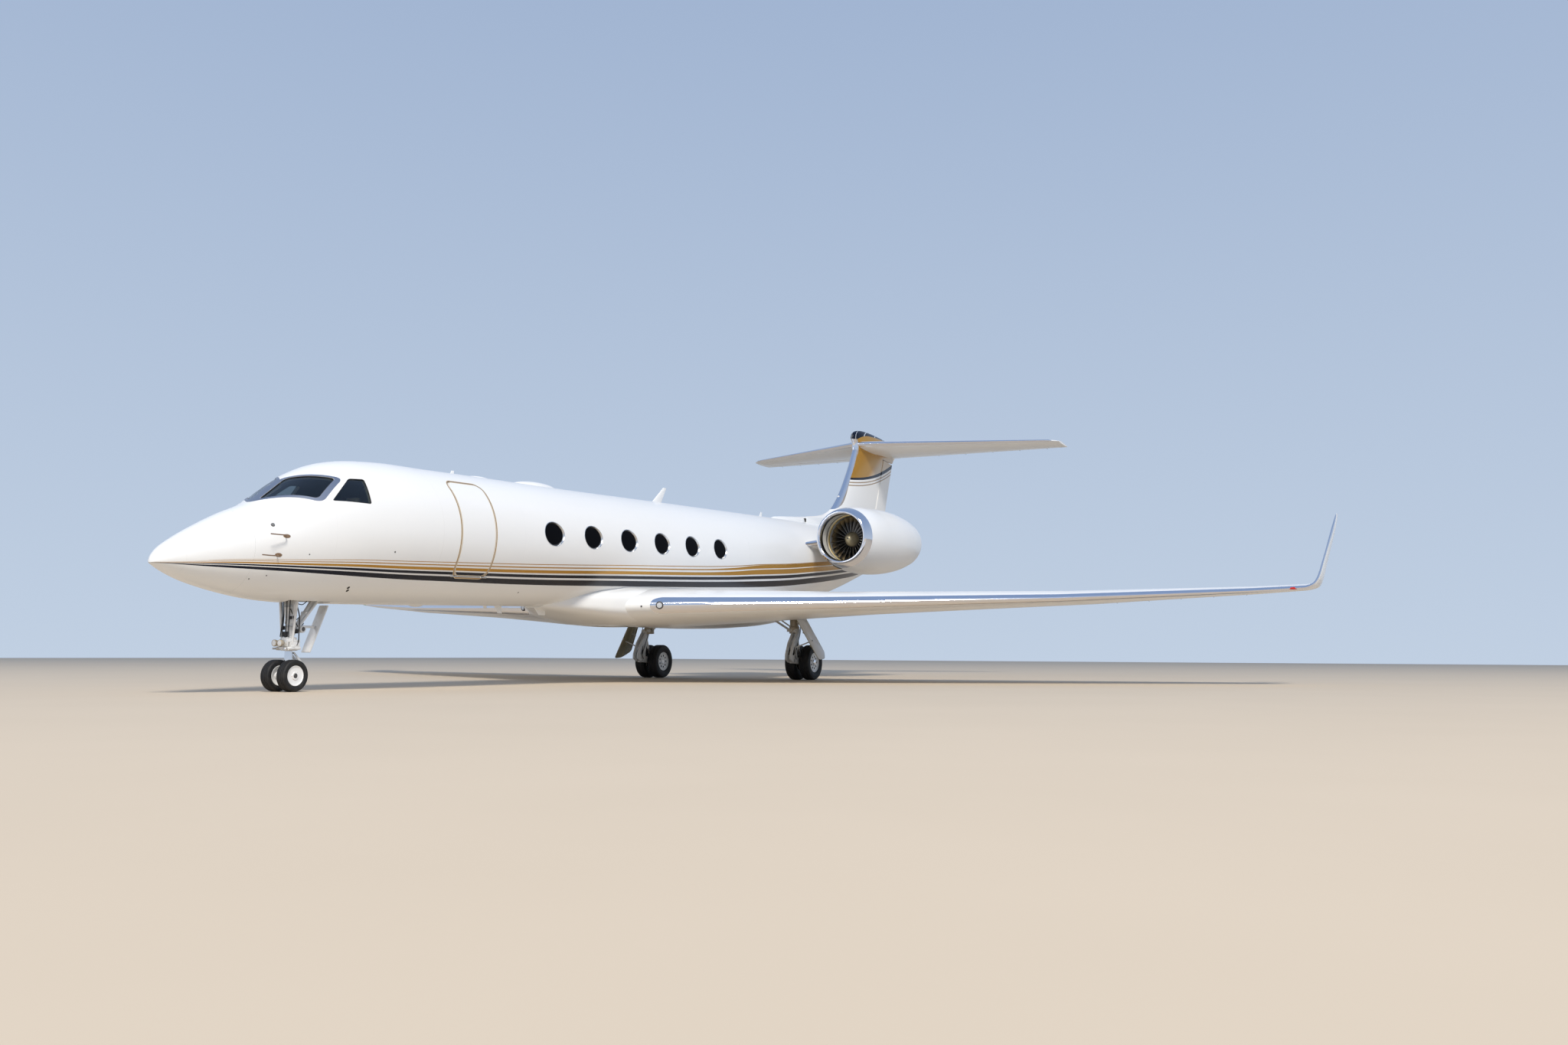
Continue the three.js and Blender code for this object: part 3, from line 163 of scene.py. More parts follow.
class Finish:
    """A material under construction: its shader's sockets, its coordinates and the patterns laid on them."""

    def __init__(self, name, **values):
        self.material = bpy.data.materials.new(name)
        self.material.use_nodes = True
        self.tree = self.material.node_tree
        self.shader = self.tree.nodes["Principled BSDF"]
        self.place = self.tree.nodes.new("ShaderNodeTexCoord").outputs["Object"]
        split = self.tree.nodes.new("ShaderNodeSeparateXYZ")
        self.tree.links.new(self.place, split.inputs[0])
        self.x, self.y, self.z = (Field(self.tree, output) for output in split.outputs)
        self.station = self.y + HALF_LENGTH
        for socket, value in values.items():
            plug(self.tree, self.shader.inputs[socket.replace("_", " ")], value)

    def set(self, socket, value):
        plug(self.tree, self.shader.inputs[socket], value)

    def noise(self, scale, detail=2.0, stretch=(1, 1, 1)):
        mapping = self.tree.nodes.new("ShaderNodeMapping")
        mapping.inputs["Scale"].default_value = stretch
        self.tree.links.new(self.place, mapping.inputs["Vector"])
        node = self.tree.nodes.new("ShaderNodeTexNoise")
        node.inputs["Scale"].default_value = scale
        node.inputs["Detail"].default_value = detail
        self.tree.links.new(mapping.outputs[0], node.inputs["Vector"])
        return Field(self.tree, node.outputs["Fac"])

    def cells(self, scale):
        node = self.tree.nodes.new("ShaderNodeTexVoronoi")
        node.inputs["Scale"].default_value = scale
        self.tree.links.new(self.place, node.inputs["Vector"])
        return Field(self.tree, node.outputs["Distance"])

    def mix(self, amount, first, second):
        """Colours or fields: first where amount is 0, second where it is 1"""
        node = self.tree.nodes.new("ShaderNodeMix")
        node.data_type = "RGBA"
        plug(self.tree, node.inputs["Factor"], amount)
        for slot, colour in ((node.inputs["A"], first), (node.inputs["B"], second)):
            for candidate in (s for s in node.inputs if s.name == slot.name and s.type == "RGBA"):
                plug(self.tree, candidate, colour if isinstance(colour, Field) else (*colour, 1))
        return Field(self.tree, next(o for o in node.outputs if o.type == "RGBA"))

    def bump(self, height, distance, strength=1.0):
        node = self.tree.nodes.new("ShaderNodeBump")
        node.inputs["Distance"].default_value = distance
        node.inputs["Strength"].default_value = strength
        plug(self.tree, node.inputs["Height"], height)
        self.tree.links.new(node.outputs["Normal"], self.shader.inputs["Normal"])


# Colours, linear
WHITE = (0.82, 0.82, 0.81)
GOLD = (0.50, 0.265, 0.045)
NAVY = (0.003, 0.006, 0.017)
BROWN_GOLD = (0.40, 0.26, 0.13)
CREAM = (0.62, 0.54, 0.42)
SEAM_GREY = (0.25, 0.25, 0.25)
DUST = (0.60, 0.57, 0.52)
CLEAR_COAT = {"Coat_Roughness": 0.035, "Coat_IOR": 1.5}
JOINT_PITCH = 2.18
JOINT_WIDTH = 0.0022
JOINT_STRENGTH = 0.07


def darker(colour, share, lift=0.0):
    return tuple(share * c + lift for c in colour)


def painted_skin(name):
    """Clear-coated aircraft paint, with a faint orange peel and long, shallow waves in the sheet"""
    finish = Finish(name, Roughness=0.24, IOR=1.45, Specular_IOR_Level=0.22, Coat_Weight=0.10, **CLEAR_COAT)
    peel = finish.noise(scale=160, detail=1.5)
    waves = finish.noise(scale=2.2, detail=1.0)
    finish.bump(peel * 0.25 + waves, distance=0.0018, strength=0.35)
    return finish


def panel_lines(finish, pitch, offset=0.0):
    """Faint joint lines that run round the skin at a regular pitch"""
    place = (finish.station - offset) / pitch
    nearest = (place - place.math("ROUND")).size() * pitch
    return (nearest < JOINT_WIDTH) * JOINT_STRENGTH


def dusty_white(finish, amount=0.10):
    """White with broad, faint clouds of dust that run aft"""
    cloud = finish.noise(scale=0.9, detail=4.0, stretch=(1, 0.25, 1)).ramp(0.35, 0.8)
    return finish.mix(cloud * amount, WHITE, DUST)


# Livery: bands between a base line, the lower edge of the navy, and the upper pinstripe, a rise above it
STRIPE_BASE = (
    (0, 1.872), (0.5, 1.852), (0.93, 1.845), (2.1, 1.836), (3.5, 1.829), (5.3, 1.857), (7.4, 1.908),
    (9.9, 2.005), (14.45, 2.199), (17.1, 2.341), (19.5, 2.556), (21.8, 2.806), (23.2, 2.975), (25.0, 3.30),
    (27.0, 3.80),
)
STRIPE_RISE = (
    (0, 0.004), (0.5, 0.065), (0.93, 0.12), (2.1, 0.193), (3.5, 0.276), (5.3, 0.329), (7.4, 0.379),
    (9.9, 0.424), (14.45, 0.491), (17.1, 0.568), (19.5, 0.559), (21.8, 0.51), (23.2, 0.42), (25.0, 0.22),
    (27.0, 0.02),
)
BANDS_SPLIT = 15.0


def stripe_masks(finish):
    base = finish.station.curve(STRIPE_BASE, (0, 1.8), (27.0, 3.8))
    rise = finish.station.curve(STRIPE_RISE, (0, 0), (27.0, 0.57))
    level = (finish.z - base) / rise
    tail = finish.station.ramp(BANDS_SPLIT - 1.6, BANDS_SPLIT + 1.6)
    navy = level.between(0, 0.265) + level.between(0.355, 0.50)
    gold = level.between(tail * -0.015 + 0.575, tail * 0.055 + 0.725)
    gold = gold + level.between(0.82, tail * 0.10 + 0.88) + level.between(0.982, 1.02)
    return navy, gold.smallest(1.0)


# Entry door outline, as it lies in the skin
DOOR_FRONT = 5.147
DOOR_REAR = 6.061
DOOR_MIDDLE = (DOOR_FRONT + DOOR_REAR) / 2
DOOR_SILL = 1.960
DOOR_TOP = 3.696
DOOR_CORNER = 0.17
DOOR_CUT_SLOPE = 0.2
DOOR_CUT_OUT = 1.0


def door_outline_mask(finish):
    """The gold line painted round the entry door"""
    height = finish.z - (finish.station - DOOR_MIDDLE) * AXIS_RISE
    lean = (finish.x - DOOR_CUT_OUT) * DOOR_CUT_SLOPE
    across = (finish.station - DOOR_MIDDLE).size() - ((DOOR_REAR - DOOR_FRONT) / 2 - DOOR_CORNER)
    up = (height - lean - (DOOR_SILL + DOOR_TOP) / 2).size() - ((DOOR_TOP - DOOR_SILL) / 2 - DOOR_CORNER)
    outside = (across.largest(0).math("POWER", 2) + up.largest(0).math("POWER", 2)).math("SQRT")
    distance = outside + across.largest(up).smallest(0) - DOOR_CORNER
    on_port_side = finish.x > 0
    return distance.between(-0.015, 0.019) * on_port_side, distance.between(-0.026, 0.026) * on_port_side


def livery_paint():
    finish = painted_skin("livery paint")
    navy, gold = stripe_masks(finish)
    door_line, door_edge = door_outline_mask(finish)
    colour = finish.mix(panel_lines(finish, JOINT_PITCH, 0.35), dusty_white(finish), SEAM_GREY)
    for mask, paint in ((navy, NAVY), (gold, GOLD), (door_edge, (0.70, 0.56, 0.36)), (door_line, BROWN_GOLD)):
        colour = finish.mix(mask, colour, paint)
    finish.set("Base Color", colour)
    finish.set("Metallic", (gold * 0.55).largest(door_line * 0.4))
    return finish.material


def plain_paint(name, pitch):
    finish = painted_skin(name)
    finish.set("Base Color", finish.mix(panel_lines(finish, pitch), dusty_white(finish), SEAM_GREY))
    return finish.material


def bare_edge(finish, colour, metal):
    """Polished bare metal where metal is 1 and paint elsewhere"""
    smudge = finish.noise(scale=3.0, detail=4.0)
    buffed = finish.mix(smudge * 0.3, (0.84, 0.85, 0.90), (0.64, 0.64, 0.68))
    finish.set("Base Color", finish.mix(metal, colour, buffed))
    finish.set("Roughness", metal * -0.14 + 0.24)


def edged_paint(name, edge, dust=0.10):
    """White paint with a bare metal leading edge"""
    finish = painted_skin(name)
    metal = edge(finish)
    bare_edge(finish, dusty_white(finish, dust), metal)
    finish.set("Metallic", metal)
    return finish.material


WINGLET_LEAD = (
    (2.0, 17.70), (2.19, 17.83), (2.33, 17.96), (2.7, 18.23), (3.3, 18.73), (3.79, 19.18), (4.0, 19.45),
)
WING_METAL_START = 1.60
WING_METAL_CORNER = 0.16


def wing_edge(finish):
    """The metal runs from a rounded end near the wing root out along the wing and up the winglet"""
    out = finish.x.size()
    upright = out > 13.76
    lead = (out * 0.5975 + 9.544).largest(finish.z.curve(WINGLET_LEAD, (2.0, 17.0), (4.0, 19.5)) * upright)
    width = (out * -0.0075 + 0.185) * (upright * -0.45 + 1)
    inwards = ((out * -1 + (WING_METAL_START + WING_METAL_CORNER)) / WING_METAL_CORNER).largest(0)
    across = (finish.station - lead) / width
    return (inwards * inwards + across * across) < 1


def tail_edge(finish):
    out = finish.x.size()
    return (finish.station - (out * 0.6465 + 24.566)) < (out * -0.009 + 0.115)


def pylon_edge(finish):
    return finish.station < finish.x.size() * PYLON_SWEEP + (PYLON_LEAD + 0.17)


# Fin livery: a navy band that sweeps up aft, two pinstripes under it and gold above it; towards the rear the
# gold fades to beige, a painted reflection
FIN_BAND_START = 23.87
FIN_BAND_HEIGHT = 6.0
FIN_CAP_LINE = ((24.0, 7.10), (24.5, 7.33), (25.1, 7.53), (25.77, 7.59), (27.16, 7.63), (28.4, 7.66))


def fin_paint():
    finish = painted_skin("fin paint")
    run = finish.station - FIN_BAND_START
    low = run * run * 0.0421 + run * 0.0593 + FIN_BAND_HEIGHT
    width = run * 0.017 + 0.06
    level = finish.z - low
    navy = (level > 0) * (level < width)
    pinstripes = level.between(-0.102, -0.068) + level.between(-0.195, -0.161)
    above = level > width
    # Painted reflection: behind this slanting line the gold fades to beige, standing in for bright sky and
    # ground reflected in it
    rear = (finish.station - (finish.z - 6.29) * 1.49 - 25.54).ramp(-0.35, 0.35)
    cap_line = finish.station.curve(FIN_CAP_LINE, (24.0, 7.0), (28.4, 8.0))
    cap = finish.z > cap_line
    fan = finish.x * 9.0 / ((finish.station - 24.0).size() + 0.5) + finish.station * 1.6
    streak = ((fan - fan.math("ROUND")).size() < 0.035) * cap
    # The beige mixed into the gold here is the painted reflection
    colour = finish.mix(above, dusty_white(finish), finish.mix(rear * 0.85, GOLD, (0.62, 0.55, 0.45)))
    colour = finish.mix(navy.largest(cap), colour, NAVY)
    colour = finish.mix(pinstripes, colour, (0.33, 0.24, 0.15))
    colour = finish.mix(streak, colour, (0.55, 0.58, 0.62))
    lead = finish.z.curve(FIN_LEAD, (4.9, 22.8), (7.8, 25.2))
    broad = finish.z.ramp(5.2, 6.1) * -0.12 + 0.29
    up = ((finish.z * -1 + 5.22) / 0.25).largest(0)
    across = (finish.station - lead) / broad
    metal = ((up * up + across * across) < 1) * (finish.z < 7.36)
    bare_edge(finish, colour, metal)
    # The gold is less metallic where the painted reflection lies
    finish.set("Metallic", metal.largest(above * (cap * -1 + 1) * (rear * -0.5 + 0.5)))
    return finish.material


def polished_metal(name, roughness, colour=(0.80, 0.81, 0.86)):
    """Buffed bare metal: bright, with a faint grain along the edge"""
    finish = Finish(name, Metallic=1.0)
    grain = finish.noise(scale=60, detail=3.0, stretch=(1, 8, 8))
    smudge = finish.noise(scale=3.0, detail=4.0)
    finish.set("Base Color", finish.mix(smudge * 0.25, colour, (0.60, 0.60, 0.63)))
    finish.set("Roughness", smudge * 0.10 + (roughness - 0.05))
    finish.bump(grain, distance=0.0004, strength=0.3)
    return finish.material


def worn(name, colour, patch_colour, patches, cover, rough, grain, relief, stretch=(1, 1, 1), **values):
    """A colour under cloudy patches of another, over a fine grain in relief

    patches is a noise's scale and detail, and the edges of its ramp if it has one. rough is the
    patches' share in the roughness and the rest of it. grain is a noise's scale and detail, or the scale of
    leathery cells.
    """
    finish = Finish(name, **values)
    scale, detail, *edges = patches
    cloud = finish.noise(scale, detail, stretch)
    if edges:
        cloud = cloud.ramp(*edges)
    finish.set("Base Color", finish.mix(cloud * cover, colour, patch_colour))
    varying, even = rough
    finish.set("Roughness", cloud * varying + even if varying else even)
    if grain == patches:
        fine = cloud
    elif len(grain) > 1:
        fine = finish.noise(*grain, stretch)
    else:
        fine = finish.cells(*grain)
    finish.bump(fine, *relief)
    return finish.material


def brushed_metal(name, colour, roughness, stretch=(1, 1, 14)):
    return worn(name, colour, darker(colour, 0.62), (90, 4), 0.35, (0.16, roughness - 0.08), (90, 4),
                (0.0005, 0.35), stretch, Metallic=1.0)


def gear_enamel(name, colour, grime=0.40):
    """Enamel on forgings: cast texture under the paint, grey grime in broad patches"""
    return worn(name, colour, (0.36, 0.34, 0.30), (7, 6, 0.45, 0.8), grime, (0.25, 0.30), (220, 2),
                (0.001, 0.4), IOR=1.5, Coat_Weight=0.2, **CLEAR_COAT)


def moulded_plastic(name, colour):
    return worn(name, colour, darker(colour, 0.7, 0.01), (12, 3), 0.4, (0.12, 0.52), (700,), (0.0005, 0.4),
                IOR=1.45)


def pane_glass(name, tint, transmission, mirror):
    """Tinted glass with faint wiper haze. mirror is how strongly it reflects."""
    finish = Finish(name, IOR=1.5, Specular_IOR_Level=mirror, Transmission_Weight=transmission)
    haze = finish.noise(scale=5.0, detail=4.0, stretch=(1, 3, 1))
    finish.set("Base Color", finish.mix(haze * 0.3, tint, darker(tint, 0.8)))
    finish.set("Roughness", haze * 0.03)
    return finish.material


def blade_metal():
    """Titanium fan blades: dark at the root, bronze towards the tip, brushed along the blade"""
    finish = Finish("fan blade metal", Metallic=1.0)
    across = (finish.x.size() - ENGINE_OUT).math("POWER", 2)
    out = (across + (finish.z - ENGINE_HEIGHT).math("POWER", 2)).math("SQRT")
    grain = finish.noise(scale=70, detail=4.0, stretch=(1, 6, 1))
    root = finish.mix(grain, (0.16, 0.155, 0.15), (0.09, 0.085, 0.08))
    finish.set("Base Color", finish.mix(out.ramp(0.42, 0.62) * 0.9, root, (0.42, 0.33, 0.19)))
    finish.set("Roughness", grain * 0.15 + 0.28)
    finish.bump(grain, distance=0.0006, strength=0.4)
    return finish.material


def heated_steel():
    """Exhaust steel: straw and blue heat tints in bands, soot towards the lip"""
    finish = Finish("exhaust steel", Metallic=1.0)
    streak = finish.noise(scale=5, detail=5.0, stretch=(3, 0.4, 3))
    band = (finish.station + streak * 0.25).ramp(23.0, 24.3)
    colour = finish.mix(band, (0.40, 0.37, 0.34), (0.23, 0.19, 0.15))
    colour = finish.mix((finish.station + streak * 0.2).ramp(24.1, 24.45), colour, (0.09, 0.085, 0.09))
    finish.set("Base Color", colour)
    finish.set("Roughness", streak * 0.2 + 0.3)
    finish.bump(finish.noise(scale=180, detail=2.0), distance=0.0005, strength=0.3)
    return finish.material


def lamp_glass(name, colour, strength):
    finish = Finish(name, IOR=1.5, Roughness=0.08, Transmission_Weight=0.5)
    ribs = finish.noise(scale=40, detail=1.0)
    finish.set("Base Color", finish.mix(ribs * 0.3, colour, darker(colour, 0.7)))
    finish.set("Emission Color", (*colour, 1))
    finish.set("Emission Strength", strength)
    finish.bump(ribs, distance=0.002, strength=0.3)
    return finish.material


def screen_glass():
    """Cockpit displays: dark glass with a soft blue and brown attitude field, and no lettering"""
    finish = Finish("display glass", Roughness=0.12, IOR=1.5, Coat_Weight=0.6)
    sky = finish.z.ramp(2.60, 2.61)
    glow = finish.mix(sky, (0.05, 0.028, 0.010), (0.010, 0.035, 0.075))
    smear = finish.noise(scale=30, detail=2.0) * 0.5
    finish.set("Base Color", finish.mix(smear, glow, (0.004, 0.005, 0.007)))
    return finish.material


def floor_finish():
    finish = Finish("studio floor", Roughness=0.85)
    cloud = finish.noise(scale=0.35, detail=5.0)
    finish.set("Base Color", finish.mix(cloud * 0.5, (0.60, 0.50, 0.38), (0.52, 0.43, 0.32)))
    return finish.material


ENGINE_OUT = 2.155
ENGINE_HEIGHT = 3.725
PYLON_LEAD = 18.36
PYLON_SWEEP = 0.53
LIVERY = livery_paint()
PAINT = plain_paint("white paint", JOINT_PITCH)
NACELLE_PAINT = plain_paint("nacelle paint", pitch=2.02)
WING_PAINT = edged_paint("wing paint", wing_edge, dust=0.16)
PYLON_PAINT = edged_paint("pylon paint", pylon_edge)
TAIL_PAINT = edged_paint("tailplane paint", tail_edge)
LIP_METAL = polished_metal("inlet lip metal", 0.10)
CHROME = polished_metal("strut chrome", 0.08, (0.85, 0.85, 0.86))
FRAME_METAL = brushed_metal("window frame metal", (0.50, 0.51, 0.56), 0.34, stretch=(1, 10, 1))
REVEAL_METAL = brushed_metal("window reveal metal", (0.72, 0.72, 0.72), 0.28)
BOLT_STEEL = brushed_metal("fastener steel", (0.60, 0.59, 0.57), 0.3)
GOLD_RING = brushed_metal("fan case ring", (0.78, 0.58, 0.24), 0.3)
# Dark steel for brakes, engine core, vanes and pins; also painted shade on the walls of the hub holes
DARK_STEEL_AND_SHADE = brushed_metal("dark steel", (0.16, 0.155, 0.15), 0.45)
BLADES = blade_metal()
SPINNER_METAL = worn("spinner metal", (0.58, 0.50, 0.33), (0.42, 0.36, 0.24), (9, 5), 1.0, (0.12, 0.32),
                     (150, 2), (0.0005, 0.3), Metallic=0.75)
EXHAUST = heated_steel()
ENAMEL = gear_enamel("gear enamel", (0.76, 0.76, 0.75))
HUB_ENAMEL = gear_enamel("hub enamel", (0.84, 0.84, 0.83), grime=0.12)
DUCT_PANEL = gear_enamel("duct panel", (0.66, 0.64, 0.59))
PROBE_BRONZE = gear_enamel("probe bronze", (0.20, 0.12, 0.065), grime=0.2)
MARK_PAINT = gear_enamel("index mark paint", (0.42, 0.08, 0.05))
DOOR_INSIDE = gear_enamel("primer olive", (0.36, 0.32, 0.20))
BROWN_FITTING = gear_enamel("bronze enamel", (0.42, 0.36, 0.27))
RUBBER = worn("tyre rubber", (0.009, 0.009, 0.010), (0.070, 0.064, 0.056), (14, 6, 0.4, 0.85), 0.35,
              (0.15, 0.62), (300, 3), (0.0012, 0.5), IOR=1.45)
# Black rubber for seals and tips; also painted shade in the fin root inlet mouths and the nacelle scoop
BLACK_RUBBER_AND_SHADE = worn("seal rubber", (0.012, 0.012, 0.013), (0.035, 0.034, 0.033), (260, 2), 1.0, (0.2, 0.5), (260, 2),
            (0.0006, 0.4), IOR=1.45)
LEATHER = worn("cream leather", (0.52, 0.43, 0.30), (0.43, 0.34, 0.22), (9, 4, 0.4, 0.8), 0.5, (0.12, 0.42),
               (420,), (0.0008, 0.5), IOR=1.45, Sheen_Weight=0.15)
CARPET = worn("cabin carpet", (0.30, 0.25, 0.18), (0.20, 0.165, 0.12), (60, 3), 1.0, (0, 0.95), (520,),
              (0.003, 0.8), IOR=1.4, Sheen_Weight=0.4)
LINING = worn("cabin lining", CREAM, (0.52, 0.45, 0.34), (3, 3), 0.4, (0, 0.75), (400, 2), (0.001, 0.4),
              IOR=1.45)
COCKPIT_LINING = moulded_plastic("cockpit lining", (0.030, 0.029, 0.028))
PLASTIC = moulded_plastic("cockpit plastic", (0.035, 0.034, 0.032))
GREY_PLASTIC = moulded_plastic("grey plastic", (0.16, 0.16, 0.16))
HOSE = moulded_plastic("hose cover", (0.02, 0.02, 0.022))
GLASS = pane_glass("windshield glass", (0.44, 0.50, 0.52), 1.0, 0.06)
# Cabin panes are opaque and near-black: painted shade standing in for the dim cabin behind the glass
CABIN_PANE_PAINTED_SHADE = pane_glass("cabin window glass", (0.003, 0.003, 0.004), 0.0, 0.02)
DISPLAY = screen_glass()
LAMP = lamp_glass("clear lamp glass", (0.85, 0.87, 0.90), 0.15)
RED_LAMP = lamp_glass("red lamp glass", (0.75, 0.03, 0.02), 0.1)
GREEN_LAMP = lamp_glass("green lamp glass", (0.02, 0.55, 0.12), 0.1)


# Shapes
class Shape:
    """Points and faces in metres, with a material for each face. Shapes add up."""

    def __init__(self, points, faces, finish):
        self.points = np.asarray(points, float).reshape(-1, 3)
        self.faces = [tuple(int(i) for i in face) for face in faces]
        self.finishes = finish if isinstance(finish, list) else [finish] * len(self.faces)

    def __add__(self, other):
        start = len(self.points)
        faces = self.faces + [tuple(i + start for i in face) for face in other.faces]
        return Shape(np.vstack([self.points, other.points]), faces, self.finishes + other.finishes)

    def moved(self, x=0.0, y=0.0, z=0.0):
        return Shape(self.points + (x, y, z), self.faces, self.finishes)

    def mirrored(self):
        return Shape(self.points * (-1, 1, 1), [face[::-1] for face in self.faces], self.finishes)

    def turned(self, angle, axis, centre):
        matrix = np.array(Matrix.Rotation(angle, 3, Vector(axis)))
        return Shape((self.points - centre) @ matrix.T + centre, self.faces, self.finishes)


def total(shapes):
    shapes = list(shapes)
    result = shapes[0]
    for shape in shapes[1:]:
        result = result + shape
    return result


def loft(rings, finish, closed=False):
    """A solid through rings of points, with flat ends, or closed from the last ring back to the first"""
    rings = np.asarray(rings, float)
    rows, columns = rings.shape[:2]
    faces = []
    finishes = []
    for row in range(rows if closed else rows - 1):
        below = (row + 1) % rows
        for column in range(columns):
            beside = (column + 1) % columns
            faces.append((row * columns + column, row * columns + beside,
                          below * columns + beside, below * columns + column))
            finishes.append(finish(row) if callable(finish) else finish)
    if not closed:
        faces += [tuple(range(columns))[::-1], tuple((rows - 1) * columns + i for i in range(columns))]
        finishes += [finish, finish]
    return Shape(rings, faces, finishes)


def turns(count):
    """Angles at equal steps round a circle"""
    return np.linspace(0, 2 * np.pi, count, endpoint=False)


def direction_frame(along):
    along = np.asarray(along, float) / np.linalg.norm(along)
    helper = (0, 0, 1) if abs(along[2]) < 0.9 else (1, 0, 0)
    side = np.cross(helper, along)
    side /= np.linalg.norm(side)
    return side, np.cross(along, side), along


def place_of(point):
    """A point given as (x, station, z), in the row frame"""
    return np.array([point[0], aft(point[1]), point[2]], float)


def ring_round(middle, side, up, radius, sides):
    return [middle + radius * (np.cos(t) * side + np.sin(t) * up) for t in turns(sides)]


def along_rod(start, end, profile, finish, sides=28):
    """Turned about the line between two (x, station, z) points, from (radius, distance from start) points"""
    a, b = place_of(start), place_of(end)
    side, up, along = direction_frame(b - a)
    return loft([ring_round(a + along * d, side, up, r, sides) for r, d in profile], finish)


def rod(start, end, radius, finish, sides=20, chamfer=0.12):
    """A round rod between two (x, station, z) points, its edges chamfered by a share of its radius"""
    length = np.linalg.norm(place_of(end) - place_of(start))
    bevel = min(chamfer * radius, length / 4)
    profile = ((radius - bevel, 0), (radius, bevel), (radius, length - bevel), (radius - bevel, length))
    return along_rod(start, end, profile, finish, sides)


def pointed_pin(start, end, radius, clear=0.0006):
    """A steel hinge pin whose pointed ends stop just clear of its ends"""
    length = np.linalg.norm(place_of(end) - place_of(start))
    point, tip = 0.024, radius * 0.03
    profile = ((tip, clear), (radius, point), (radius, length - point), (tip, length - clear))
    return along_rod(start, end, profile, BOLT_STEEL, 16)


def smooth_path(points, steps=8):
    """A Catmull-Rom path through points"""
    points = np.asarray(points, float)
    padded = np.vstack([2 * points[0] - points[1], points, 2 * points[-1] - points[-2]])
    path = []
    for i in range(1, len(padded) - 2):
        p0, p1, p2, p3 = padded[i - 1:i + 3]
        for t in np.linspace(0, 1, steps, endpoint=False):
            path.append(0.5 * (2 * p1 + (p2 - p0) * t + (2 * p0 - 5 * p1 + 4 * p2 - p3) * t * t
                               + (3 * p1 - p0 - 3 * p2 + p3) * t ** 3))
    path.append(points[-1])
    return np.array(path)


def pipe(points, radius, finish):
    """A hose or tube through (x, station, z) points"""
    path = smooth_path([place_of(p) for p in points])
    rings = []
    side, _, _ = direction_frame(path[1] - path[0])
    for i, middle in enumerate(path):
        along = path[min(i + 1, len(path) - 1)] - path[max(i - 1, 0)]
        along /= np.linalg.norm(along)
        side = side - along * (side @ along)
        side /= np.linalg.norm(side)
        rings.append(ring_round(middle, side, np.cross(along, side), radius, 10))
    return loft(rings, finish)


def bevelled(shape, width):
    """The same solid with every sharp edge rounded off"""
    mesh = bpy.data.meshes.new("bevel")
    mesh.from_pydata(shape.points.tolist(), [], shape.faces)
    bm = bmesh.new()
    bm.from_mesh(mesh)
    bmesh.ops.recalc_face_normals(bm, faces=bm.faces)
    sharp = [e for e in bm.edges if len(e.link_faces) == 2 and e.calc_face_angle(0) > 0.5]
    bmesh.ops.bevel(bm, geom=sharp, offset=width, segments=2, profile=0.5, affect="EDGES", clamp_overlap=True)
    bm.to_mesh(mesh)
    bm.free()
    points = [v.co[:] for v in mesh.vertices]
    faces = [tuple(p.vertices) for p in mesh.polygons]
    bpy.data.meshes.remove(mesh)
    return Shape(points, faces, shape.finishes[0])


def sharp_plate(outline, x0, x1, finish):
    """A plate with an outline of (station, z) points, between two distances from the centreline"""
    return loft([[(x, aft(s), z) for s, z in outline] for x in (x0, x1)], finish)


def sharp_block(x0, x1, station0, station1, z0, z1, finish):
    outline = [(station0, z0), (station1, z0), (station1, z1), (station0, z1)]
    return sharp_plate(outline, x0, x1, finish)


def plate(outline, x0, x1, finish, bevel=0.004):
    return bevelled(sharp_plate(outline, x0, x1, finish), bevel)


def block(x0, x1, station0, station1, z0, z1, finish, bevel=0.006):
    return bevelled(sharp_block(x0, x1, station0, station1, z0, z1, finish), bevel)


def bar(x, half, station0, station1, z0, z1, finish, bevel=0.006):
    """A block with its middle at x"""
    return block(x - half, x + half, station0, station1, z0, z1, finish, bevel)


def panel(corners, thickness, finish, bevel):
    """A flat panel through (x, station, z) corners, half its thickness to each side"""
    points = np.array([place_of(c) for c in corners])
    normal = np.zeros(3)
    for a, b in zip(points, np.roll(points, -1, axis=0)):
        normal += np.cross(a, b)
    normal /= np.linalg.norm(normal)
    return bevelled(loft([points - normal * thickness / 2, points + normal * thickness / 2], finish), bevel)


def turned_profile(profile, centre, axis, finish, sides=48, closed=False):
    """A shape turned about X or Y through a centre, from (radius, distance along the axis) points"""
    rings = []
    for r, d in profile:
        ring = [(r * np.cos(t), r * np.sin(t)) for t in turns(sides)]
        rings.append([(d, a, b) if axis == "X" else (a, d, b) for a, b in ring])
    shape = loft(rings, finish, closed)
    return Shape(shape.points + centre, shape.faces, shape.finishes)


def standing(profile, x, station, finish):
    """Turned about an upright axis, from (radius, height) points"""
    rings = [[(x + r * math.cos(t), aft(station) + r * math.sin(t), z) for t in turns(40)]
             for r, z in profile]
    return loft(rings, finish)


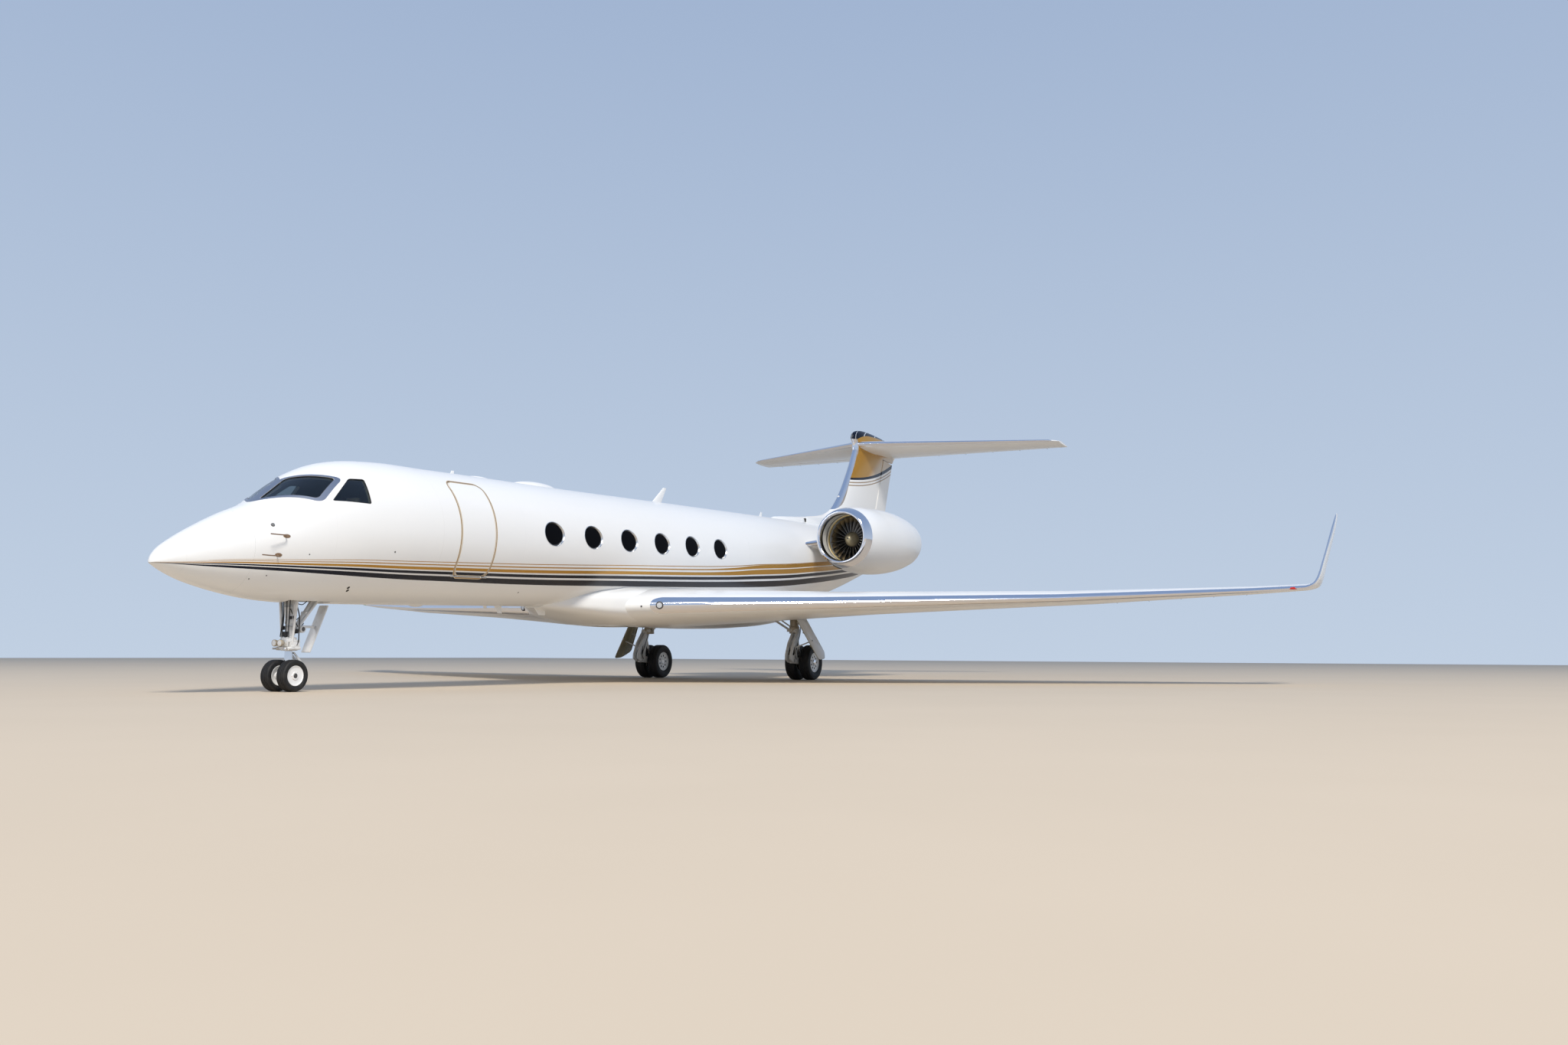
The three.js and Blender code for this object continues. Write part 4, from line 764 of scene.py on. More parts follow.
# Objects
def build(name, shape, crease=32):
    """A mesh object from a shape, its normals outward and its hard edges kept"""
    mesh = bpy.data.meshes.new(name)
    mesh.from_pydata(shape.points.tolist(), [], shape.faces)
    materials = list(dict.fromkeys(shape.finishes))
    for material in materials:
        mesh.materials.append(material)
    index = {material: i for i, material in enumerate(materials)}
    mesh.polygons.foreach_set("material_index", [index[f] for f in shape.finishes])
    bm = bmesh.new()
    bm.from_mesh(mesh)
    bmesh.ops.remove_doubles(bm, verts=bm.verts, dist=1e-6)
    bmesh.ops.recalc_face_normals(bm, faces=bm.faces)
    bm.to_mesh(mesh)
    bm.free()
    crisp(mesh, crease)
    piece = bpy.data.objects.new(name, mesh)
    scene.collection.objects.link(piece)
    return piece


def crisp(mesh, crease=32):
    mesh.polygons.foreach_set("use_smooth", [True] * len(mesh.polygons))
    mesh.set_sharp_from_angle(angle=math.radians(crease))
    mesh.update()


def discard(*pieces):
    for piece in pieces:
        spent = piece.data
        bpy.data.objects.remove(piece)
        bpy.data.meshes.remove(spent)


def carve(piece, tool, operation="DIFFERENCE"):
    """Cuts a piece by a shape or by another piece, adds it, or keeps what both share. The tool is used up."""
    tool = build("tool", tool) if isinstance(tool, Shape) else tool
    modifier = piece.modifiers.new("carve", "BOOLEAN")
    modifier.operation = operation
    modifier.solver = "EXACT"
    modifier.material_mode = "TRANSFER"
    modifier.object = tool
    mesh = bpy.data.meshes.new_from_object(piece.evaluated_get(bpy.context.evaluated_depsgraph_get()))
    piece.modifiers.remove(modifier)
    old = piece.data
    piece.data = mesh
    mesh.name = piece.name
    bpy.data.meshes.remove(old)
    discard(tool)
    return piece


class SmoothSkin:
    """The shading of a surface as it was before it was cut, to lay on what the cuts leave."""

    def __init__(self, piece):
        mesh = piece.data
        self.points = [v.co.copy() for v in mesh.vertices]
        self.faces = [tuple(p.vertices) for p in mesh.polygons]
        self.first = [p.loop_start for p in mesh.polygons]
        self.normals = [n.vector.copy() for n in mesh.corner_normals]
        self.tree = BVHTree.FromPolygons(self.points, self.faces)

    def normal_at(self, point):
        spot, _, index, distance = self.tree.find_nearest(point)
        corners = [self.points[i] for i in self.faces[index]]
        weights = poly_3d_calc(corners, spot)
        result = Vector((0, 0, 0))
        for k, weight in enumerate(weights):
            result += self.normals[self.first[index] + k] * weight
        return result.normalized(), distance

    def lay_on(self, piece, reach=0.004, turn=0.80):
        mesh = piece.data
        crisp(mesh)
        normals = [n.vector.copy() for n in mesh.corner_normals]
        points = [v.co for v in mesh.vertices]
        for polygon in mesh.polygons:
            middle = polygon.center
            for loop in polygon.loop_indices:
                corner = points[mesh.loops[loop].vertex_index]
                normal, distance = self.normal_at(corner.lerp(middle, 0.03))
                if distance < reach and normal.dot(polygon.normal) > turn:
                    normals[loop] = normal
        mesh.normals_split_custom_set(normals)


def carved_skin(piece, *cuts):
    """A piece after (tool, operation) cuts, with its own smooth shading laid back on what they leave"""
    smooth = SmoothSkin(piece)
    for tool, operation in cuts:
        piece = carve(piece, tool, operation)
    smooth.lay_on(piece)
    return piece


def finish_piece(piece, slot, *nodes, body="airframe"):
    """Rides a piece on its body and hides the CAD nodes it stands for. slot is not used."""
    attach(piece, body)
    if nodes:
        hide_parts(*nodes)
    return piece


def mirror_piece(piece, name):
    """A starboard copy of a port piece"""
    mesh = piece.data.copy()
    mesh.name = name
    mesh.transform(Matrix.Scale(-1, 4, (1, 0, 0)))
    mesh.flip_normals()
    twin = bpy.data.objects.new(name, mesh)
    scene.collection.objects.link(twin)
    return twin


def finish_pair(piece, slot, *nodes, body="airframe"):
    """A port piece and its mirror image. body and nodes are given without their side."""
    twin = mirror_piece(piece, piece.name.replace("port", "starboard"))
    for side, half in (("left", piece), ("right", twin)):
        own_body = body if body == "airframe" else f"{side}_{body}"
        finish_piece(half, slot, *(f"{side}_{node}" for node in nodes), body=own_body)


def make_piece(name, shapes, slot, *nodes, body="airframe", crease=32):
    shape = shapes if isinstance(shapes, Shape) else total(shapes)
    return finish_piece(build(name, shape, crease), slot, *nodes, body=body)


def make_pair(name, shapes, slot, *nodes, body="airframe", crease=32):
    shape = shapes if isinstance(shapes, Shape) else total(shapes)
    finish_pair(build(f"port_{name}", shape, crease), slot, *nodes, body=body)


# Fuselage
SECTIONS = (
    (0.00, 0.000, 1.880, 1.880, 1.880), (0.07, 0.130, 2.033, 1.905, 1.843),
    (0.18, 0.222, 2.140, 1.935, 1.785), (0.33, 0.305, 2.243, 1.965, 1.720),
    (0.56, 0.410, 2.385, 2.010, 1.639), (0.82, 0.510, 2.527, 2.065, 1.574),
    (1.25, 0.655, 2.742, 2.160, 1.490), (1.66, 0.775, 2.914, 2.260, 1.432),
    (1.97, 0.850, 3.144, 2.330, 1.407), (2.27, 0.918, 3.372, 2.395, 1.396),
    (2.55, 0.975, 3.529, 2.450, 1.394), (2.92, 1.040, 3.682, 2.505, 1.400),
    (3.50, 1.110, 3.801, 2.570, 1.412), (4.20, 1.165, 3.862, 2.625, 1.428),
    (5.20, 1.195, 3.885, 2.668, 1.453), (9.00, 1.195, 3.995, 2.776, 1.561),
    (14.0, 1.195, 4.166, 2.919, 1.704), (17.6, 1.195, 4.284, 3.022, 1.807),
    (19.2, 1.180, 4.335, 3.075, 1.900), (20.8, 1.080, 4.385, 3.180, 2.150),
    (22.4, 0.900, 4.420, 3.330, 2.480), (24.0, 0.650, 4.430, 3.500, 2.870),
    (25.4, 0.400, 4.380, 3.660, 3.230), (26.5, 0.220, 4.250, 3.800, 3.500),
    (27.0, 0.110, 4.120, 3.860, 3.680),
)
ROUNDING_STEPS = 12
ROOT_STEP = 0.005
RING_SIDES = 96


def monotone(knots, values):
    """A smooth curve through rows of values that never overshoots them"""
    knots = np.asarray(knots, float)
    values = np.asarray(values, float)
    step = np.diff(knots)
    rise = np.diff(values, axis=0) / step[:, None]
    slope = np.vstack([rise[:1], np.zeros((len(knots) - 2, values.shape[1])), rise[-1:]])
    for i in range(1, len(knots) - 1):
        steady = rise[i - 1] * rise[i] > 0
        slope[i][steady] = 2 / (1 / rise[i - 1][steady] + 1 / rise[i][steady])

    def at(place):
        i = int(np.clip(np.searchsorted(knots, place) - 1, 0, len(step) - 1))
        t = np.clip((place - knots[i]) / step[i], 0, 1)
        bend = slope[i] * t * (1 - t) ** 2 - slope[i + 1] * t * t * (1 - t)
        return values[i] * (1 + 2 * t) * (1 - t) ** 2 + values[i + 1] * t * t * (3 - 2 * t) + step[i] * bend
    return at


def skin_table():
    """Half width, reach above and below the widest point and its height, over the root of the station"""
    rows = [(half, top - wide, wide - bottom, wide) for _, half, top, wide, bottom in SECTIONS]
    curve = monotone([math.sqrt(row[0]) for row in SECTIONS], rows)
    last = math.sqrt(TAIL_END)
    roots = np.arange(0, last, ROOT_STEP)
    samples = np.array([curve(root) for root in roots])
    ahead = samples[1:ROUNDING_STEPS + 1][::-1] * (-1, -1, -1, 1)
    beyond = 2 * samples[-1] - samples[-ROUNDING_STEPS - 1:-1][::-1]
    padded = np.vstack([ahead, samples, beyond])
    window = np.ones(2 * ROUNDING_STEPS + 1) / (2 * ROUNDING_STEPS + 1)
    return roots, np.array([np.convolve(column, window, "valid") for column in padded.T])


SKIN_ROOTS, SKIN_COLUMNS = skin_table()


def skin(station):
    root = math.sqrt(max(station, 0))
    return [float(np.interp(root, SKIN_ROOTS, column)) for column in SKIN_COLUMNS]


def skin_out(station, z, inset=0.0):
    """Distance from the centreline to the skin at a station and height"""
    half, up, down, wide = skin(station)
    reach = (up if z > wide else down) - inset
    return (half - inset) * math.sqrt(max(0.0, 1 - ((z - wide) / reach) ** 2))


def skin_point(station, angle):
    """The place and outward direction on the skin at an angle from the crown, positive to port"""
    half, up, down, wide = skin(station)
    reach = (up if math.cos(angle) > 0 else down)
    x, z = half * math.sin(angle), wide + reach * math.cos(angle)
    ahead = np.array(skin(station + 0.05)) - np.array(skin(station - 0.05))
    grow = ahead[1] if math.cos(angle) > 0 else ahead[2]
    along = np.array([ahead[0] * math.sin(angle), 0.1, ahead[3] + grow * math.cos(angle)])
    round_it = np.array([half * math.cos(angle), 0, -reach * math.sin(angle)])
    out = np.cross(along, round_it)
    out /= np.linalg.norm(out)
    if out @ (math.sin(angle), 0, math.cos(angle)) < 0:
        out = -out
    return np.array([x, aft(station), z]), out


def onto_skin(point, direction):
    """Where a line through an (x, station, z) point meets the skin, and the skin's outward direction"""
    def outside(spot):
        half, up, down, wide = skin(spot[1])
        reach = up if spot[2] > wide else down
        return (spot[0] / half) ** 2 + ((spot[2] - wide) / reach) ** 2 - 1
    low, high = point - 0.3 * direction, point + 0.3 * direction
    for _ in range(30):
        middle = (low + high) / 2
        if outside(middle) > 0:
            high = middle
        else:
            low = middle
    slope = np.array([outside(low + step) - outside(low - step) for step in np.eye(3) * 0.001])
    return low, slope / np.linalg.norm(slope)


def skin_ring(station, inset=0.0):
    half, up, down, wide = skin(station)
    turn = turns(RING_SIDES)
    rise = np.cos(turn)
    reach = np.where(rise > 0, up, down) - inset
    x = (half - inset) * np.sin(turn)
    return np.stack([x, np.full(RING_SIDES, aft(station)), wide + reach * rise], axis=1)


def stations_between(start, end, steps):
    """Stations that crowd together towards the nose"""
    return np.linspace(math.sqrt(start), math.sqrt(end), steps) ** 2


def fuselage_shell(start, end, steps, finish, lining, outside=0.0, wall=WALL):
    stations = stations_between(start, end, steps)
    outer = [skin_ring(s, outside) for s in stations]
    inner = [skin_ring(s, wall) for s in stations][::-1]
    return loft(outer + inner, lambda row: finish if row < steps - 1 else lining, closed=True)


def rounded_outline(points, radius):
    """A flat outline (rows of 2-D or 3-D points) with its corners rounded"""
    points = [np.asarray(p, float) for p in points]
    result = []
    for before, corner, after in zip([points[-1]] + points[:-1], points, points[1:] + points[:1]):
        one = before - corner
        two = after - corner
        reach = min(radius, 0.45 * np.linalg.norm(one), 0.45 * np.linalg.norm(two))
        start = corner + one / np.linalg.norm(one) * reach
        end = corner + two / np.linalg.norm(two) * reach
        for t in np.linspace(0, 1, 9):
            result.append(start * (1 - t) ** 2 + corner * 2 * t * (1 - t) + end * t * t)
    return result


PANES = {
    "windshield": ((0.095, 1.745, 2.955), (0.095, 2.235, 3.345), (0.630, 2.765, 3.380),
                   (0.745, 2.321, 3.005)),
    "side_window": ((0.840, 2.525, 2.990), (0.690, 2.975, 3.400), (0.750, 3.250, 3.420),
                    (0.990, 3.205, 2.990)),
}
PANE_CORNERS = {"windshield": 0.075, "side_window": 0.045}
SLAB_HALF = 0.25
THROUGH_WALL = (0.3, 1.5)
FRAME_LAYER = (-0.0035, 0.03)
SEAL_LAYER = (0.002, 0.012)
GLASS_LAYER = (0.013, 0.033)


def pane_slab(name, grow, finish, radius=None):
    """A slab through the skin over a pane. grow gives how far each side, in order, is moved outwards."""
    points = [place_of(c) for c in PANES[name]]
    middle = sum(points) / len(points)
    normal = np.cross(points[2] - points[0], points[3] - points[1])
    normal /= np.linalg.norm(normal)
    flat = [p - normal * ((p - middle) @ normal) for p in points]
    moved = []
    for i, corner in enumerate(flat):
        before, after = flat[i - 1], flat[(i + 1) % len(flat)]
        one, two = corner - before, after - corner
        one /= np.linalg.norm(one)
        two /= np.linalg.norm(two)
        out_one, out_two = np.cross(one, normal), np.cross(two, normal)
        g_one, g_two = grow[i - 1], grow[i]
        spread = 1 - (out_one @ out_two) ** 2
        a = (g_one - g_two * (out_one @ out_two)) / spread
        b = (g_two - g_one * (out_one @ out_two)) / spread
        moved.append(corner + out_one * a + out_two * b)
    outline = rounded_outline(moved, radius or PANE_CORNERS[name])
    return loft([[p + normal * side for p in outline] for side in (-SLAB_HALF, SLAB_HALF)], finish)


def door_slab(margin):
    """The door's rounded outline, cut through the wall along its slope"""
    low, high = DOOR_SILL + margin, DOOR_TOP - margin
    front, rear = DOOR_FRONT + margin, DOOR_REAR - margin
    radius = DOOR_CORNER + margin
    outline = []
    for s, z, start in ((rear - radius, low + radius, -90), (rear - radius, high - radius, 0),
                        (front + radius, high - radius, 90), (front + radius, low + radius, 180)):
        for angle in np.radians(np.linspace(start, start + 90, 13)):
            outline.append((s + radius * math.cos(angle), z + radius * math.sin(angle)))
    rings = [[(x, aft(s), z + DOOR_CUT_SLOPE * (x - DOOR_CUT_OUT) + AXIS_RISE * (s - DOOR_MIDDLE))
              for s, z in outline] for x in THROUGH_WALL]
    return loft(rings, PAINT)


PANEL_GAP = 0.0004
DOOR_GAP = 0.008
BAY_FRONT, BAY_REAR, BAY_HALF, BAY_ROOF = 2.30, 3.15, 0.24, 1.72
BAY_WALL = 0.03
BELOW_BELLY = 1.2
TIP_START = 25.6


def make_radome():
    stations = np.concatenate([[0.00002], stations_between(0.0006, RADOME_END - PANEL_GAP, 44)])
    make_piece("radome_skin", loft([skin_ring(s) for s in stations], LIVERY), "white_composite", "radome")


def make_cockpit_shell():
    shell = fuselage_shell(RADOME_END + PANEL_GAP, COCKPIT_END, 60, LIVERY, COCKPIT_LINING)
    belly = build("belly", loft([skin_ring(s) for s in stations_between(2.2, 3.25, 16)], LIVERY))
    belly = carve(belly,
                  sharp_block(-BAY_HALF - BAY_WALL, BAY_HALF + BAY_WALL, BAY_FRONT - BAY_WALL,
                              BAY_REAR + BAY_WALL, BELOW_BELLY, BAY_ROOF + BAY_WALL, ENAMEL), "INTERSECT")
    bay = sharp_block(-BAY_HALF, BAY_HALF, BAY_FRONT, BAY_REAR, BELOW_BELLY, BAY_ROOF, ENAMEL)
    cuts = [(belly, "UNION"), (bay, "DIFFERENCE")]
    for name in PANES:
        slab = pane_slab(name, (0, 0, 0, 0), LINING)
        cuts += [(slab, "DIFFERENCE"), (slab.mirrored(), "DIFFERENCE")]
    piece = carved_skin(build("cockpit_skin", shell), *cuts)
    finish_piece(piece, "white_paint", "cockpit_shell")


def make_windshield_frame():
    """The riveted metal frame: centre post, sill, top and side bands, a hair proud of the skin"""
    layer = build("windshield_frame", fuselage_shell(1.45, 3.05, 60, FRAME_METAL, FRAME_METAL, *FRAME_LAYER))
    around = pane_slab("windshield", (0.13, 0.045, 0.085, 0.055), FRAME_METAL, radius=0.13)
    both = carve(build("tool", around), around.mirrored(), "UNION")
    opening = pane_slab("windshield", (0.002,) * 4, FRAME_METAL)
    layer = carved_skin(layer, (both, "INTERSECT"), (opening, "DIFFERENCE"),
                        (opening.mirrored(), "DIFFERENCE"))
    finish_piece(layer, "engine_steel")


def make_cockpit_glass():
    for name in PANES:
        pane = build(f"port_{name}_glass", fuselage_shell(1.4, 3.9, 70, GLASS, GLASS, *GLASS_LAYER))
        pane = carved_skin(pane, (pane_slab(name, (-0.001,) * 4, GLASS), "INTERSECT"))
        finish_pair(pane, "dark_glass", name)
        seal = build(f"port_{name}_seal", fuselage_shell(1.4, 3.9, 70, BLACK_RUBBER_AND_SHADE, BLACK_RUBBER_AND_SHADE, *SEAL_LAYER))
        seal = carved_skin(seal, (pane_slab(name, (0.0,) * 4, BLACK_RUBBER_AND_SHADE), "INTERSECT"),
                           (pane_slab(name, (-0.009,) * 4, BLACK_RUBBER_AND_SHADE), "DIFFERENCE"))
        finish_pair(seal, "black_plastic")


WINDOW_STATIONS = [7.780 + 1.276 * i for i in range(6)]
WINDOW_HALF_LENGTH = 0.310
WINDOW_HALF_HEIGHT = 0.235
WINDOW_ABOVE_AXIS = 0.155
WINDOW_SIDES = 56


def window_ring(station, grow, x=None, level=0.0):
    """Points round a cabin window, on the port skin or at a fixed distance out"""
    height = axis_height(station) + WINDOW_ABOVE_AXIS
    ring = []
    for angle in turns(WINDOW_SIDES):
        along = (WINDOW_HALF_LENGTH + grow) * math.cos(angle)
        z = height + (WINDOW_HALF_HEIGHT + grow) * math.sin(angle)
        out = skin_out(station + along, z) + level if x is None else x
        ring.append((out, aft(station + along), z))
    return ring


def window_rings(profile, finish, closed=True):
    """A ring or a pane at every port window, from (growth, level) points"""
    return total(loft([window_ring(s, grow, level=level) for grow, level in profile], finish, closed)
                 for s in WINDOW_STATIONS)


def make_cabin_shell():
    piece = build("cabin_skin", fuselage_shell(COCKPIT_END + PANEL_GAP, CABIN_END, 110, LIVERY, LINING))
    ovals = [loft([window_ring(s, 0.0, x=x) for x in THROUGH_WALL], REVEAL_METAL) for s in WINDOW_STATIONS]
    holes = total(ovals + [oval.mirrored() for oval in ovals])
    piece = carved_skin(piece, (holes, "DIFFERENCE"), (door_slab(0.0), "DIFFERENCE"))
    finish_piece(piece, "white_paint", "cabin_shell")


def make_cabin_windows():
    reveal = ((0.004, 0.0010), (0.000, 0.0030), (-0.006, 0.0020), (-0.010, -0.004), (-0.021, -0.026),
              (-0.024, -0.034), (-0.024, -0.046), (0.004, -0.046))
    seal = ((-0.023, -0.032), (-0.026, -0.029), (-0.031, -0.033), (-0.031, -0.042), (-0.023, -0.042))
    pane = ((-0.028, -0.041), (-0.028, -0.036), (-0.08, -0.034), (-0.15, -0.033))
    make_pair("window_reveals", window_rings(reveal, REVEAL_METAL), "cabin_trim")
    make_pair("window_seals", window_rings(seal, BLACK_RUBBER_AND_SHADE), "black_plastic")
    # The panes are opaque and near-black, painted shade in place of the dim cabin seen through them
    make_pair("cabin_window_panes", window_rings(pane, CABIN_PANE_PAINTED_SHADE, closed=False), "dark_glass",
              "cabin_windows")


def make_entry_door():
    piece = build("entry_door_skin", fuselage_shell(DOOR_FRONT - 0.1, DOOR_REAR + 0.1, 24, LIVERY, LINING))
    piece = carved_skin(piece, (door_slab(DOOR_GAP), "INTERSECT"))
    finish_piece(piece, "white_paint", "entry_door", body="entry_door")


def make_tail_cone():
    cone = fuselage_shell(CABIN_END + PANEL_GAP, TIP_START, 110, LIVERY, LINING)
    make_piece("tail_cone_skin", cone, "white_paint", "tail_cone")
    end = loft([skin_ring(s) for s in np.linspace(TIP_START + 0.0005, TAIL_END, 16)], LIVERY)
    make_piece("tail_cone_tip", end, "white_paint")

FAIRING = (
    (8.7, 0.26, 1.53, 1.80), (9.4, 0.76, 1.42, 1.90), (10.2, 1.15, 1.30, 2.00), (11.0, 1.33, 1.225, 2.08),
    (14.7, 1.36, 1.225, 2.15), (16.4, 1.30, 1.29, 2.15), (18.0, 1.05, 1.43, 2.15), (19.4, 0.65, 1.65, 2.20),
    (20.3, 0.25, 1.93, 2.25),
)
FAIRING_CORNER = 0.62
FAIRING_SIDES = 80


def make_belly_fairing():
    curve = monotone([row[0] for row in FAIRING], [row[1:] for row in FAIRING])
    rings = []
    for station in np.linspace(FAIRING[0][0], FAIRING[-1][0], 90):
        half, bottom, top = curve(station)
        ring = []
        for angle in turns(FAIRING_SIDES):
            across = math.copysign(abs(math.sin(angle)) ** FAIRING_CORNER, math.sin(angle))
            up = math.copysign(abs(math.cos(angle)) ** FAIRING_CORNER, math.cos(angle))
            ring.append((half * across, aft(station), (bottom + top) / 2 + (top - bottom) / 2 * up))
        rings.append(ring)
    make_piece("belly_fairing_skin", loft(rings, PAINT), "white_composite", "belly_fairing", crease=50)


# Wings
CHORD_STEPS = 30
EDGE_THICKNESS = 0.004


def aerofoil(thickness, camber=0.0):
    """(chord share, height share) points from the trailing edge over the top to the nose and back below"""
    shares = (1 - np.cos(np.linspace(0, np.pi, CHORD_STEPS))) / 2
    half = 5 * thickness * (0.2969 * np.sqrt(shares) - 0.126 * shares - 0.3516 * shares ** 2
                            + 0.2843 * shares ** 3 - 0.1036 * shares ** 4) + EDGE_THICKNESS / 2 * shares
    line = 4 * camber * shares * (1 - shares)
    upper = list(zip(shares, line + half))[::-1]
    lower = list(zip(shares, line - half))[1:]
    return upper + lower


WING = (
    (0.700, 9.965, 1.590, 7.300, 1.500, 0.115, 0.012), (1.600, 10.500, 1.620, 6.740, 1.530, 0.115, 0.012),
    (4.500, 12.225, 1.695, 4.850, 1.640, 0.105, 0.014), (9.000, 14.920, 1.842, 3.220, 1.830, 0.095, 0.016),
    (12.600, 17.060, 2.030, 1.920, 2.050, 0.090, 0.016), (13.650, 17.690, 2.110, 1.540, 2.140, 0.090, 0.012),
)
WINGLET = (
    (13.820, 2.190, 17.830, 1.430, 0.085, 55), (13.905, 2.330, 17.960, 1.300, 0.080, 22),
    (14.000, 2.700, 18.230, 1.080, 0.075, 14), (14.229, 3.790, 19.180, 0.560, 0.070, 14),
    (14.238, 3.850, 19.300, 0.430, 0.050, 14),
)
NOSE_COLUMN = CHORD_STEPS - 1


def wing_row_at(x):
    xs = [row[0] for row in WING]
    return [float(np.interp(x, xs, [row[i] for row in WING])) for i in range(1, 7)]


def wing_ring(x):
    lead, lead_z, chord, trail_z, thickness, camber = wing_row_at(x)
    return [(x, aft(lead + c * chord), lead_z + (trail_z - lead_z) * c + t * chord)
            for c, t in aerofoil(thickness, camber)]


def wing_height(x, station, side):
    """Height of the wing's upper (1) or lower (-1) skin, or of its middle (0)"""
    lead, lead_z, chord, trail_z, thickness, camber = wing_row_at(x)
    c = (station - lead) / chord
    profile = aerofoil(thickness, camber)
    upper, lower = profile[:CHORD_STEPS][::-1], profile[CHORD_STEPS - 1:]
    line = 4 * camber * c * (1 - c)
    rows = upper if side > 0 else lower
    t = line if side == 0 else float(np.interp(c, [r[0] for r in rows], [r[1] for r in rows]))
    return lead_z + (trail_z - lead_z) * c + t * chord


def winglet_ring(row):
    x, z, lead, chord, thickness, lean = row
    angle = math.radians(lean)
    return [(x - t * chord * math.cos(angle), aft(lead + c * chord), z + t * chord * math.sin(angle))
            for c, t in aerofoil(thickness)]


def wing_loft():
    spans = sorted({*np.arange(0.7, 13.3, 0.3).round(3), 1.6, 4.5, 9.0, 12.6, 13.65})
    rings = [wing_ring(x) for x in spans]
    tip_rings = [wing_ring(12.6), wing_ring(13.65)] + [winglet_ring(row) for row in WINGLET]
    flat = [np.array(ring).ravel() for ring in tip_rings]
    run = np.concatenate([[0], np.cumsum([np.linalg.norm(b[NOSE_COLUMN * 3:NOSE_COLUMN * 3 + 3]
                                                         - a[NOSE_COLUMN * 3:NOSE_COLUMN * 3 + 3])
                                          for a, b in zip(flat, flat[1:])])])
    curve = monotone(run, flat)
    for place in np.concatenate([np.linspace(run[1], run[4], 22)[1:], np.linspace(run[4], run[6], 14)[1:]]):
        rings.append(curve(place).reshape(-1, 3))
    return rings


FLAP_EDGE = ((1.660, 16.399), (4.500, 16.330), (9.100, 17.391))
AILERON_EDGE = ((9.160, 17.440), (12.500, 18.510))
SPOILER_SPANS = ((4.700, 6.080), (6.130, 7.510), (7.560, 8.940))
SPOILER_CHORD = 0.430
SPOILER_THICKNESS = 0.022
SPOILER_REAR = 0.040
HINGED_END_GAP = 0.020
RUNNING_GAP = 0.008
WELL_AFT = 20.5
FLAP_END_SLOPE = 0.1935
PIN_RADIUS = 0.016
NOSE_CLEARANCE = 0.0015


def edge_station(edge, x):
    pair = edge[:2] if x < edge[-2][0] else edge[-2:]
    (x0, s0), (x1, s1) = pair
    return s0 + (x - x0) / (x1 - x0) * (s1 - s0)


def plan_prism(points, z0, z1, finish):
    return loft([[(x, aft(s), z) for x, s in points] for z in (z0, z1)], finish)


def behind(edge, offset, slope=0.0, inset=0.0):
    """Everything behind a hinged surface's front edge, between its ends or a little inside them"""
    start, end = edge[0][0] + inset, edge[-1][0] - inset
    inner = [x for x, _ in edge if start < x < end]
    front = [(x, edge_station(edge, x) + offset) for x in (start, *inner, end)]
    rear = [(x - slope * (WELL_AFT - edge_station(edge, x)), WELL_AFT) for x in (end, start)]
    return plan_prism(front + rear, 1.0, 3.0, WING_PAINT)


def spoiler_ring(x, front, rear, drop, lift):
    ring = []
    for offset, side in ((front, -drop), (rear, -drop), (rear, lift), (front, lift)):
        station = edge_station(FLAP_EDGE, x) - offset
        ring.append((x, aft(station), wing_height(x, station, 1) + side))
    return ring


def round_nose(edge, middles, radii, finish):
    """The round front of a hinged surface, between its ends less their gaps"""
    (x0, _), (x1, _) = edge
    a, b = np.array(middles[0], float), np.array(middles[1], float)
    rings = []
    for x in (x0 + HINGED_END_GAP, x1 - HINGED_END_GAP):
        t = (x - x0) / (x1 - x0)
        radius = radii[0] + (radii[1] - radii[0]) * t - NOSE_CLEARANCE
        middle = place_of(a + (b - a) * t)
        rings.append(ring_round(middle, np.array((0, 1, 0)), np.array((0, 0, 1)), radius, 40))
    return loft(rings, finish)


def wing_body(name):
    return build(name, loft(wing_loft(), WING_PAINT))


AILERON_NOSE = [(wing_height(x, s, 1) - wing_height(x, s, -1)) / 2 for x, s in AILERON_EDGE]


def make_wing():
    front = SPOILER_REAR + SPOILER_CHORD
    spans = np.linspace(SPOILER_SPANS[0][0] - RUNNING_GAP, SPOILER_SPANS[-1][1] + RUNNING_GAP, 15)
    recess = [spoiler_ring(x, front + 0.026, SPOILER_REAR - RUNNING_GAP, 0.044, 0.12) for x in spans]
    wing = carved_skin(wing_body("port_wing_skin"), (behind(FLAP_EDGE, 0, FLAP_END_SLOPE), "DIFFERENCE"),
                       (behind(AILERON_EDGE, -AILERON_NOSE[0] - RUNNING_GAP), "DIFFERENCE"),
                       (loft(recess, DOOR_INSIDE), "DIFFERENCE"))
    finish_pair(wing, "white_paint", "wing")


def make_flap():
    region = behind(FLAP_EDGE, RUNNING_GAP, FLAP_END_SLOPE, HINGED_END_GAP)
    flap = carved_skin(wing_body("port_flap_skin"), (region, "INTERSECT"))
    finish_pair(flap, "white_paint", "flap", body="flap")


def merged(name, pieces):
    """One object from several, whose places and materials stay as they are"""
    mesh = bpy.data.meshes.new(name)
    materials = []
    bm = bmesh.new()
    for piece in pieces:
        for material in piece.data.materials:
            if material not in materials:
                materials.append(material)
        index = [materials.index(m) for m in piece.data.materials]
        first = len(bm.faces)
        bm.from_mesh(piece.data)
        bm.faces.ensure_lookup_table()
        for face in bm.faces[first:]:
            face.material_index = index[face.material_index]
    bm.to_mesh(mesh)
    bm.free()
    for material in materials:
        mesh.materials.append(material)
    discard(*pieces)
    crisp(mesh)
    whole = bpy.data.objects.new(name, mesh)
    scene.collection.objects.link(whole)
    return whole


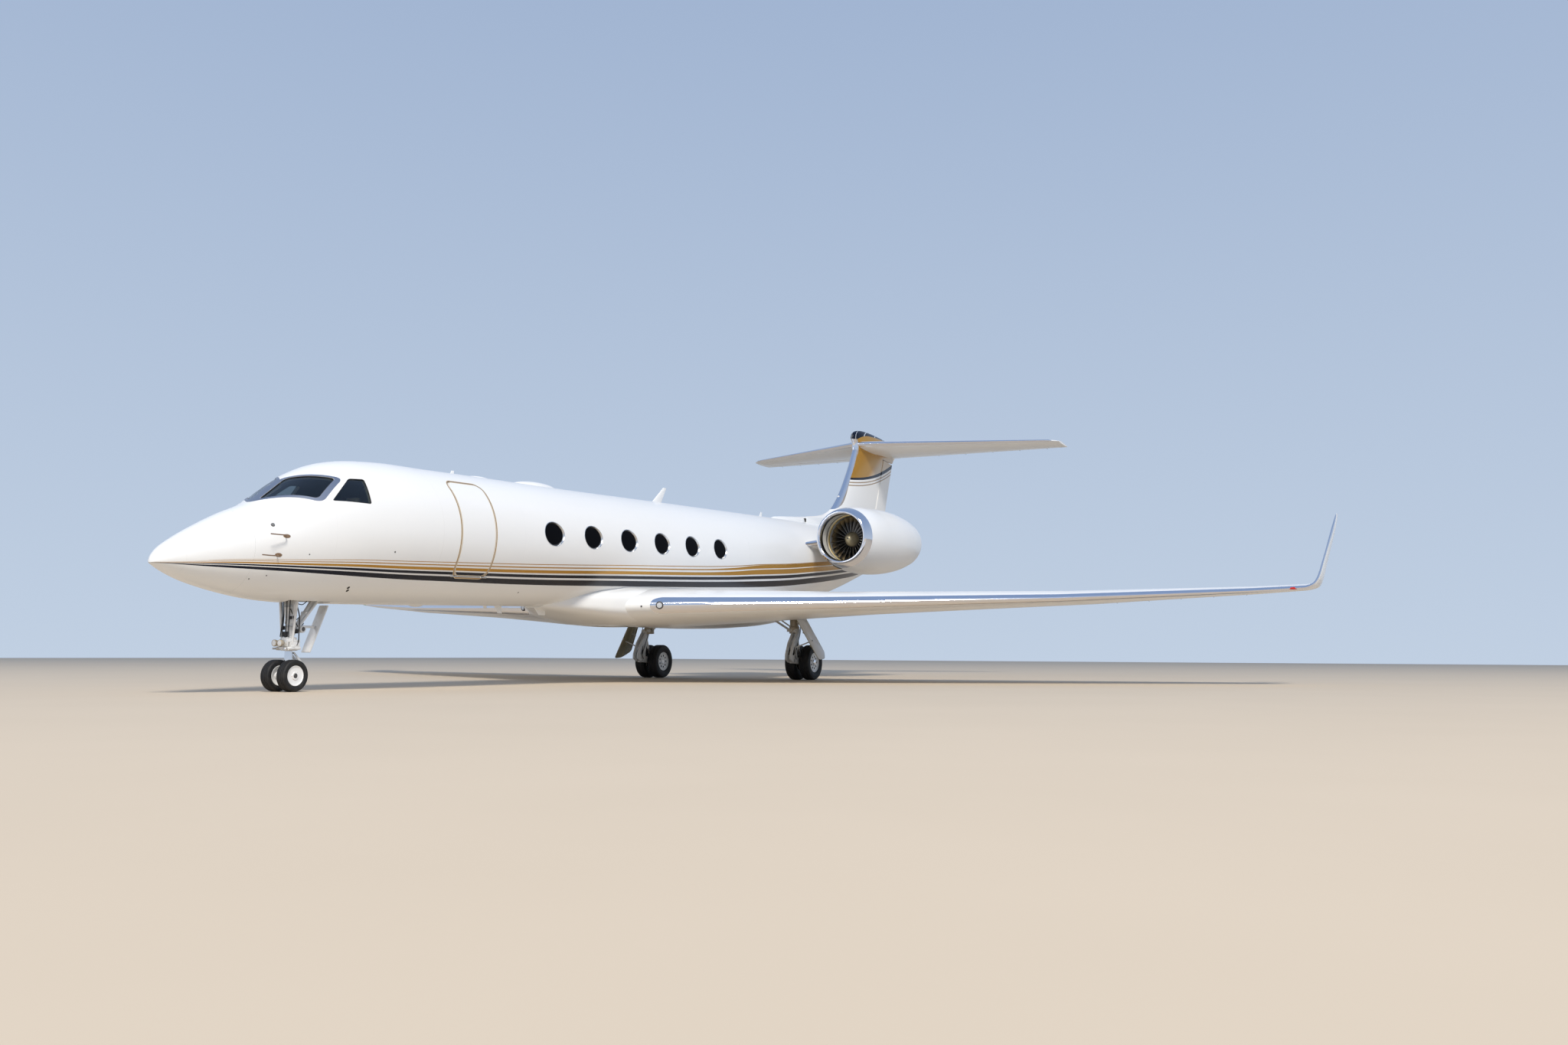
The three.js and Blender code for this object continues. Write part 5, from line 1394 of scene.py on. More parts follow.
def make_aileron():
    ends = [(x, s, (wing_height(x, s, 1) + wing_height(x, s, -1)) / 2) for x, s in AILERON_EDGE]
    nose = round_nose(AILERON_EDGE, ends, AILERON_NOSE, WING_PAINT)
    aileron = carved_skin(wing_body("port_aileron_skin"),
                          (behind(AILERON_EDGE, 0, inset=HINGED_END_GAP), "INTERSECT"), (nose, "UNION"))
    finish_pair(aileron, "white_paint", "aileron", body="aileron")
    make_pair("aileron_pin", pointed_pin(*ends, PIN_RADIUS), "engine_steel", body="aileron")


def make_spoilers():
    front = SPOILER_REAR + SPOILER_CHORD
    shapes = []
    for start, end in SPOILER_SPANS:
        rings = [spoiler_ring(x, front, SPOILER_REAR, SPOILER_THICKNESS, -0.001)
                 for x in np.linspace(start, end, 6)]
        shapes.append(bevelled(loft(rings, WING_PAINT), 0.003))
    ends = []
    for x in (SPOILER_SPANS[0][0] - RUNNING_GAP, SPOILER_SPANS[-1][1] + RUNNING_GAP):
        station = edge_station(FLAP_EDGE, x) - front
        ends.append((x, station, wing_height(x, station, 1) - SPOILER_THICKNESS / 2))
    shapes.append(pointed_pin(*ends, 0.010, clear=0.006))
    make_pair("spoiler_panels", shapes, "white_paint", "spoilers", body="spoilers")


# Fin and tailplane
FIN_ROWS = (
    (3.90, 18.50, 26.56, 0.300), (4.36, 19.00, 26.72, 0.330), (4.56, 20.90, 26.80, 0.340),
    (4.76, 22.30, 26.88, 0.350), (5.05, 22.97, 26.985, 0.360), (6.26, 24.06, 27.44, 0.330),
    (7.08, 24.56, 27.76, 0.300),
)
RUDDER_LOW = (4.76, 25.90)
RUDDER_HIGH = (7.00, 26.78)
RUDDER_NOSES = (0.092, 0.084)
RUDDER_TOP_DROP = 0.06
BEHIND_FIN = 28.5
BEHIND_TAIL = 30.5
FIN_CURVE = monotone([row[0] for row in FIN_ROWS], [row[1:] for row in FIN_ROWS])
FIN_TOP = (
    (7.03, 24.515, 27.76, 0.312), (7.12, 24.52, 27.84, 0.330), (7.25, 24.50, 28.00, 0.360),
    (7.40, 24.42, 28.10, 0.390), (7.52, 24.46, 28.02, 0.370), (7.62, 24.62, 27.60, 0.300),
    (7.68, 24.86, 27.05, 0.210), (7.706, 25.10, 26.70, 0.13), (7.715, 25.40, 26.30, 0.05),
)
FIN_TOP_CURVE = monotone([row[0] for row in FIN_TOP], [row[1:] for row in FIN_TOP])
FIN_LEAD = ([(z, float(FIN_CURVE(z)[0])) for z in np.linspace(4.9, 7.05, 9)]
            + [(z, float(FIN_TOP_CURVE(z)[0])) for z in (7.25, 7.4, 7.6)] + [(7.8, 25.0)])
FIN = fin_paint()


def rudder_line(z):
    (z0, s0), (z1, s1) = RUDDER_LOW, RUDDER_HIGH
    return s0 + (z - z0) / (z1 - z0) * (s1 - s0)


def fin_rings(curve, heights):
    rings = []
    for z in heights:
        lead, trail, thickness = curve(z)
        chord = trail - lead
        rings.append([(t * chord, aft(lead + c * chord), z) for c, t in aerofoil(thickness / chord)])
    return loft(rings, FIN)


def fin_body(name):
    heights = sorted({*np.linspace(3.9, 4.76, 22), *np.linspace(4.76, 7.08, 24)})
    return build(name, fin_rings(FIN_CURVE, heights))


def rudder_region(low, high, offset, drop):
    outline = [(rudder_line(low) + offset, low), (BEHIND_FIN, low), (BEHIND_FIN, high - drop),
               (rudder_line(high) + offset, high)]
    return sharp_plate(outline, -0.6, 0.6, FIN)


def make_fin():
    slot = rudder_region(RUDDER_LOW[0], RUDDER_HIGH[0], -RUDDER_NOSES[0] - RUNNING_GAP, 0)
    finish_piece(carved_skin(fin_body("fin_skin"), (slot, "DIFFERENCE")), "white_paint", "fin")


def make_rudder():
    low, high = RUDDER_LOW[0] + HINGED_END_GAP, RUDDER_HIGH[0] - HINGED_END_GAP
    rings = []
    for z in (low, high):
        share = (z - RUDDER_LOW[0] + 0.1) / (RUDDER_HIGH[0] - RUDDER_LOW[0] + 0.2)
        radius = RUDDER_NOSES[0] + (RUDDER_NOSES[1] - RUDDER_NOSES[0]) * share
        rings.append([(radius * math.cos(k), aft(rudder_line(z)) + radius * math.sin(k), z)
                      for k in turns(40)])
    rudder = carved_skin(fin_body("rudder_skin"), (rudder_region(low, high, 0, RUDDER_TOP_DROP), "INTERSECT"),
                         (loft(rings, FIN), "UNION"))
    finish_piece(rudder, "white_paint", "rudder", body="rudder")
    low_end, high_end = ((0, rudder_line(z), z) for z, _ in (RUDDER_LOW, RUDDER_HIGH))
    make_piece("rudder_pin", pointed_pin(low_end, high_end, 0.022), "engine_steel", body="rudder")


TAILPLANE = (
    (0.0, 24.56, 7.220, 3.18, 7.180, 0.10), (0.3, 24.76, 7.232, 3.01, 7.190, 0.10),
    (5.25, 27.96, 7.470, 1.30, 7.420, 0.09), (5.535, 28.33, 7.480, 1.06, 7.440, 0.06),
)
ELEVATOR_EDGE = ((0.330, 26.960), (5.050, 28.760))


def tail_row(x):
    xs = [row[0] for row in TAILPLANE]
    return [float(np.interp(abs(x), xs, [row[i] for row in TAILPLANE])) for i in range(1, 6)]


def tail_ring(x):
    lead, lead_z, chord, trail_z, thickness = tail_row(x)
    return [(x, aft(lead + c * chord), lead_z + (trail_z - lead_z) * c + t * chord)
            for c, t in aerofoil(thickness)]


def tail_body(name, both_sides):
    spans = sorted({*np.linspace(0.3, 5.25, 22), 5.34, 5.42, 5.49, 5.535})
    if both_sides:
        spans = [-x for x in spans[::-1]] + [0.0] + spans
    return build(name, loft([tail_ring(x) for x in spans], TAIL_PAINT))


def elevator_region(side, offset, finish):
    (x0, s0), (x1, s1) = ELEVATOR_EDGE
    slope = (s1 - s0) / (x1 - x0)
    points = [(x0 + side, s0 + slope * side + offset), (x1 - side, s1 - slope * side + offset),
              (x1 - side, BEHIND_TAIL), (x0 + side, BEHIND_TAIL)]
    return plan_prism(points, 6.5, 8.0, finish)


def tail_middle(x, side=0):
    """Height of the tailplane at its hinge line: its middle (0) or its upper skin (1)"""
    _, lead_z, chord, trail_z, _ = tail_row(x)
    return lead_z + (trail_z - lead_z) * 0.73 + side * chord * 0.031


ELEVATOR_NOSES = [tail_middle(x, 1) - tail_middle(x) for x, _ in ELEVATOR_EDGE]


def make_stabilizer():
    gap = elevator_region(0, -ELEVATOR_NOSES[0] - RUNNING_GAP, TAIL_PAINT)
    tail = carved_skin(tail_body("stabilizer_skin", True), (gap, "DIFFERENCE"),
                       (gap.mirrored(), "DIFFERENCE"))
    finish_piece(tail, "white_paint", "horizontal_stabilizer")


def make_fin_top():
    """The rounded top of the fin, through which the tailplane passes, and the fairing under its root"""
    heights = [*np.linspace(7.03, 7.40, 12), *np.linspace(7.42, 7.68, 16), 7.69, 7.70, 7.708, 7.713, 7.715]
    make_piece("fin_top", fin_rings(FIN_TOP_CURVE, heights), "white_composite", crease=60)
    rings = []
    for share in np.linspace(0.01, 0.99, 40):
        swell = math.sin(math.pi * share ** 0.8) ** 0.7
        rings.append([(0.30 * swell * math.sin(k), aft(24.85 + 2.75 * share),
                       7.19 + 0.155 * swell * math.cos(k)) for k in turns(40)])
    make_piece("tailplane_root_fairing", loft(rings, FIN), "white_composite")
    dome = ((0.006, 0.0), (0.030, 0.02), (0.042, 0.06), (0.045, 0.14))
    light = along_rod((0, 23.36, 5.41), (0, 23.60, 5.41), dome, ENAMEL)
    make_piece("fin_light", light, "white_composite")


def make_elevator():
    ends = [(x, s, tail_middle(x)) for x, s in ELEVATOR_EDGE]
    nose = round_nose(ELEVATOR_EDGE, ends, ELEVATOR_NOSES, PAINT)
    elevator = carved_skin(tail_body("port_elevator_skin", False),
                           (elevator_region(HINGED_END_GAP, 0, PAINT), "INTERSECT"), (nose, "UNION"))
    finish_pair(elevator, "white_paint", "elevator", body="elevator")
    make_pair("elevator_pin", pointed_pin(*ends, PIN_RADIUS), "engine_steel", body="elevator")


# Engines, port side
NACELLE_OUTER = (
    (0.625, 18.875), (0.648, 18.842), (0.680, 18.835), (0.712, 18.858), (0.740, 18.910), (0.800, 19.120),
    (0.880, 19.600), (0.912, 20.300), (0.900, 21.300), (0.815, 22.250), (0.685, 22.985),
)
NACELLE_INNER = (
    (0.640, 22.985), (0.740, 21.200), (0.700, 20.500), (0.668, 20.050), (0.656, 19.600), (0.622, 19.200),
    (0.610, 19.000), (0.613, 18.920), (0.625, 18.875),
)
NOZZLE_OUTER = ((0.684, 22.987), (0.610, 23.22), (0.500, 23.46))
NOZZLE_INNER = ((0.484, 23.46), (0.560, 23.20), (0.630, 22.987))
PYLON = {"trail": 22.97, "thickness": 0.28, "height": 3.40, "rise": 0.17}
ENGINE_SIDES = 96
LIP_REAR = 19.09
LIP_REAR_INSIDE = 19.03
DUCT_REAR = 20.6
FAN_STATION = 19.62
ENGINE_CANT = 0.045
CANT_START = 20.3


def smooth_profile(points):
    return [(p[0], p[1]) for p in smooth_path([(r, s, 0) for r, s in points], 7)]


def engine_turned(profile, finish, sides=ENGINE_SIDES, closed=False):
    """Turned about the port engine's axis, from (radius, station) points, and canted up at the rear"""
    turned = [(r, aft(s)) for r, s in profile]
    shape = turned_profile(turned, (ENGINE_OUT, 0, ENGINE_HEIGHT), "Y", finish, sides, closed)
    shape.points[:, 2] += ENGINE_CANT * np.maximum(0, shape.points[:, 1] - aft(CANT_START))
    return shape


def make_nacelle():
    outer = smooth_profile(NACELLE_OUTER)
    profile = outer + smooth_profile(NACELLE_INNER)[:-1]

    def choose(row):
        station = profile[row][1]
        if row < len(outer) - 1:
            return LIP_METAL if station < LIP_REAR else NACELLE_PAINT
        if station < LIP_REAR_INSIDE:
            return LIP_METAL
        return DUCT_PANEL if station < DUCT_REAR else DARK_STEEL_AND_SHADE
    make_pair("nacelle_skin", engine_turned(profile, choose, closed=True), "white_composite", "nacelle",
              crease=50)


def make_nozzle():
    outer = smooth_profile(NOZZLE_OUTER)
    profile = outer + smooth_profile(NOZZLE_INNER)

    def choose(row):
        return NACELLE_PAINT if row < len(outer) - 1 else EXHAUST
    make_pair("exhaust_nozzle_skin", engine_turned(profile, choose, closed=True), "exhaust_steel",
              "exhaust_nozzle")


def make_pylon():
    rings = []
    for x in np.linspace(0.75, 1.50, 10):
        lead = PYLON_LEAD + PYLON_SWEEP * x
        chord = PYLON["trail"] - lead
        height = PYLON["height"] + PYLON["rise"] * x
        rings.append([(x, aft(lead + c * chord), height + (0.12 - PYLON["rise"] * 0.3) * c + t * chord)
                      for c, t in aerofoil(PYLON["thickness"] / chord)])
    make_pair("pylon_skin", loft(rings, PYLON_PAINT), "white_paint", "pylon")


# What repeats: one shape set on many points
def repeat_tree():
    """Sets a shape on every point, turned by that point's own angles, in one size and finish"""
    tree = bpy.data.node_groups.new("repeat on points", "GeometryNodeTree")
    for name, kind in (("Points", "Geometry"), ("Shape", "Object"), ("Size", "Float"),
                       ("Finish", "Material")):
        tree.interface.new_socket(name, in_out="INPUT", socket_type="NodeSocket" + kind)
    tree.interface.new_socket("Result", in_out="OUTPUT", socket_type="NodeSocketGeometry")
    start = tree.nodes.new("NodeGroupInput")
    end = tree.nodes.new("NodeGroupOutput")
    shape = tree.nodes.new("GeometryNodeObjectInfo")
    angles = tree.nodes.new("GeometryNodeInputNamedAttribute")
    angles.data_type = "FLOAT_VECTOR"
    angles.inputs["Name"].default_value = "turn"
    turn = tree.nodes.new("FunctionNodeEulerToRotation")
    copies = tree.nodes.new("GeometryNodeInstanceOnPoints")
    real = tree.nodes.new("GeometryNodeRealizeInstances")
    paint = tree.nodes.new("GeometryNodeSetMaterial")
    for a, b in ((start.outputs["Shape"], shape.inputs["Object"]),
                 (start.outputs["Points"], copies.inputs["Points"]),
                 (shape.outputs["Geometry"], copies.inputs["Instance"]),
                 (angles.outputs["Attribute"], turn.inputs[0]),
                 (turn.outputs[0], copies.inputs["Rotation"]),
                 (start.outputs["Size"], copies.inputs["Scale"]),
                 (copies.outputs[0], real.inputs[0]),
                 (real.outputs[0], paint.inputs["Geometry"]),
                 (start.outputs["Finish"], paint.inputs["Material"]),
                 (paint.outputs[0], end.inputs[0])):
        tree.links.new(a, b)
    return tree


REPEAT = repeat_tree()


def facing(out):
    """The angles that turn a shape's Z axis outwards"""
    return tuple(Vector(out).to_track_quat("Z", "Y").to_euler())


def repeated(name, places, shape, finish, size=1.0, crease=32):
    """A mesh object of one shape at each (point, angles) place"""
    sample = build("sample", shape)
    mesh = bpy.data.meshes.new(name)
    mesh.from_pydata([tuple(point) for point, _ in places], [], [])
    turn = mesh.attributes.new("turn", "FLOAT_VECTOR", "POINT")
    turn.data.foreach_set("vector", [a for _, angles in places for a in angles])
    piece = bpy.data.objects.new(name, mesh)
    scene.collection.objects.link(piece)
    modifier = piece.modifiers.new("repeat", "NODES")
    modifier.node_group = REPEAT
    sockets = {item.name: item.identifier for item in REPEAT.interface.items_tree if item.in_out == "INPUT"}
    modifier[sockets["Shape"]] = sample
    modifier[sockets["Size"]] = size
    modifier[sockets["Finish"]] = finish
    whole = bpy.data.meshes.new_from_object(piece.evaluated_get(bpy.context.evaluated_depsgraph_get()))
    piece.modifiers.clear()
    piece.data = whole
    whole.name = name
    discard(sample)
    bpy.data.meshes.remove(mesh)
    crisp(whole, crease)
    return piece


def head_shape(profile, sides):
    """A fastener's head along +Z, from (radius, height) points"""
    return loft([[(r * math.cos(a), r * math.sin(a), z) for a in turns(sides)] for r, z in profile],
                BOLT_STEEL)


RIVET = head_shape(((1.0, -0.3), (1.0, 0.0), (0.72, 0.32), (0.3, 0.45)), 8)
BOLT = head_shape(((1.5, -0.3), (1.5, 0.15), (1.0, 0.15), (1.0, 0.85), (0.8, 1.0)), 6)


# Wheels
NOSE_AXLE = 2.480
NOSE_WHEEL_OUT = 0.175
MAIN_AXLE = 16.580
MAIN_TRACK_HALF = 2.187
MAIN_WHEEL_OUT = 0.190
WHEELS = {
    "nose": {"radius": 0.250, "width": 0.184, "rim": 0.160, "bore": 0.0385, "face": 0.062, "back": 0.020,
             "holes": 0, "hole_radius": 0.011, "hole_out": 0.082, "bolts": 8, "bolt_out": 0.062,
             "bolt_size": 0.0045},
    "main": {"radius": 0.425, "width": 0.280, "rim": 0.240, "bore": 0.0555, "face": 0.088, "back": 0.030,
             "holes": 9, "hole_radius": 0.024, "hole_out": 0.145, "bolts": 18, "bolt_out": 0.196,
             "bolt_size": 0.0055},
}
NOSE_RADIUS = WHEELS["nose"]["radius"]
MAIN_RADIUS = WHEELS["main"]["radius"]
TREAD_GROOVES = (0.10, 0.27)
GROOVE_HALF = 0.004
GROOVE_DEPTH = 0.008
SIDEWALL = (
    (0.012, 0.66), (0.05, 0.79), (0.13, 0.90), (0.17, 0.93), (0.185, 0.925), (0.32, 0.985), (0.5, 1.0),
    (0.68, 0.97), (0.83, 0.89), (0.90, 0.83), (0.93, 0.835),
)
ORIGIN = (0, 0, 0)


def tyre_shape(wheel):
    radius, half, rim = wheel["radius"], wheel["width"] / 2, wheel["rim"]
    side = [(radius, 0.0)]
    for groove in TREAD_GROOVES:
        d = groove * wheel["width"]
        side += [(radius, d - GROOVE_HALF - 0.001), (radius - GROOVE_DEPTH, d - GROOVE_HALF),
                 (radius - GROOVE_DEPTH, d + GROOVE_HALF), (radius, d + GROOVE_HALF + 0.001)]
    side += [(radius - (radius - rim) * drop, half * out) for drop, out in SIDEWALL] + [(rim, half * 0.78)]
    profile = side + [(r, -d) for r, d in side[::-1][:-1]]
    return turned_profile(profile, ORIGIN, "X", RUBBER, 96, closed=True)


def hub_object(wheel):
    """A forged wheel: flanges, dished web with round holes and a sleeve for the axle"""
    half, rim, bore = wheel["width"] / 2, wheel["rim"] - 0.0005, wheel["bore"]
    out = half * 0.76
    sides = []
    for web in (wheel["face"], wheel["back"]):
        sides.append([(bore, max(half * 0.60, web + 0.010)), (bore + 0.012, max(half * 0.62, web + 0.012)),
                      (bore + 0.020, web + 0.012), (bore + 0.028, web), (rim * 0.78, web),
                      (rim * 0.85, web + 0.002), (rim * 0.90, max(out * 0.86, web + 0.004)),
                      (rim * 0.92, out * 0.98), (rim * 0.94, out + 0.004), (rim * 0.985, out + 0.004),
                      (rim, out)])
    profile = sides[0] + [(r, -d) for r, d in sides[1][::-1]]
    hub = build("hub", turned_profile(profile, ORIGIN, "X", HUB_ENAMEL, 90, closed=True))
    holes = []
    for turn in turns(wheel["holes"]):
        middle = np.array([0, wheel["hole_out"] * math.cos(turn), wheel["hole_out"] * math.sin(turn)])
        rings = [[middle + (d, wheel["hole_radius"] * math.cos(k), wheel["hole_radius"] * math.sin(k))
                  for k in turns(20)] for d in (-0.13, 0.13)]
        # The hole walls take the dark steel: painted shade inside the holes of the enamelled forging
        holes.append(loft(rings, DARK_STEEL_AND_SHADE))
    if holes:
        hub = carve(hub, total(holes))
    crisp(hub.data)
    return hub


def hub_bolts(wheel, finish):
    places = []
    for turn in turns(wheel["bolts"]) + 0.1:
        point = (wheel["face"] + 0.0005, wheel["bolt_out"] * math.cos(turn),
                 wheel["bolt_out"] * math.sin(turn))
        places.append((point, facing((1, 0, 0))))
    return repeated("bolts", places, BOLT, finish, size=wheel["bolt_size"])


def moved_to(piece, name, face, x, station, z):
    """A copy at a place. Its outer face looks to port where face is 1, to starboard where it is -1."""
    copy = mirror_piece(piece, name)
    if face > 0:
        copy.data.transform(Matrix.Scale(-1, 4, (1, 0, 0)))
        copy.data.flip_normals()
    copy.data.transform(Matrix.Translation((x, aft(station), z)))
    return copy


def make_wheels():
    """Tyres, hubs, hub bolts and axle caps of all six wheels"""
    sides = (("left", 1), ("right", -1))
    places = {
        "nose": [(f"{side}_nose_wheel", "nose_wheels", sign, sign * NOSE_WHEEL_OUT, NOSE_AXLE)
                 for side, sign in sides],
        "main": [(f"{side}_{end}_main_wheel", f"{side}_main_wheels", sign * way,
                  sign * (MAIN_TRACK_HALF + way * MAIN_WHEEL_OUT), MAIN_AXLE)
                 for side, sign in sides for end, way in (("outer", 1), ("inner", -1))],
    }
    for kind, wheel in WHEELS.items():
        tyre = build("tyre", tyre_shape(wheel), crease=38)
        hub = hub_object(wheel)
        bolts = hub_bolts(wheel, MARK_PAINT if kind == "nose" else ENAMEL)
        for name, body, face, x, station in places[kind]:
            where = (face, x, station, wheel["radius"])
            finish_piece(moved_to(tyre, f"{name}_rubber", *where), "tyre_rubber", f"{name}_tyre", body=body)
            finish_piece(moved_to(hub, f"{name}_forging", *where), "white_composite", f"{name}_hub",
                         body=body)
            finish_piece(moved_to(bolts, f"{name}_bolts", *where), "engine_steel", body=body)
        discard(tyre, hub, bolts)
    cap = ((0.0575, 0.084), (0.074, 0.087), (0.076, 0.100), (0.070, 0.116), (0.052, 0.124), (0.020, 0.126),
           (0.002, 0.126), (0.002, 0.122), (0.048, 0.119), (0.0575, 0.112))
    middle = (MAIN_TRACK_HALF + MAIN_WHEEL_OUT, aft(MAIN_AXLE), MAIN_RADIUS)
    make_pair("main_wheel_caps", turned_profile(cap, middle, "X", CHROME, 40, closed=True), "chromed_steel",
              body="main_wheels")
    plug = ((0.002, 0.080), (0.030, 0.080), (0.0375, 0.074), (0.0375, 0.062), (0.002, 0.062))
    port = turned_profile(plug, (NOSE_WHEEL_OUT, aft(NOSE_AXLE), NOSE_RADIUS), "X", DARK_STEEL_AND_SHADE, 32)
    make_piece("nose_wheel_caps", port + port.mirrored(), "engine_steel", body="nose_wheels")


# Nose gear
STEER_AXIS = 2.545
LAMP_HEIGHT = 0.760
LAMP_BOWL = ((0.050, 0.0), (0.054, 0.004), (0.054, 0.030), (0.040, 0.070), (0.020, 0.088))
LAMP_LENS = ((0.010, 0.0), (0.030, 0.002), (0.047, 0.008), (0.048, 0.012))


def make_nose_gear():
    a = STEER_AXIS
    parts = [standing(((0.112, 0.640), (0.120, 0.648), (0.120, 0.690), (0.104, 0.700), (0.104, 0.800),
                       (0.112, 0.806), (0.112, 0.846), (0.066, 0.862), (0.064, 1.060), (0.078, 1.068),
                       (0.078, 1.120), (0.060, 1.130), (0.060, 1.700), (0.056, 1.719)), 0, a, ENAMEL)]
    for side in (-1, 1):
        parts.append(rod((side * 0.105, a - 0.04, 0.700), (side * 0.198, a - 0.04, 1.500), 0.019, ENAMEL))
        arm = [(0.035, 1.04), (0.075, 1.12), (0.155, 1.50), (0.105, 1.52), (0.040, 1.30)]
        rings = [[(side * x, aft(a + d), z) for x, z in arm] for d in (-0.032, 0.032)]
        parts.append(bevelled(loft(rings, ENAMEL), 0.006))
        parts.append(rod((side * 0.100, a - 0.075, 0.705), (side * 0.100, a - 0.005, 0.705), 0.040, ENAMEL))
        parts.append(rod((side * 0.205, a - 0.075, 1.500), (side * 0.205, a - 0.005, 1.500), 0.042, ENAMEL))
        parts.append(rod((side * 0.10, a + 0.085, 0.675), (side * 0.125, a - 0.135, 0.675), 0.028, ENAMEL))
        parts.append(rod((side * 0.125, a - 0.135, 0.675), (side * 0.135, a - 0.205, 0.675), 0.015, CHROME))
        parts.append(bar(side * 0.07, 0.03, a - 0.125, a - 0.095, 0.705, 0.790, ENAMEL))
        parts.append(rod((side * 0.03, a + 0.03, 0.885), (side * 0.075, 3.07, 1.500), 0.022, ENAMEL))
    parts.append(rod((-0.2395, a, 1.520), (0.2395, a, 1.520), 0.045, ENAMEL, sides=28))
    for x in (-0.215, -0.10, 0.10, 0.215):
        parts.append(rod((x - 0.014, a, 1.520), (x + 0.014, a, 1.520), 0.058, ENAMEL, sides=28))
    parts.append(rod((0, a + 0.06, 0.905), (0, 2.84, 1.245), 0.040, ENAMEL, sides=28))
    parts.append(rod((0, 2.82, 1.220), (0, 3.085, 1.552), 0.036, ENAMEL, sides=28))
    parts.append(rod((-0.055, 2.835, 1.238), (0.055, 2.835, 1.238), 0.034, ENAMEL))
    parts.append(rod((-0.150, 3.090, 1.560), (0.150, 3.090, 1.560), 0.030, ENAMEL))
    parts.append(block(-0.135, 0.135, a - 0.115, a + 0.125, 0.655, 0.705, ENAMEL, 0.012))
    parts.append(block(-0.125, 0.125, a - 0.105, a + 0.115, 0.770, 0.815, ENAMEL, 0.012))
    for x in (-0.115, 0.115):
        parts.append(bar(x, 0.016, a - 0.09, a + 0.10, 0.70, 0.775, ENAMEL))
    parts.append(block(-0.035, 0.035, a - 0.220, a - 0.080, 0.705, 0.722, ENAMEL))
    parts.append(block(-0.012, 0.012, a - 0.200, a - 0.090, 0.722, 0.780, ENAMEL))
    parts.append(rod((-0.085, a + 0.20, 0.985), (0.085, a + 0.20, 0.985), 0.058, ENAMEL, sides=32))
    parts.append(rod((-0.092, a + 0.20, 0.985), (0.092, a + 0.20, 0.985), 0.034, DARK_STEEL_AND_SHADE, sides=24))
    make_piece("nose_gear_strut", parts, "white_composite", "nose_gear_leg")
    lamps = []
    for x in (-0.062, 0.062):
        front = a - 0.245
        for start, end, profile, finish in ((front, front + 0.09, LAMP_BOWL, BROWN_FITTING),
                                            (front - 0.006, front + 0.05, LAMP_LENS, LAMP)):
            lamps.append(along_rod((x, start, LAMP_HEIGHT), (x, end, LAMP_HEIGHT), profile, finish))
    make_piece("nose_gear_lamps", lamps, "cabin_trim")
    hoses = []
    for x, out in ((-0.075, 0.085), (-0.03, 0.100), (0.035, 0.098), (0.080, 0.080)):
        hoses.append(pipe([(x, a - out, 1.66), (x * 1.1, a - out - 0.01, 1.40), (x * 0.9, a - out, 1.16),
                           (x, a - out - 0.012, 0.98), (x * 1.2, a - out - 0.015, 0.86)], 0.008, HOSE))
    for side in (-1, 1):
        hoses.append(pipe([(side * 0.11, a + 0.02, 1.38), (side * 0.14, a + 0.06, 1.18),
                           (side * 0.12, a + 0.08, 0.95), (side * 0.13, a + 0.07, 0.80),
                           (side * 0.125, a + 0.04, 0.72)], 0.009, HOSE))
    for z in (1.60, 1.34, 1.02):
        hoses.append(standing(((0.088, z - 0.008), (0.0915, z - 0.005), (0.0915, z + 0.005),
                               (0.088, z + 0.008)), 0, a, BOLT_STEEL))
    for x, s, z, size in ((0.06, 0.075, 0.95, 0.030), (-0.05, -0.085, 1.00, 0.026),
                          (0.0, -0.080, 0.90, 0.034), (0.09, -0.06, 1.16, 0.020), (0.02, 0.075, 1.22, 0.028)):
        s += a
        deep, tall = size * 0.7, size * 1.2
        hoses.append(bar(x, size, s - deep, s + deep, z - tall, z + tall, HOSE, 0.005))
    for x, s0, z0, s1, z1 in ((0.05, 0.05, 1.40, 0.30, 1.45), (-0.04, 0.06, 1.10, 0.34, 1.30),
                              (0.02, 0.06, 0.98, 0.26, 1.08), (0.07, -0.06, 1.30, 0.10, 1.02)):
        hoses.append(pipe([(x, a + s0, z0), (x * 1.3, a + (s0 + s1) / 2, (z0 + z1) / 2 - 0.05),
                           (x, a + s1, z1)], 0.007, HOSE))
    make_piece("nose_gear_hoses", hoses, "black_plastic")
    fork = [standing(((0.060, 0.330), (0.0605, 0.335), (0.0605, 0.635), (0.060, 0.6395)), 0, a, CHROME)]
    fork.append(standing(((0.066, 0.225), (0.080, 0.235), (0.080, 0.335), (0.072, 0.350), (0.0606, 0.352)), 0,
                         a, ENAMEL))
    fork.append(plate([(a + 0.075, 0.24), (a + 0.06, 0.330), (NOSE_AXLE - 0.05, 0.325),
                       (NOSE_AXLE - 0.062, 0.26), (NOSE_AXLE - 0.04, 0.195), (NOSE_AXLE + 0.03, 0.190),
                       (a + 0.04, 0.205)], -0.066, 0.066, ENAMEL, 0.012))
    fork.append(rod((-NOSE_WHEEL_OUT - 0.060, NOSE_AXLE, NOSE_RADIUS),
                    (NOSE_WHEEL_OUT + 0.060, NOSE_AXLE, NOSE_RADIUS), 0.038, BOLT_STEEL, sides=36,
                    chamfer=0.06))
    for side in (-1, 1):
        link = [(a + 0.060, 0.600), (a + 0.085, 0.620), (a + 0.235, 0.470), (a + 0.235, 0.440),
                (a + 0.205, 0.440)]
        fork.append(plate(link, side * 0.040 - 0.008, side * 0.040 + 0.008, ENAMEL))
        low = [(a + 0.060, 0.330), (a + 0.070, 0.290), (a + 0.240, 0.425), (a + 0.240, 0.455),
               (a + 0.210, 0.455)]
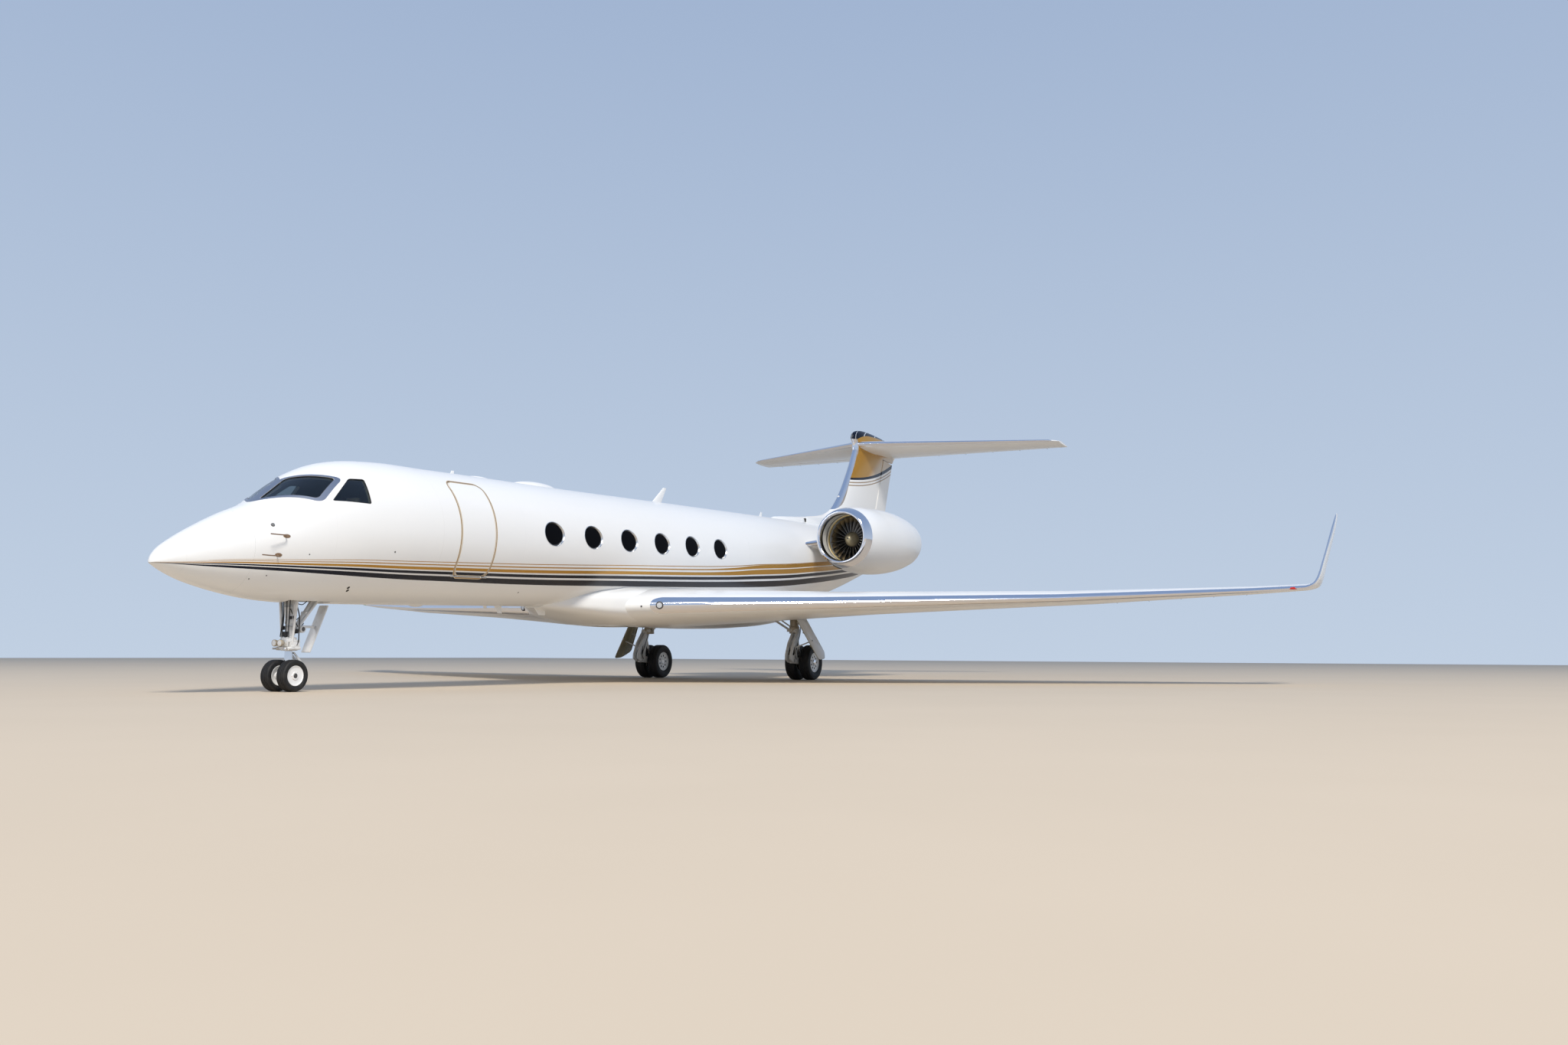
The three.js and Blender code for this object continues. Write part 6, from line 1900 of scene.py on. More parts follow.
        fork.append(plate(low, side * 0.022 - 0.008, side * 0.022 + 0.008, ENAMEL))
    fork.append(rod((-0.055, a + 0.222, 0.448), (0.055, a + 0.222, 0.448), 0.012, BOLT_STEEL))
    fork.append(rod((-0.050, a + 0.070, 0.606), (0.050, a + 0.070, 0.606), 0.014, BOLT_STEEL))
    make_piece("nose_fork_forging", fork, "engine_steel", "nose_steering_fork", body="nose_fork")
    door = [plate([(2.880, 0.620), (2.902, 0.612), (3.245, 1.372), (3.222, 1.382)], -0.095, 0.095, ENAMEL,
                  0.006)]
    door.append(plate([(2.672, 1.005), (3.045, 1.005), (3.060, 1.045), (2.700, 1.045)], -0.016, 0.016,
                      ENAMEL))
    make_piece("nose_gear_door_panel", door, "white_composite", "nose_gear_door")


# Main gear, port side
ARM_HALF = 0.036
LEG_HALF = 0.082
GEAR_BEAM = (
    (16.15, 1.255), (16.26, 1.20), (16.12, 0.90), (16.06, 0.64), (16.08, 0.52), (15.95, 0.425),
    (15.84, 0.425), (15.70, 0.50), (15.71, 0.62), (15.84, 0.90),
)
BEAM_WINDOW = ((15.80, 0.60), (15.985, 0.60), (16.01, 0.66), (15.975, 0.86), (15.89, 0.80))
TRAILING_ARM = (
    (15.862, 0.405), (15.862, 0.500), (15.95, 0.535), (16.15, 0.560), (16.42, 0.520), (16.60, 0.490),
    (16.640, 0.450), (16.640, 0.390), (16.60, 0.362), (16.45, 0.370), (16.10, 0.400),
)
BRAKE = (
    (0.0556, 0.039), (0.150, 0.039), (0.172, 0.044), (0.176, 0.060), (0.176, 0.110), (0.168, 0.120),
    (0.160, 0.122), (0.152, 0.150), (0.0556, 0.152),
)
GEAR_DOOR = ((2.35, 15.76, 1.55), (2.41, 16.19, 1.55), (2.82, 16.44, 0.69), (2.96, 16.18, 0.52),
             (2.95, 15.87, 0.50))
GEAR_DOOR_MIDDLE = (2.70, 16.09, 0.97)
GEAR_DOOR_CORNER = 0.09


def make_main_gear():
    t = MAIN_TRACK_HALF
    drum = along_rod((2.110, 16.220, 1.130), (2.110, 16.202, 1.600),
                     ((0.120, 0.0), (0.130, 0.008), (0.130, 0.150), (0.116, 0.165), (0.108, 0.175),
                      (0.108, 0.330), (0.118, 0.340), (0.118, 0.47)), BROWN_FITTING, 40)
    cheeks = []
    for x0, x1 in ((t - LEG_HALF, t - ARM_HALF - 0.003), (t + ARM_HALF + 0.003, t + LEG_HALF)):
        window = sharp_plate(rounded_outline(BEAM_WINDOW, 0.03), x0 - 0.05, x1 + 0.05, ENAMEL)
        cheek = carve(build("beam", plate(GEAR_BEAM, x0, x1, ENAMEL, 0.010)), window)
        crisp(cheek.data)
        cheeks.append(cheek)
    shapes = [drum]
    shapes.append(rod((t - LEG_HALF - 0.004, 16.15, 1.19), (t + LEG_HALF + 0.004, 16.15, 1.19), 0.060, ENAMEL,
                      sides=32))
    shapes.append(rod((t - LEG_HALF - 0.008, 15.90, 0.465), (t + LEG_HALF + 0.008, 15.90, 0.465), 0.046,
                      BOLT_STEEL, sides=32))
    shapes.append(rod((t, 16.17, 1.10), (t, 16.30, 0.76), 0.032, ENAMEL, sides=24))
    shapes.append(rod((t, 16.29, 0.78), (t, 16.38, 0.535), 0.022, CHROME, sides=24))
    shapes.append(rod((2.06, 16.20, 1.17), (1.50, 16.00, 1.555), 0.026, ENAMEL))
    shapes.append(rod((2.06, 16.28, 1.24), (1.55, 16.26, 1.57), 0.018, ENAMEL))
    shapes.append(rod((2.085, 16.12, 1.21), (1.99, 16.05, 1.21), 0.040, ENAMEL))
    pieces = [build("part", shape) for shape in shapes]
    finish_pair(merged("port_main_gear_forging", pieces + cheeks), "white_composite", "main_gear_leg")
    hoses = [pipe([(t + 0.09, 16.20, 1.45), (t + 0.11, 16.16, 1.15), (t + 0.096, 16.03, 0.85),
                   (t + 0.098, 15.92, 0.62), (t + 0.095, 15.98, 0.50)], 0.009, HOSE),
             pipe([(t - 0.10, 16.13, 1.40), (t - 0.11, 16.10, 1.10), (t - 0.096, 15.99, 0.82),
                   (t - 0.098, 15.88, 0.60), (t - 0.095, 15.94, 0.49)], 0.009, HOSE),
             pipe([(t + 0.045, 15.93, 0.585), (t + 0.042, 16.15, 0.60), (t + 0.042, 16.35, 0.54)], 0.006,
                  HOSE),
             pipe([(t - 0.045, 15.93, 0.585), (t - 0.042, 16.15, 0.60), (t - 0.042, 16.35, 0.54)], 0.006,
                  HOSE)]
    make_pair("main_gear_hoses", hoses, "black_plastic")
    arm = [plate(TRAILING_ARM, t - ARM_HALF + 0.001, t + ARM_HALF - 0.001, ENAMEL, 0.010)]
    reach = MAIN_WHEEL_OUT + 0.095
    arm.append(rod((t - reach, MAIN_AXLE, MAIN_RADIUS), (t + reach, MAIN_AXLE, MAIN_RADIUS), 0.055,
                   BOLT_STEEL, sides=40, chamfer=0.06))
    for side in (-1, 1):
        profile = [(r, side * d) for r, d in BRAKE]
        arm.append(turned_profile(profile, (t, aft(MAIN_AXLE), MAIN_RADIUS), "X", DARK_STEEL_AND_SHADE, 48,
                                  closed=True))
    make_pair("main_gear_trailing_arm", arm, "white_composite", "main_gear_arm")
    corners = np.array(GEAR_DOOR)
    smaller = corners * 0.985 + np.array(GEAR_DOOR_MIDDLE) * 0.015
    door = [panel([(x - inwards, s, z - inwards / 2)
                   for x, s, z in rounded_outline(points, GEAR_DOOR_CORNER)], thickness, finish, bevel)
            for points, inwards, thickness, finish, bevel in ((corners, 0.005, 0.010, PAINT, 0.002),
                                                              (smaller, 0.017, 0.013, DOOR_INSIDE, 0.003))]
    for a, b in (((2.43, 15.95, 1.36), (2.86, 16.05, 0.60)), ((2.42, 16.14, 1.42), (2.76, 16.32, 0.76)),
                 ((2.52, 15.93, 1.16), (2.58, 16.24, 1.10)), ((2.70, 15.95, 0.84), (2.77, 16.30, 0.74))):
        door.append(rod((a[0] - 0.035, a[1], a[2] - 0.017), (b[0] - 0.035, b[1], b[2] - 0.017), 0.016,
                        DOOR_INSIDE, sides=12))
    door.append(rod((t + LEG_HALF + 0.002, 15.957, 0.785), (2.735, 15.98, 0.958), 0.016, ENAMEL))
    door.append(rod((2.15, 16.19, 1.42), (2.43, 16.10, 1.30), 0.014, ENAMEL))
    make_pair("main_gear_door_panel", door, "white_composite", "main_gear_door")


# Fan and engine core
FAN_BLADES = 24
BLADE_ROOT = 0.150
BLADE_TIP = 0.620
STATOR_VANES = 40
SPINNER_BOLTS = 18
SPINNER_BOLTS_OUT = 0.1965


def blade_shape():
    """One wide-chord blade along +Z: twisted, swept at the tip and thin at its edges"""
    rings = []
    for share in np.linspace(0, 1, 9):
        radius = BLADE_ROOT + (BLADE_TIP - BLADE_ROOT) * share
        chord = 0.125 + 0.065 * share
        thick = 0.017 * (1 - share) + 0.006 * share
        twist = math.radians(36 + 20 * share)
        sweep = 0.030 * share ** 3 - 0.012 * math.sin(math.pi * share)
        ring = []
        for u, v in ((-0.5, 0.0), (-0.42, 0.28), (-0.15, 0.5), (0.20, 0.42), (0.48, 0.10), (0.5, 0.0),
                     (0.48, -0.10), (0.20, -0.30), (-0.15, -0.36), (-0.42, -0.22)):
            a, b = u * chord, v * thick + 0.05 * chord * (1 - 4 * u * u)
            ring.append((a * math.sin(twist) + b * math.cos(twist),
                         a * math.cos(twist) - b * math.sin(twist) + sweep, radius))
        rings.append(ring)
    return loft(rings, BLADES)


def vane_shape():
    rings = []
    for radius, chord in ((0.335, 0.10), (0.50, 0.10), (0.662, 0.11)):
        rings.append([(0.006 * v * 2 + 0.15 * u * u * chord * 3, u * chord, radius)
                      for u, v in ((-0.5, 0), (-0.2, 0.5), (0.3, 0.4), (0.5, 0), (0.3, -0.4), (-0.2, -0.5))])
    return loft(rings, DARK_STEEL_AND_SHADE)


def round_engine(count, station):
    """Places round the engine's axis for a shape that stands along +Z"""
    return [((ENGINE_OUT, aft(station), ENGINE_HEIGHT), (0, turn, 0)) for turn in turns(count)]


def make_fan():
    blades = repeated("port_fan_blades", round_engine(FAN_BLADES, FAN_STATION), blade_shape(), BLADES,
                      crease=50)
    finish_pair(blades, "fan_metal", "fan", body="fan")
    f = FAN_STATION
    cone = smooth_profile(((0.004, f - 0.329), (0.045, f - 0.312), (0.090, f - 0.270), (0.140, f - 0.190),
                           (0.180, f - 0.095), (0.205, f - 0.010), (0.214, f + 0.098)))
    cone += [(0.090, f + 0.100), (0.090, f + 0.179)]
    make_pair("spinner", engine_turned(cone, SPINNER_METAL), "fan_metal", body="fan")
    tip = engine_turned(((0.003, f - 0.3305), (0.022, f - 0.3275), (0.023, f - 0.320), (0.003, f - 0.318)),
                        BLACK_RUBBER_AND_SHADE, 24)
    make_pair("spinner_tip", tip, "black_plastic", body="fan")
    places = []
    for turn in turns(SPINNER_BOLTS):
        out = Vector((math.sin(turn), -0.35, math.cos(turn))).normalized()
        point = (ENGINE_OUT + SPINNER_BOLTS_OUT * math.sin(turn), aft(f - 0.040),
                 ENGINE_HEIGHT + SPINNER_BOLTS_OUT * math.cos(turn))
        places.append((point, facing(out)))
    finish_pair(repeated("port_spinner_bolts", places, RIVET, BOLT_STEEL, 0.007), "engine_steel", body="fan")


def make_engine_core():
    profile = ((0.002, 19.802), (0.300, 19.802), (0.330, 19.86), (0.380, 20.10), (0.430, 20.40),
               (0.470, 21.60), (0.400, 22.40), (0.240, 22.90), (0.060, 23.30), (0.004, 23.318))
    core = engine_turned(profile, DARK_STEEL_AND_SHADE, 60)
    make_pair("engine_core_body", core, "engine_steel", "engine_core")
    vanes = repeated("port_stator_vanes", round_engine(STATOR_VANES, 20.12), vane_shape(), DARK_STEEL_AND_SHADE)
    finish_pair(vanes, "engine_steel")
    ring = engine_turned(((0.6225, 19.470), (0.6575, 19.466), (0.6570, 19.515), (0.6270, 19.512)), GOLD_RING,
                         closed=True)
    gap = engine_turned(((0.6270, 19.300), (0.6300, 19.292), (0.6340, 19.300), (0.6335, 19.330),
                         (0.6285, 19.330)), BLACK_RUBBER_AND_SHADE, closed=True)
    make_pair("fan_case_rings", ring + gap, "engine_steel")


# Cabin and cockpit
SEAT_STATIONS = (8.15, 9.50, 10.90, 12.25, 13.50)
SEAT_OUT = 0.58
PANEL_FRONT = 2.06
PILOT_SEAT_FRONT = 2.78
SWELL = 0.12
ROUNDNESS = 0.32


def floor_top(station):
    return axis_height(station) - FLOOR_BELOW_AXIS


def cushion(size, place, finish, channels=0, lean=0.0, columns=44, rows=28):
    """A pad whose faces swell and whose sides pull in, with sewn channels across it"""
    wide, deep, tall = (v / 2 for v in size)
    rings = []
    for v in np.linspace(-np.pi / 2 + 0.02, np.pi / 2 - 0.02, rows):
        ring = []
        flat = math.copysign(abs(math.sin(v)) ** ROUNDNESS, v)
        around = abs(math.cos(v)) ** ROUNDNESS
        for u in turns(columns):
            x = around * math.copysign(abs(math.cos(u)) ** ROUNDNESS, math.cos(u))
            y = around * math.copysign(abs(math.sin(u)) ** ROUNDNESS, math.sin(u))
            swell = 1 + SWELL * (1 - x * x) * (1 - y * y)
            pull = 1 - 0.05 * (1 - flat * flat) * (1 - min(abs(x), abs(y)) ** 2)
            z = tall * flat * swell / (1 + SWELL)
            if channels:
                seam = abs((x + 1) * channels / 2 - round((x + 1) * channels / 2))
                z -= math.copysign(0.06 * tall * math.exp(-(seam / 0.09) ** 2), flat)
            ring.append((wide * x * pull, deep * y * pull, z))
        rings.append(ring)
    shape = loft(rings, finish)
    return shape.turned(lean, (1, 0, 0), np.zeros(3)).moved(place[0], aft(place[1]), place[2])


def make_passenger_seats():
    frames, seats, backs = [], [], []
    for station in SEAT_STATIONS:
        base = floor_top(station)
        x = SEAT_OUT
        frames.append(bar(x, 0.20, station + 0.06, station + 0.46, base - 0.01, base + 0.24, LINING, 0.02))
        for side in (-1, 1):
            frames.append(bar(x + side * 0.215, 0.030, station + 0.03, station + 0.46, base + 0.24,
                              base + 0.58, LINING, 0.018))
        seats.append(cushion((0.36, 0.46, 0.17), (x, station + 0.23, base + 0.34), LEATHER, channels=4))
        backs.append(cushion((0.40, 0.54, 0.13), (x, station + 0.485, base + 0.68), LEATHER, channels=4,
                             lean=math.radians(84)))
        backs.append(cushion((0.28, 0.17, 0.10), (x, station + 0.470, base + 0.915), LEATHER,
                             lean=math.radians(84), columns=28, rows=18))
    make_pair("seat_frames", frames, "cream_leather")
    for name, group, fill in (("seat_cushions", seats, 0.7), ("seat_backs", backs, 0.7)):
        piece = build(f"port_{name}", total(group), 60)
        finish_pair(piece, "cream_leather")


def make_cabin_floor():
    rings = []
    for station in np.linspace(2.36, CABIN_END - WALL - 0.004, 40):
        top = floor_top(station)
        ring = []
        for z in (top, top - 0.048):
            half = max(0.05, skin_out(station, z, WALL) - 0.002)
            if z == top and DOOR_FRONT - 0.15 < station < DOOR_REAR + 0.15:
                half = min(half, 0.775)
            ring.append((half, z))
        half = ring[0][0]
        low = min(ring[1][0], half)
        rings.append([(half, aft(station), top),
                      (-ring[0][0] if half > 0.78 else -skin_out(station, top, WALL) + 0.002, aft(station),
                       top), (-ring[1][0], aft(station), top - 0.048), (low, aft(station), top - 0.048)])
    make_piece("cabin_carpet", loft(rings, CARPET), "cabin_trim", "cabin_floor")
    divider = []
    for side in (-1, 1):
        divider.append(bar(side * 0.70, 0.38, 6.45, 6.52, floor_top(6.5), floor_top(6.5) + 1.62, LINING,
                           0.01))
    divider.append(block(-0.93, -0.35, 4.95, 6.30, floor_top(5.6) + 0.001, floor_top(5.6) + 0.92, LINING,
                         0.02))
    divider.append(block(-0.95, -0.33, 4.93, 6.32, floor_top(5.6) + 0.92, floor_top(5.6) + 0.95, PLASTIC,
                         0.01))
    furniture = merged("galley_and_bulkheads", [build("part", shape) for shape in divider])
    room = build("room", loft([skin_ring(s, WALL + 0.004) for s in np.linspace(4.8, 6.7, 12)], LINING))
    finish_piece(carve(furniture, room, "INTERSECT"), "cabin_trim")


def make_cockpit():
    front = PANEL_FRONT
    shell = [block(-0.62, 0.62, front + 0.10, front + 0.33, 2.33, 2.80, PLASTIC, 0.02)]
    shade = [(front - 0.02, 2.805), (front + 0.10, 2.845), (front + 0.30, 2.848), (front + 0.385, 2.825),
             (front + 0.380, 2.800), (front + 0.28, 2.812), (front + 0.02, 2.795)]
    shell.append(plate(shade, -0.66, 0.66, PLASTIC, 0.008))
    base = floor_top(2.70)
    shell.append(plate([(2.32, base + 0.02), (3.05, base + 0.02), (3.05, 2.40), (2.85, 2.45), (2.36, 2.56)],
                            -0.11, 0.11, PLASTIC, 0.012))
    for x in (-0.055, 0.055):
        shell.append(plate([(2.56, 2.47), (2.60, 2.47), (2.54, 2.62), (2.50, 2.62)], x - 0.018, x + 0.018,
                                GREY_PLASTIC, 0.006))
    for x in (-0.42, 0.42):
        shell.append(rod((x, 2.56, base + 0.01), (x, 2.52, 2.52), 0.025, PLASTIC))
        shell.append(pipe([(x - 0.14, 2.53, 2.66), (x - 0.15, 2.53, 2.56), (x - 0.09, 2.52, 2.52),
                           (x + 0.09, 2.52, 2.52), (x + 0.15, 2.53, 2.56), (x + 0.14, 2.53, 2.66)], 0.017,
                          PLASTIC))
    make_piece("instrument_panel_and_controls", shell, "black_plastic", "instrument_panel")
    screens = []
    for x in (-0.46, -0.21, 0.21, 0.46, 0.0):
        screens.append(bar(x, 0.105, front + 0.330, front + 0.336, 2.52, 2.74, DISPLAY, 0.002))
    make_piece("displays", screens, "dark_glass")
    front = PILOT_SEAT_FRONT
    base = floor_top(front) + 0.014
    frame_parts = []
    for x in (0.29, 0.55):
        frame_parts.append(bar(x, 0.012, front + 0.06, front + 0.44, base + 0.001, base + 0.30, GREY_PLASTIC,
                               0.004))
    frame_parts.append(block(0.20, 0.64, front + 0.03, front + 0.50, base + 0.285, base + 0.310, GREY_PLASTIC,
                             0.006))
    for x in (0.175, 0.665):
        frame_parts.append(bar(x, 0.022, front + 0.14, front + 0.46, base + 0.55, base + 0.59, LEATHER,
                               0.014))
        frame_parts.append(rod((x, front + 0.44, base + 0.56), (x, front + 0.52, base + 0.56), 0.016,
                               GREY_PLASTIC))
    make_pair("pilot_seat_frame", frame_parts, "black_plastic")
    pad = cushion((0.46, 0.48, 0.13), (0.42, front + 0.25, base + 0.372), LEATHER, channels=3)
    seat = build("port_pilot_seat_cushion", pad, 60)
    finish_pair(seat, "cream_leather", "pilot_seat")
    lean = math.radians(80)
    rest = cushion((0.44, 0.64, 0.11), (0.42, front + 0.510, base + 0.70), LEATHER, channels=3, lean=lean)
    head = cushion((0.26, 0.17, 0.09), (0.42, front + 0.575, base + 1.045), LEATHER, lean=lean, columns=28,
                   rows=18)
    back = build("port_pilot_seat_back", rest + head, 60)
    finish_pair(back, "cream_leather")


STEP_SHARES = (0.14, 0.31, 0.48, 0.65, 0.82)
STEP_DEPTH = 0.20
KNUCKLE_RADIUS = 0.0135


def make_airstair():
    """Steps on the inside of the door, level when it hangs open"""
    shapes = []
    angle = math.radians(45)
    for share in STEP_SHARES:
        z = DOOR_SILL + (DOOR_TOP - DOOR_SILL) * share
        x = skin_out(DOOR_MIDDLE, z, WALL) + 0.010
        inward = np.array((-math.cos(angle), 0, math.sin(angle)))
        across = np.array((math.sin(angle), 0, math.cos(angle)))
        corners = [np.array((x, 0, z)) + inward * d + across * h
                   for d, h in ((0.0, -0.012), (0.0, 0.012), (STEP_DEPTH, 0.012), (STEP_DEPTH, -0.012))]
        rings = [[(p[0], aft(s), p[2]) for p in corners] for s in (DOOR_MIDDLE - 0.30, DOOR_MIDDLE + 0.30)]
        shapes.append(bevelled(loft(rings, GREY_PLASTIC), 0.004))
    for s in (DOOR_MIDDLE - 0.315, DOOR_MIDDLE + 0.315):
        outline = []
        for share in np.linspace(0.06, 0.90, 14):
            z = DOOR_SILL + (DOOR_TOP - DOOR_SILL) * share
            outline.append((skin_out(DOOR_MIDDLE, z, WALL) + 0.012, z))
        inner = [(x - 0.155, z + 0.10) for x, z in outline[::-1]]
        rings = [[(x, aft(s + d), z) for x, z in outline + inner] for d in (-0.012, 0.012)]
        shapes.append(loft(rings, LINING))
    make_piece("airstair_steps", shapes, "cabin_trim", body="entry_door")
    hinge_x = skin_out(DOOR_MIDDLE, DOOR_SILL) + 0.003

    def hinge(station):
        return hinge_x, station, DOOR_SILL - 0.004 + AXIS_RISE * (station - DOOR_MIDDLE)
    moving = rod(hinge(DOOR_FRONT + 0.151), hinge(DOOR_REAR - 0.151), KNUCKLE_RADIUS, BOLT_STEEL)
    make_piece("door_hinge_knuckle", moving, "engine_steel", body="entry_door")
    reaches = ((DOOR_FRONT - 0.018, DOOR_FRONT + 0.149), (DOOR_REAR - 0.149, DOOR_REAR + 0.018))
    fixed = [rod(hinge(start), hinge(end), KNUCKLE_RADIUS, BOLT_STEEL) for start, end in reaches]
    make_piece("door_frame_knuckles", fixed, "engine_steel")


# Small fittings on the skin
def blade_antenna(station, angle, height, length, finish, thick=0.02, lean=0.35, top=0.55):
    """A swept blade that stands on the skin"""
    base, out = skin_point(station, angle)
    side = np.cross(out, (0, 1, 0))
    side /= np.linalg.norm(side)
    rings = []
    for share in np.linspace(0, 1, 5):
        chord = length * (1 - (1 - top) * share)
        middle = base + out * (height * share - 0.02 * (1 - share)) + np.array((0, height * share * lean, 0))
        ring = []
        for u in turns(20):
            along = math.cos(u) * chord / 2
            across = math.sin(u) * thick / 2 * (1 - 0.35 * math.cos(u)) * (1 - 0.5 * share ** 3)
            ring.append(middle + np.array((0, 1, 0)) * along + side * across)
        rings.append(ring)
    return loft(rings, finish)


def skin_blister(station, angle, length, width, height, finish):
    """A low fairing that lies on the skin"""
    rings = []
    for share in np.linspace(0.01, 0.99, 22):
        s = station + (share - 0.5) * length
        swell = math.sin(math.pi * share) ** 0.6
        ring = []
        for k in np.linspace(-1, 1, 17):
            point, out = skin_point(s, angle + k * width / 2 * swell / 1.15)
            ring.append(point + out * (height * swell * (1 - k * k) ** 0.7 - 0.002))
        for k in np.linspace(1, -1, 5)[1:-1]:
            point, out = skin_point(s, angle + k * width / 2 * swell / 1.15)
            ring.append(point - out * 0.015)
        rings.append(ring)
    return loft(rings, finish)


def skin_disc(station, angle, radius, proud, finish, stretch=1.0):
    """A round cap let into the skin"""
    base, out = skin_point(station, angle)
    side, up, _ = direction_frame(out)
    rings = []
    for r, d in ((radius, -0.012), (radius, proud * 0.5), (radius * 0.85, proud),
                 (radius * 0.1, proud * 1.05)):
        rings.append(ring_round(base + out * d, side * stretch, up, r, 24))
    return loft(rings, finish)


def angle_at(station, z):
    """The angle from the crown of the port skin at a height"""
    _, up, down, wide = skin(station)
    if z >= wide:
        return math.acos(min(1.0, (z - wide) / up))
    return math.pi - math.acos(min(1.0, (wide - z) / down))


def make_skin_fittings():
    crown = [blade_antenna(6.17, 0.0, 0.07, 0.12, PAINT, thick=0.012, lean=0.5, top=0.6),
             skin_blister(6.90, 0.0, 0.62, 0.20, 0.035, PAINT),
             skin_blister(8.62, 0.0, 1.36, 0.30, 0.085, PAINT),
             blade_antenna(13.17, 0.0, 0.385, 0.40, PAINT, thick=0.04, lean=1.0, top=0.36),
             blade_antenna(18.35, 0.0, 0.13, 0.16, PAINT, thick=0.016, lean=0.5, top=0.6),
             block(-0.02, 0.02, 19.0, 20.2, 4.31, 4.352, PAINT, 0.006)]
    belly = [blade_antenna(7.20, math.pi, 0.06, 0.12, PAINT, lean=0.5),
             blade_antenna(7.58, math.pi, 0.14, 0.24, PAINT, lean=0.5),
             blade_antenna(8.86, math.pi, 0.17, 0.40, PAINT, lean=0.6),
             skin_blister(5.35, math.pi, 0.34, 0.16, 0.03, PAINT)]
    make_piece("antennas", total(crown + belly), "white_composite")
    probes = []
    for side in (1, -1):
        for s, z in ((1.693, 2.357), (1.585, 2.068)):
            angle = angle_at(s, z) * side
            base, out = skin_point(s, angle)
            base[1] += HALF_LENGTH
            tip = base + out * 0.075 + (0, -0.03, 0)
            probes.append(pipe([base - out * 0.01, tip, tip + out * 0.01 + (0, -0.10, -0.003),
                                tip + out * 0.008 + (0, -0.29, -0.004)], 0.0095, PROBE_BRONZE))
            probes.append(skin_disc(s + 0.02, angle, 0.030, 0.006, PROBE_BRONZE, stretch=1.9))
        probes.append(skin_disc(1.545, angle_at(1.545, 2.523) * side, 0.030, 0.016, GREY_PLASTIC))
        for s, z, size in ((3.671, 2.255, 0.014), (7.30, 1.760, 0.016), (1.30, 1.70, 0.010),
                           (1.53, 1.76, 0.010), (2.10, 2.11, 0.010)):
            probes.append(skin_disc(s, angle_at(s, z) * side, size, 0.003, BLACK_RUBBER_AND_SHADE))
        for s, z in ((3.095, 1.650), (3.130, 1.606)):
            probes.append(skin_disc(s, angle_at(s, z) * side, 0.030, 0.003, BLACK_RUBBER_AND_SHADE, stretch=0.8))
    make_piece("probes_and_vents", probes, "engine_steel")
    box = [(20.75, 4.30), (20.77, 4.50), (20.90, 4.54), (22.30, 4.64), (22.60, 4.36)]
    make_piece("fin_root_inlet", plate(box, -0.215, 0.215, PAINT, 0.015), "white_composite")
    # The mouths are black blocks: painted shade standing in for the dark inside of the inlet openings
    mouths = [block(x - 0.055, x + 0.055, 20.735, 20.775, 4.385, 4.490, BLACK_RUBBER_AND_SHADE, 0.010) for x in (-0.145, 0.145)]
    make_piece("fin_root_inlet_mouths", mouths, "black_plastic")


def nacelle_patch(start, end, middle, spread, proud, finish):
    """An oval cap on the port nacelle, round an angle measured from the bottom towards the fuselage"""
    radii, stations = zip(*NACELLE_OUTER[2:])
    rings = []
    for share in np.linspace(0.02, 0.98, 14):
        station = start + (end - start) * share
        swell = math.sin(math.pi * share) ** 0.5
        radius = float(np.interp(station, stations, radii))
        ring = []
        for k in (*np.linspace(-1, 1, 15), *np.linspace(1, -1, 7)[1:-1]):
            lift = proud * (1 - k * k) ** 0.5 if len(ring) < 15 else -0.012
            angle = middle + k * spread * swell
            ring.append((ENGINE_OUT - (radius + lift) * math.sin(angle), aft(station),
                         ENGINE_HEIGHT - (radius + lift) * math.cos(angle)))
        rings.append(ring)
    return loft(rings, finish)


def make_nacelle_scoop():
    # The scoop is a black patch: painted shade standing in for the dark inside of its opening
    make_pair("nacelle_scoop", nacelle_patch(19.13, 19.42, 0.38, 0.22, 0.012, BLACK_RUBBER_AND_SHADE), "black_plastic")


SCREW_PITCH = 0.045
SCREWS_OUT = 0.022


def make_frame_screws():
    """Screws in the windshield frame, just outside each edge of its opening"""
    places = []
    corners = [np.array(c) for c in PANES["windshield"]]
    middle = sum(corners) / 4
    normal = np.cross(corners[2] - corners[0], corners[3] - corners[1])
    normal *= np.sign(normal[2]) / np.linalg.norm(normal)
    for a, b in zip(corners, corners[1:] + corners[:1]):
        outwards = np.cross(b - a, normal)
        outwards *= np.sign(outwards @ (a - middle)) / np.linalg.norm(outwards)
        count = int(np.linalg.norm(b - a) / SCREW_PITCH)
        for share in np.linspace(0.08, 0.92, count):
            spot, out = onto_skin(a + (b - a) * share + outwards * SCREWS_OUT, normal)
            for side in (1, -1):
                facing_out = out * (side, 1, 1)
                places.append((place_of(spot * (side, 1, 1)) + facing_out * 0.0035, facing(facing_out)))
    finish_piece(repeated("frame_screws", places, RIVET, FRAME_METAL, 0.0038), "engine_steel")


TIP_LIGHT = (13.45, 17.66, 2.10)
WICK_RADIUS = 0.004


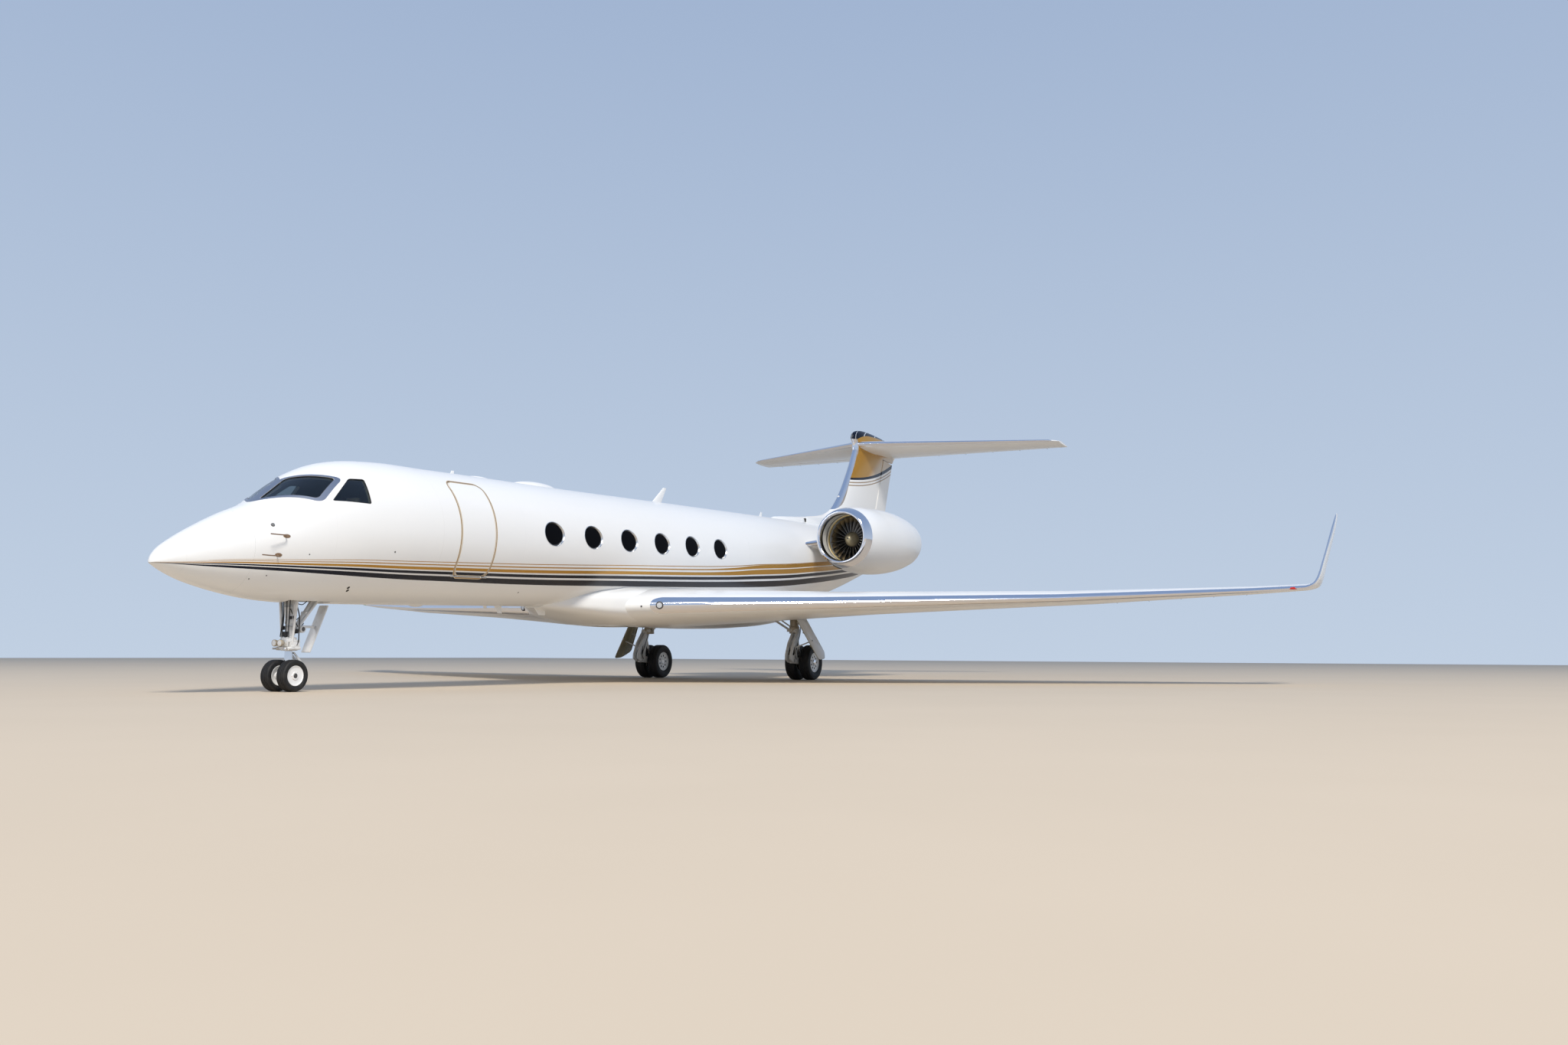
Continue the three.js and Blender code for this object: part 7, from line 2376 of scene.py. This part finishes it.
def make_lights():
    """Tip lights, the lamp and sensor in each wing root, and the static wicks"""
    x, s, z = TIP_LIGHT
    rings = []
    for share in np.linspace(0, 1, 9):
        wide = 0.028 * math.sin(math.pi * (0.08 + 0.84 * share)) ** 0.6
        middle = np.array((x - 0.12 + 0.24 * share, aft(s - 0.135 + 0.158 * share),
                           z - 0.015 + 0.016 * share))
        rings.append([middle + np.array((0, math.cos(k) * wide * 1.3, math.sin(k) * wide))
                      for k in turns(16)])
    make_piece("port_tip_light", loft(rings, RED_LAMP), "dark_glass")
    make_piece("starboard_tip_light", loft(rings, GREEN_LAMP).mirrored(), "dark_glass")
    start, end = (1.78, 10.585, 1.625), (1.70, 10.785, 1.625)
    lamp = along_rod(start, end,
                     ((0.004, 0.0), (0.030, 0.003), (0.055, 0.010), (0.062, 0.020), (0.062, 0.10)), LAMP)
    make_pair("landing_light", lamp, "dark_glass")
    ring = along_rod(start, end,
                     ((0.063, 0.010), (0.068, 0.004), (0.080, 0.014), (0.082, 0.030), (0.082, 0.12),
                      (0.063, 0.12)), DARK_STEEL_AND_SHADE, 40)
    make_pair("landing_light_ring", ring, "engine_steel")
    sensor = along_rod((1.455, 10.405, 1.60), (1.40, 10.50, 1.60),
                       ((0.016, 0.0), (0.018, 0.004), (0.018, 0.05)), BLACK_RUBBER_AND_SHADE)
    make_pair("wing_root_sensor", sensor, "black_plastic")
    wicks = []
    for x in np.linspace(9.5, 12.3, 5):
        lead, _, chord, z, _, _ = wing_row_at(x)
        s = lead + chord
        wicks.append(rod((x, s - 0.01, z), (x, s + 0.13, z - 0.01), WICK_RADIUS, HOSE, sides=8))
    make_pair("aileron_wicks", wicks, "black_plastic", body="aileron")
    wicks = []
    for x in np.linspace(1.5, 4.9, 5):
        lead, _, chord, z, _ = tail_row(x)
        s = lead + chord
        wicks.append(rod((x, s - 0.01, z), (x, s + 0.12, z - 0.006), WICK_RADIUS, HOSE, sides=8))
    make_pair("elevator_wicks", wicks, "black_plastic", body="elevator")


# Stage
HORIZON_LIGHT = (0.56, 0.66, 0.80)
ZENITH_LIGHT = (0.27, 0.38, 0.60)
SKY_STRENGTH = 0.95
FLOOR_HALF_WIDTH = 90
FLOOR_FRONT = -60.305
FLOOR_REAR = 120
FLOOR_TOP = -0.002
KEY_POWER = 165000
FILL_POWER = 5000


def add_stage():
    floor = build("studio_floor",
                  sharp_block(-FLOOR_HALF_WIDTH, FLOOR_HALF_WIDTH, FLOOR_FRONT, FLOOR_REAR, -0.5, FLOOR_TOP,
                              floor_finish()))


def add_area_light(name, place, target, size, power, colour):
    data = bpy.data.lights.new(name, "AREA")
    data.shape = "DISK"
    data.size = size
    data.energy = power
    data.color = colour
    light = bpy.data.objects.new(name, data)
    light.location = place
    light.rotation_euler = (Vector(target) - Vector(place)).to_track_quat("-Z", "Y").to_euler()
    scene.collection.objects.link(light)


def add_lights():
    world = bpy.data.worlds.new("soft sky")
    world.use_nodes = True
    tree = world.node_tree
    split = tree.nodes.new("ShaderNodeSeparateXYZ")
    tree.links.new(tree.nodes.new("ShaderNodeTexCoord").outputs["Generated"], split.inputs[0])
    ramp = tree.nodes.new("ShaderNodeValToRGB")
    ramp.color_ramp.elements[0].color = (*HORIZON_LIGHT, 1)
    ramp.color_ramp.elements[1].position = 0.75
    ramp.color_ramp.elements[1].color = (*ZENITH_LIGHT, 1)
    tree.links.new(split.outputs["Z"], ramp.inputs["Fac"])
    background = tree.nodes["Background"]
    tree.links.new(ramp.outputs["Color"], background.inputs["Color"])
    background.inputs["Strength"].default_value = SKY_STRENGTH
    scene.world = world
    add_area_light("key", (60, -75, 95), (0, -2, 2), 30, KEY_POWER, (1.0, 0.95, 0.87))
    add_area_light("fill", (-40, -50, 30), (0, 0, 2), 24, FILL_POWER, (1.0, 0.97, 0.94))
    scene.view_settings.view_transform = "Standard"


add_camera()
add_stage()
add_lights()
make_radome()
make_cockpit_shell()
make_windshield_frame()
make_cockpit_glass()
make_cabin_shell()
make_cabin_windows()
make_entry_door()
make_tail_cone()
make_belly_fairing()
make_wing()
make_flap()
make_aileron()
make_spoilers()
make_fin()
make_rudder()
make_stabilizer()
make_fin_top()
make_elevator()
make_nacelle()
make_nozzle()
make_pylon()
make_wheels()
make_nose_gear()
make_main_gear()
make_fan()
make_engine_core()
make_cabin_floor()
make_passenger_seats()
make_cockpit()
make_airstair()
make_skin_fittings()
make_nacelle_scoop()
make_frame_screws()
make_lights()
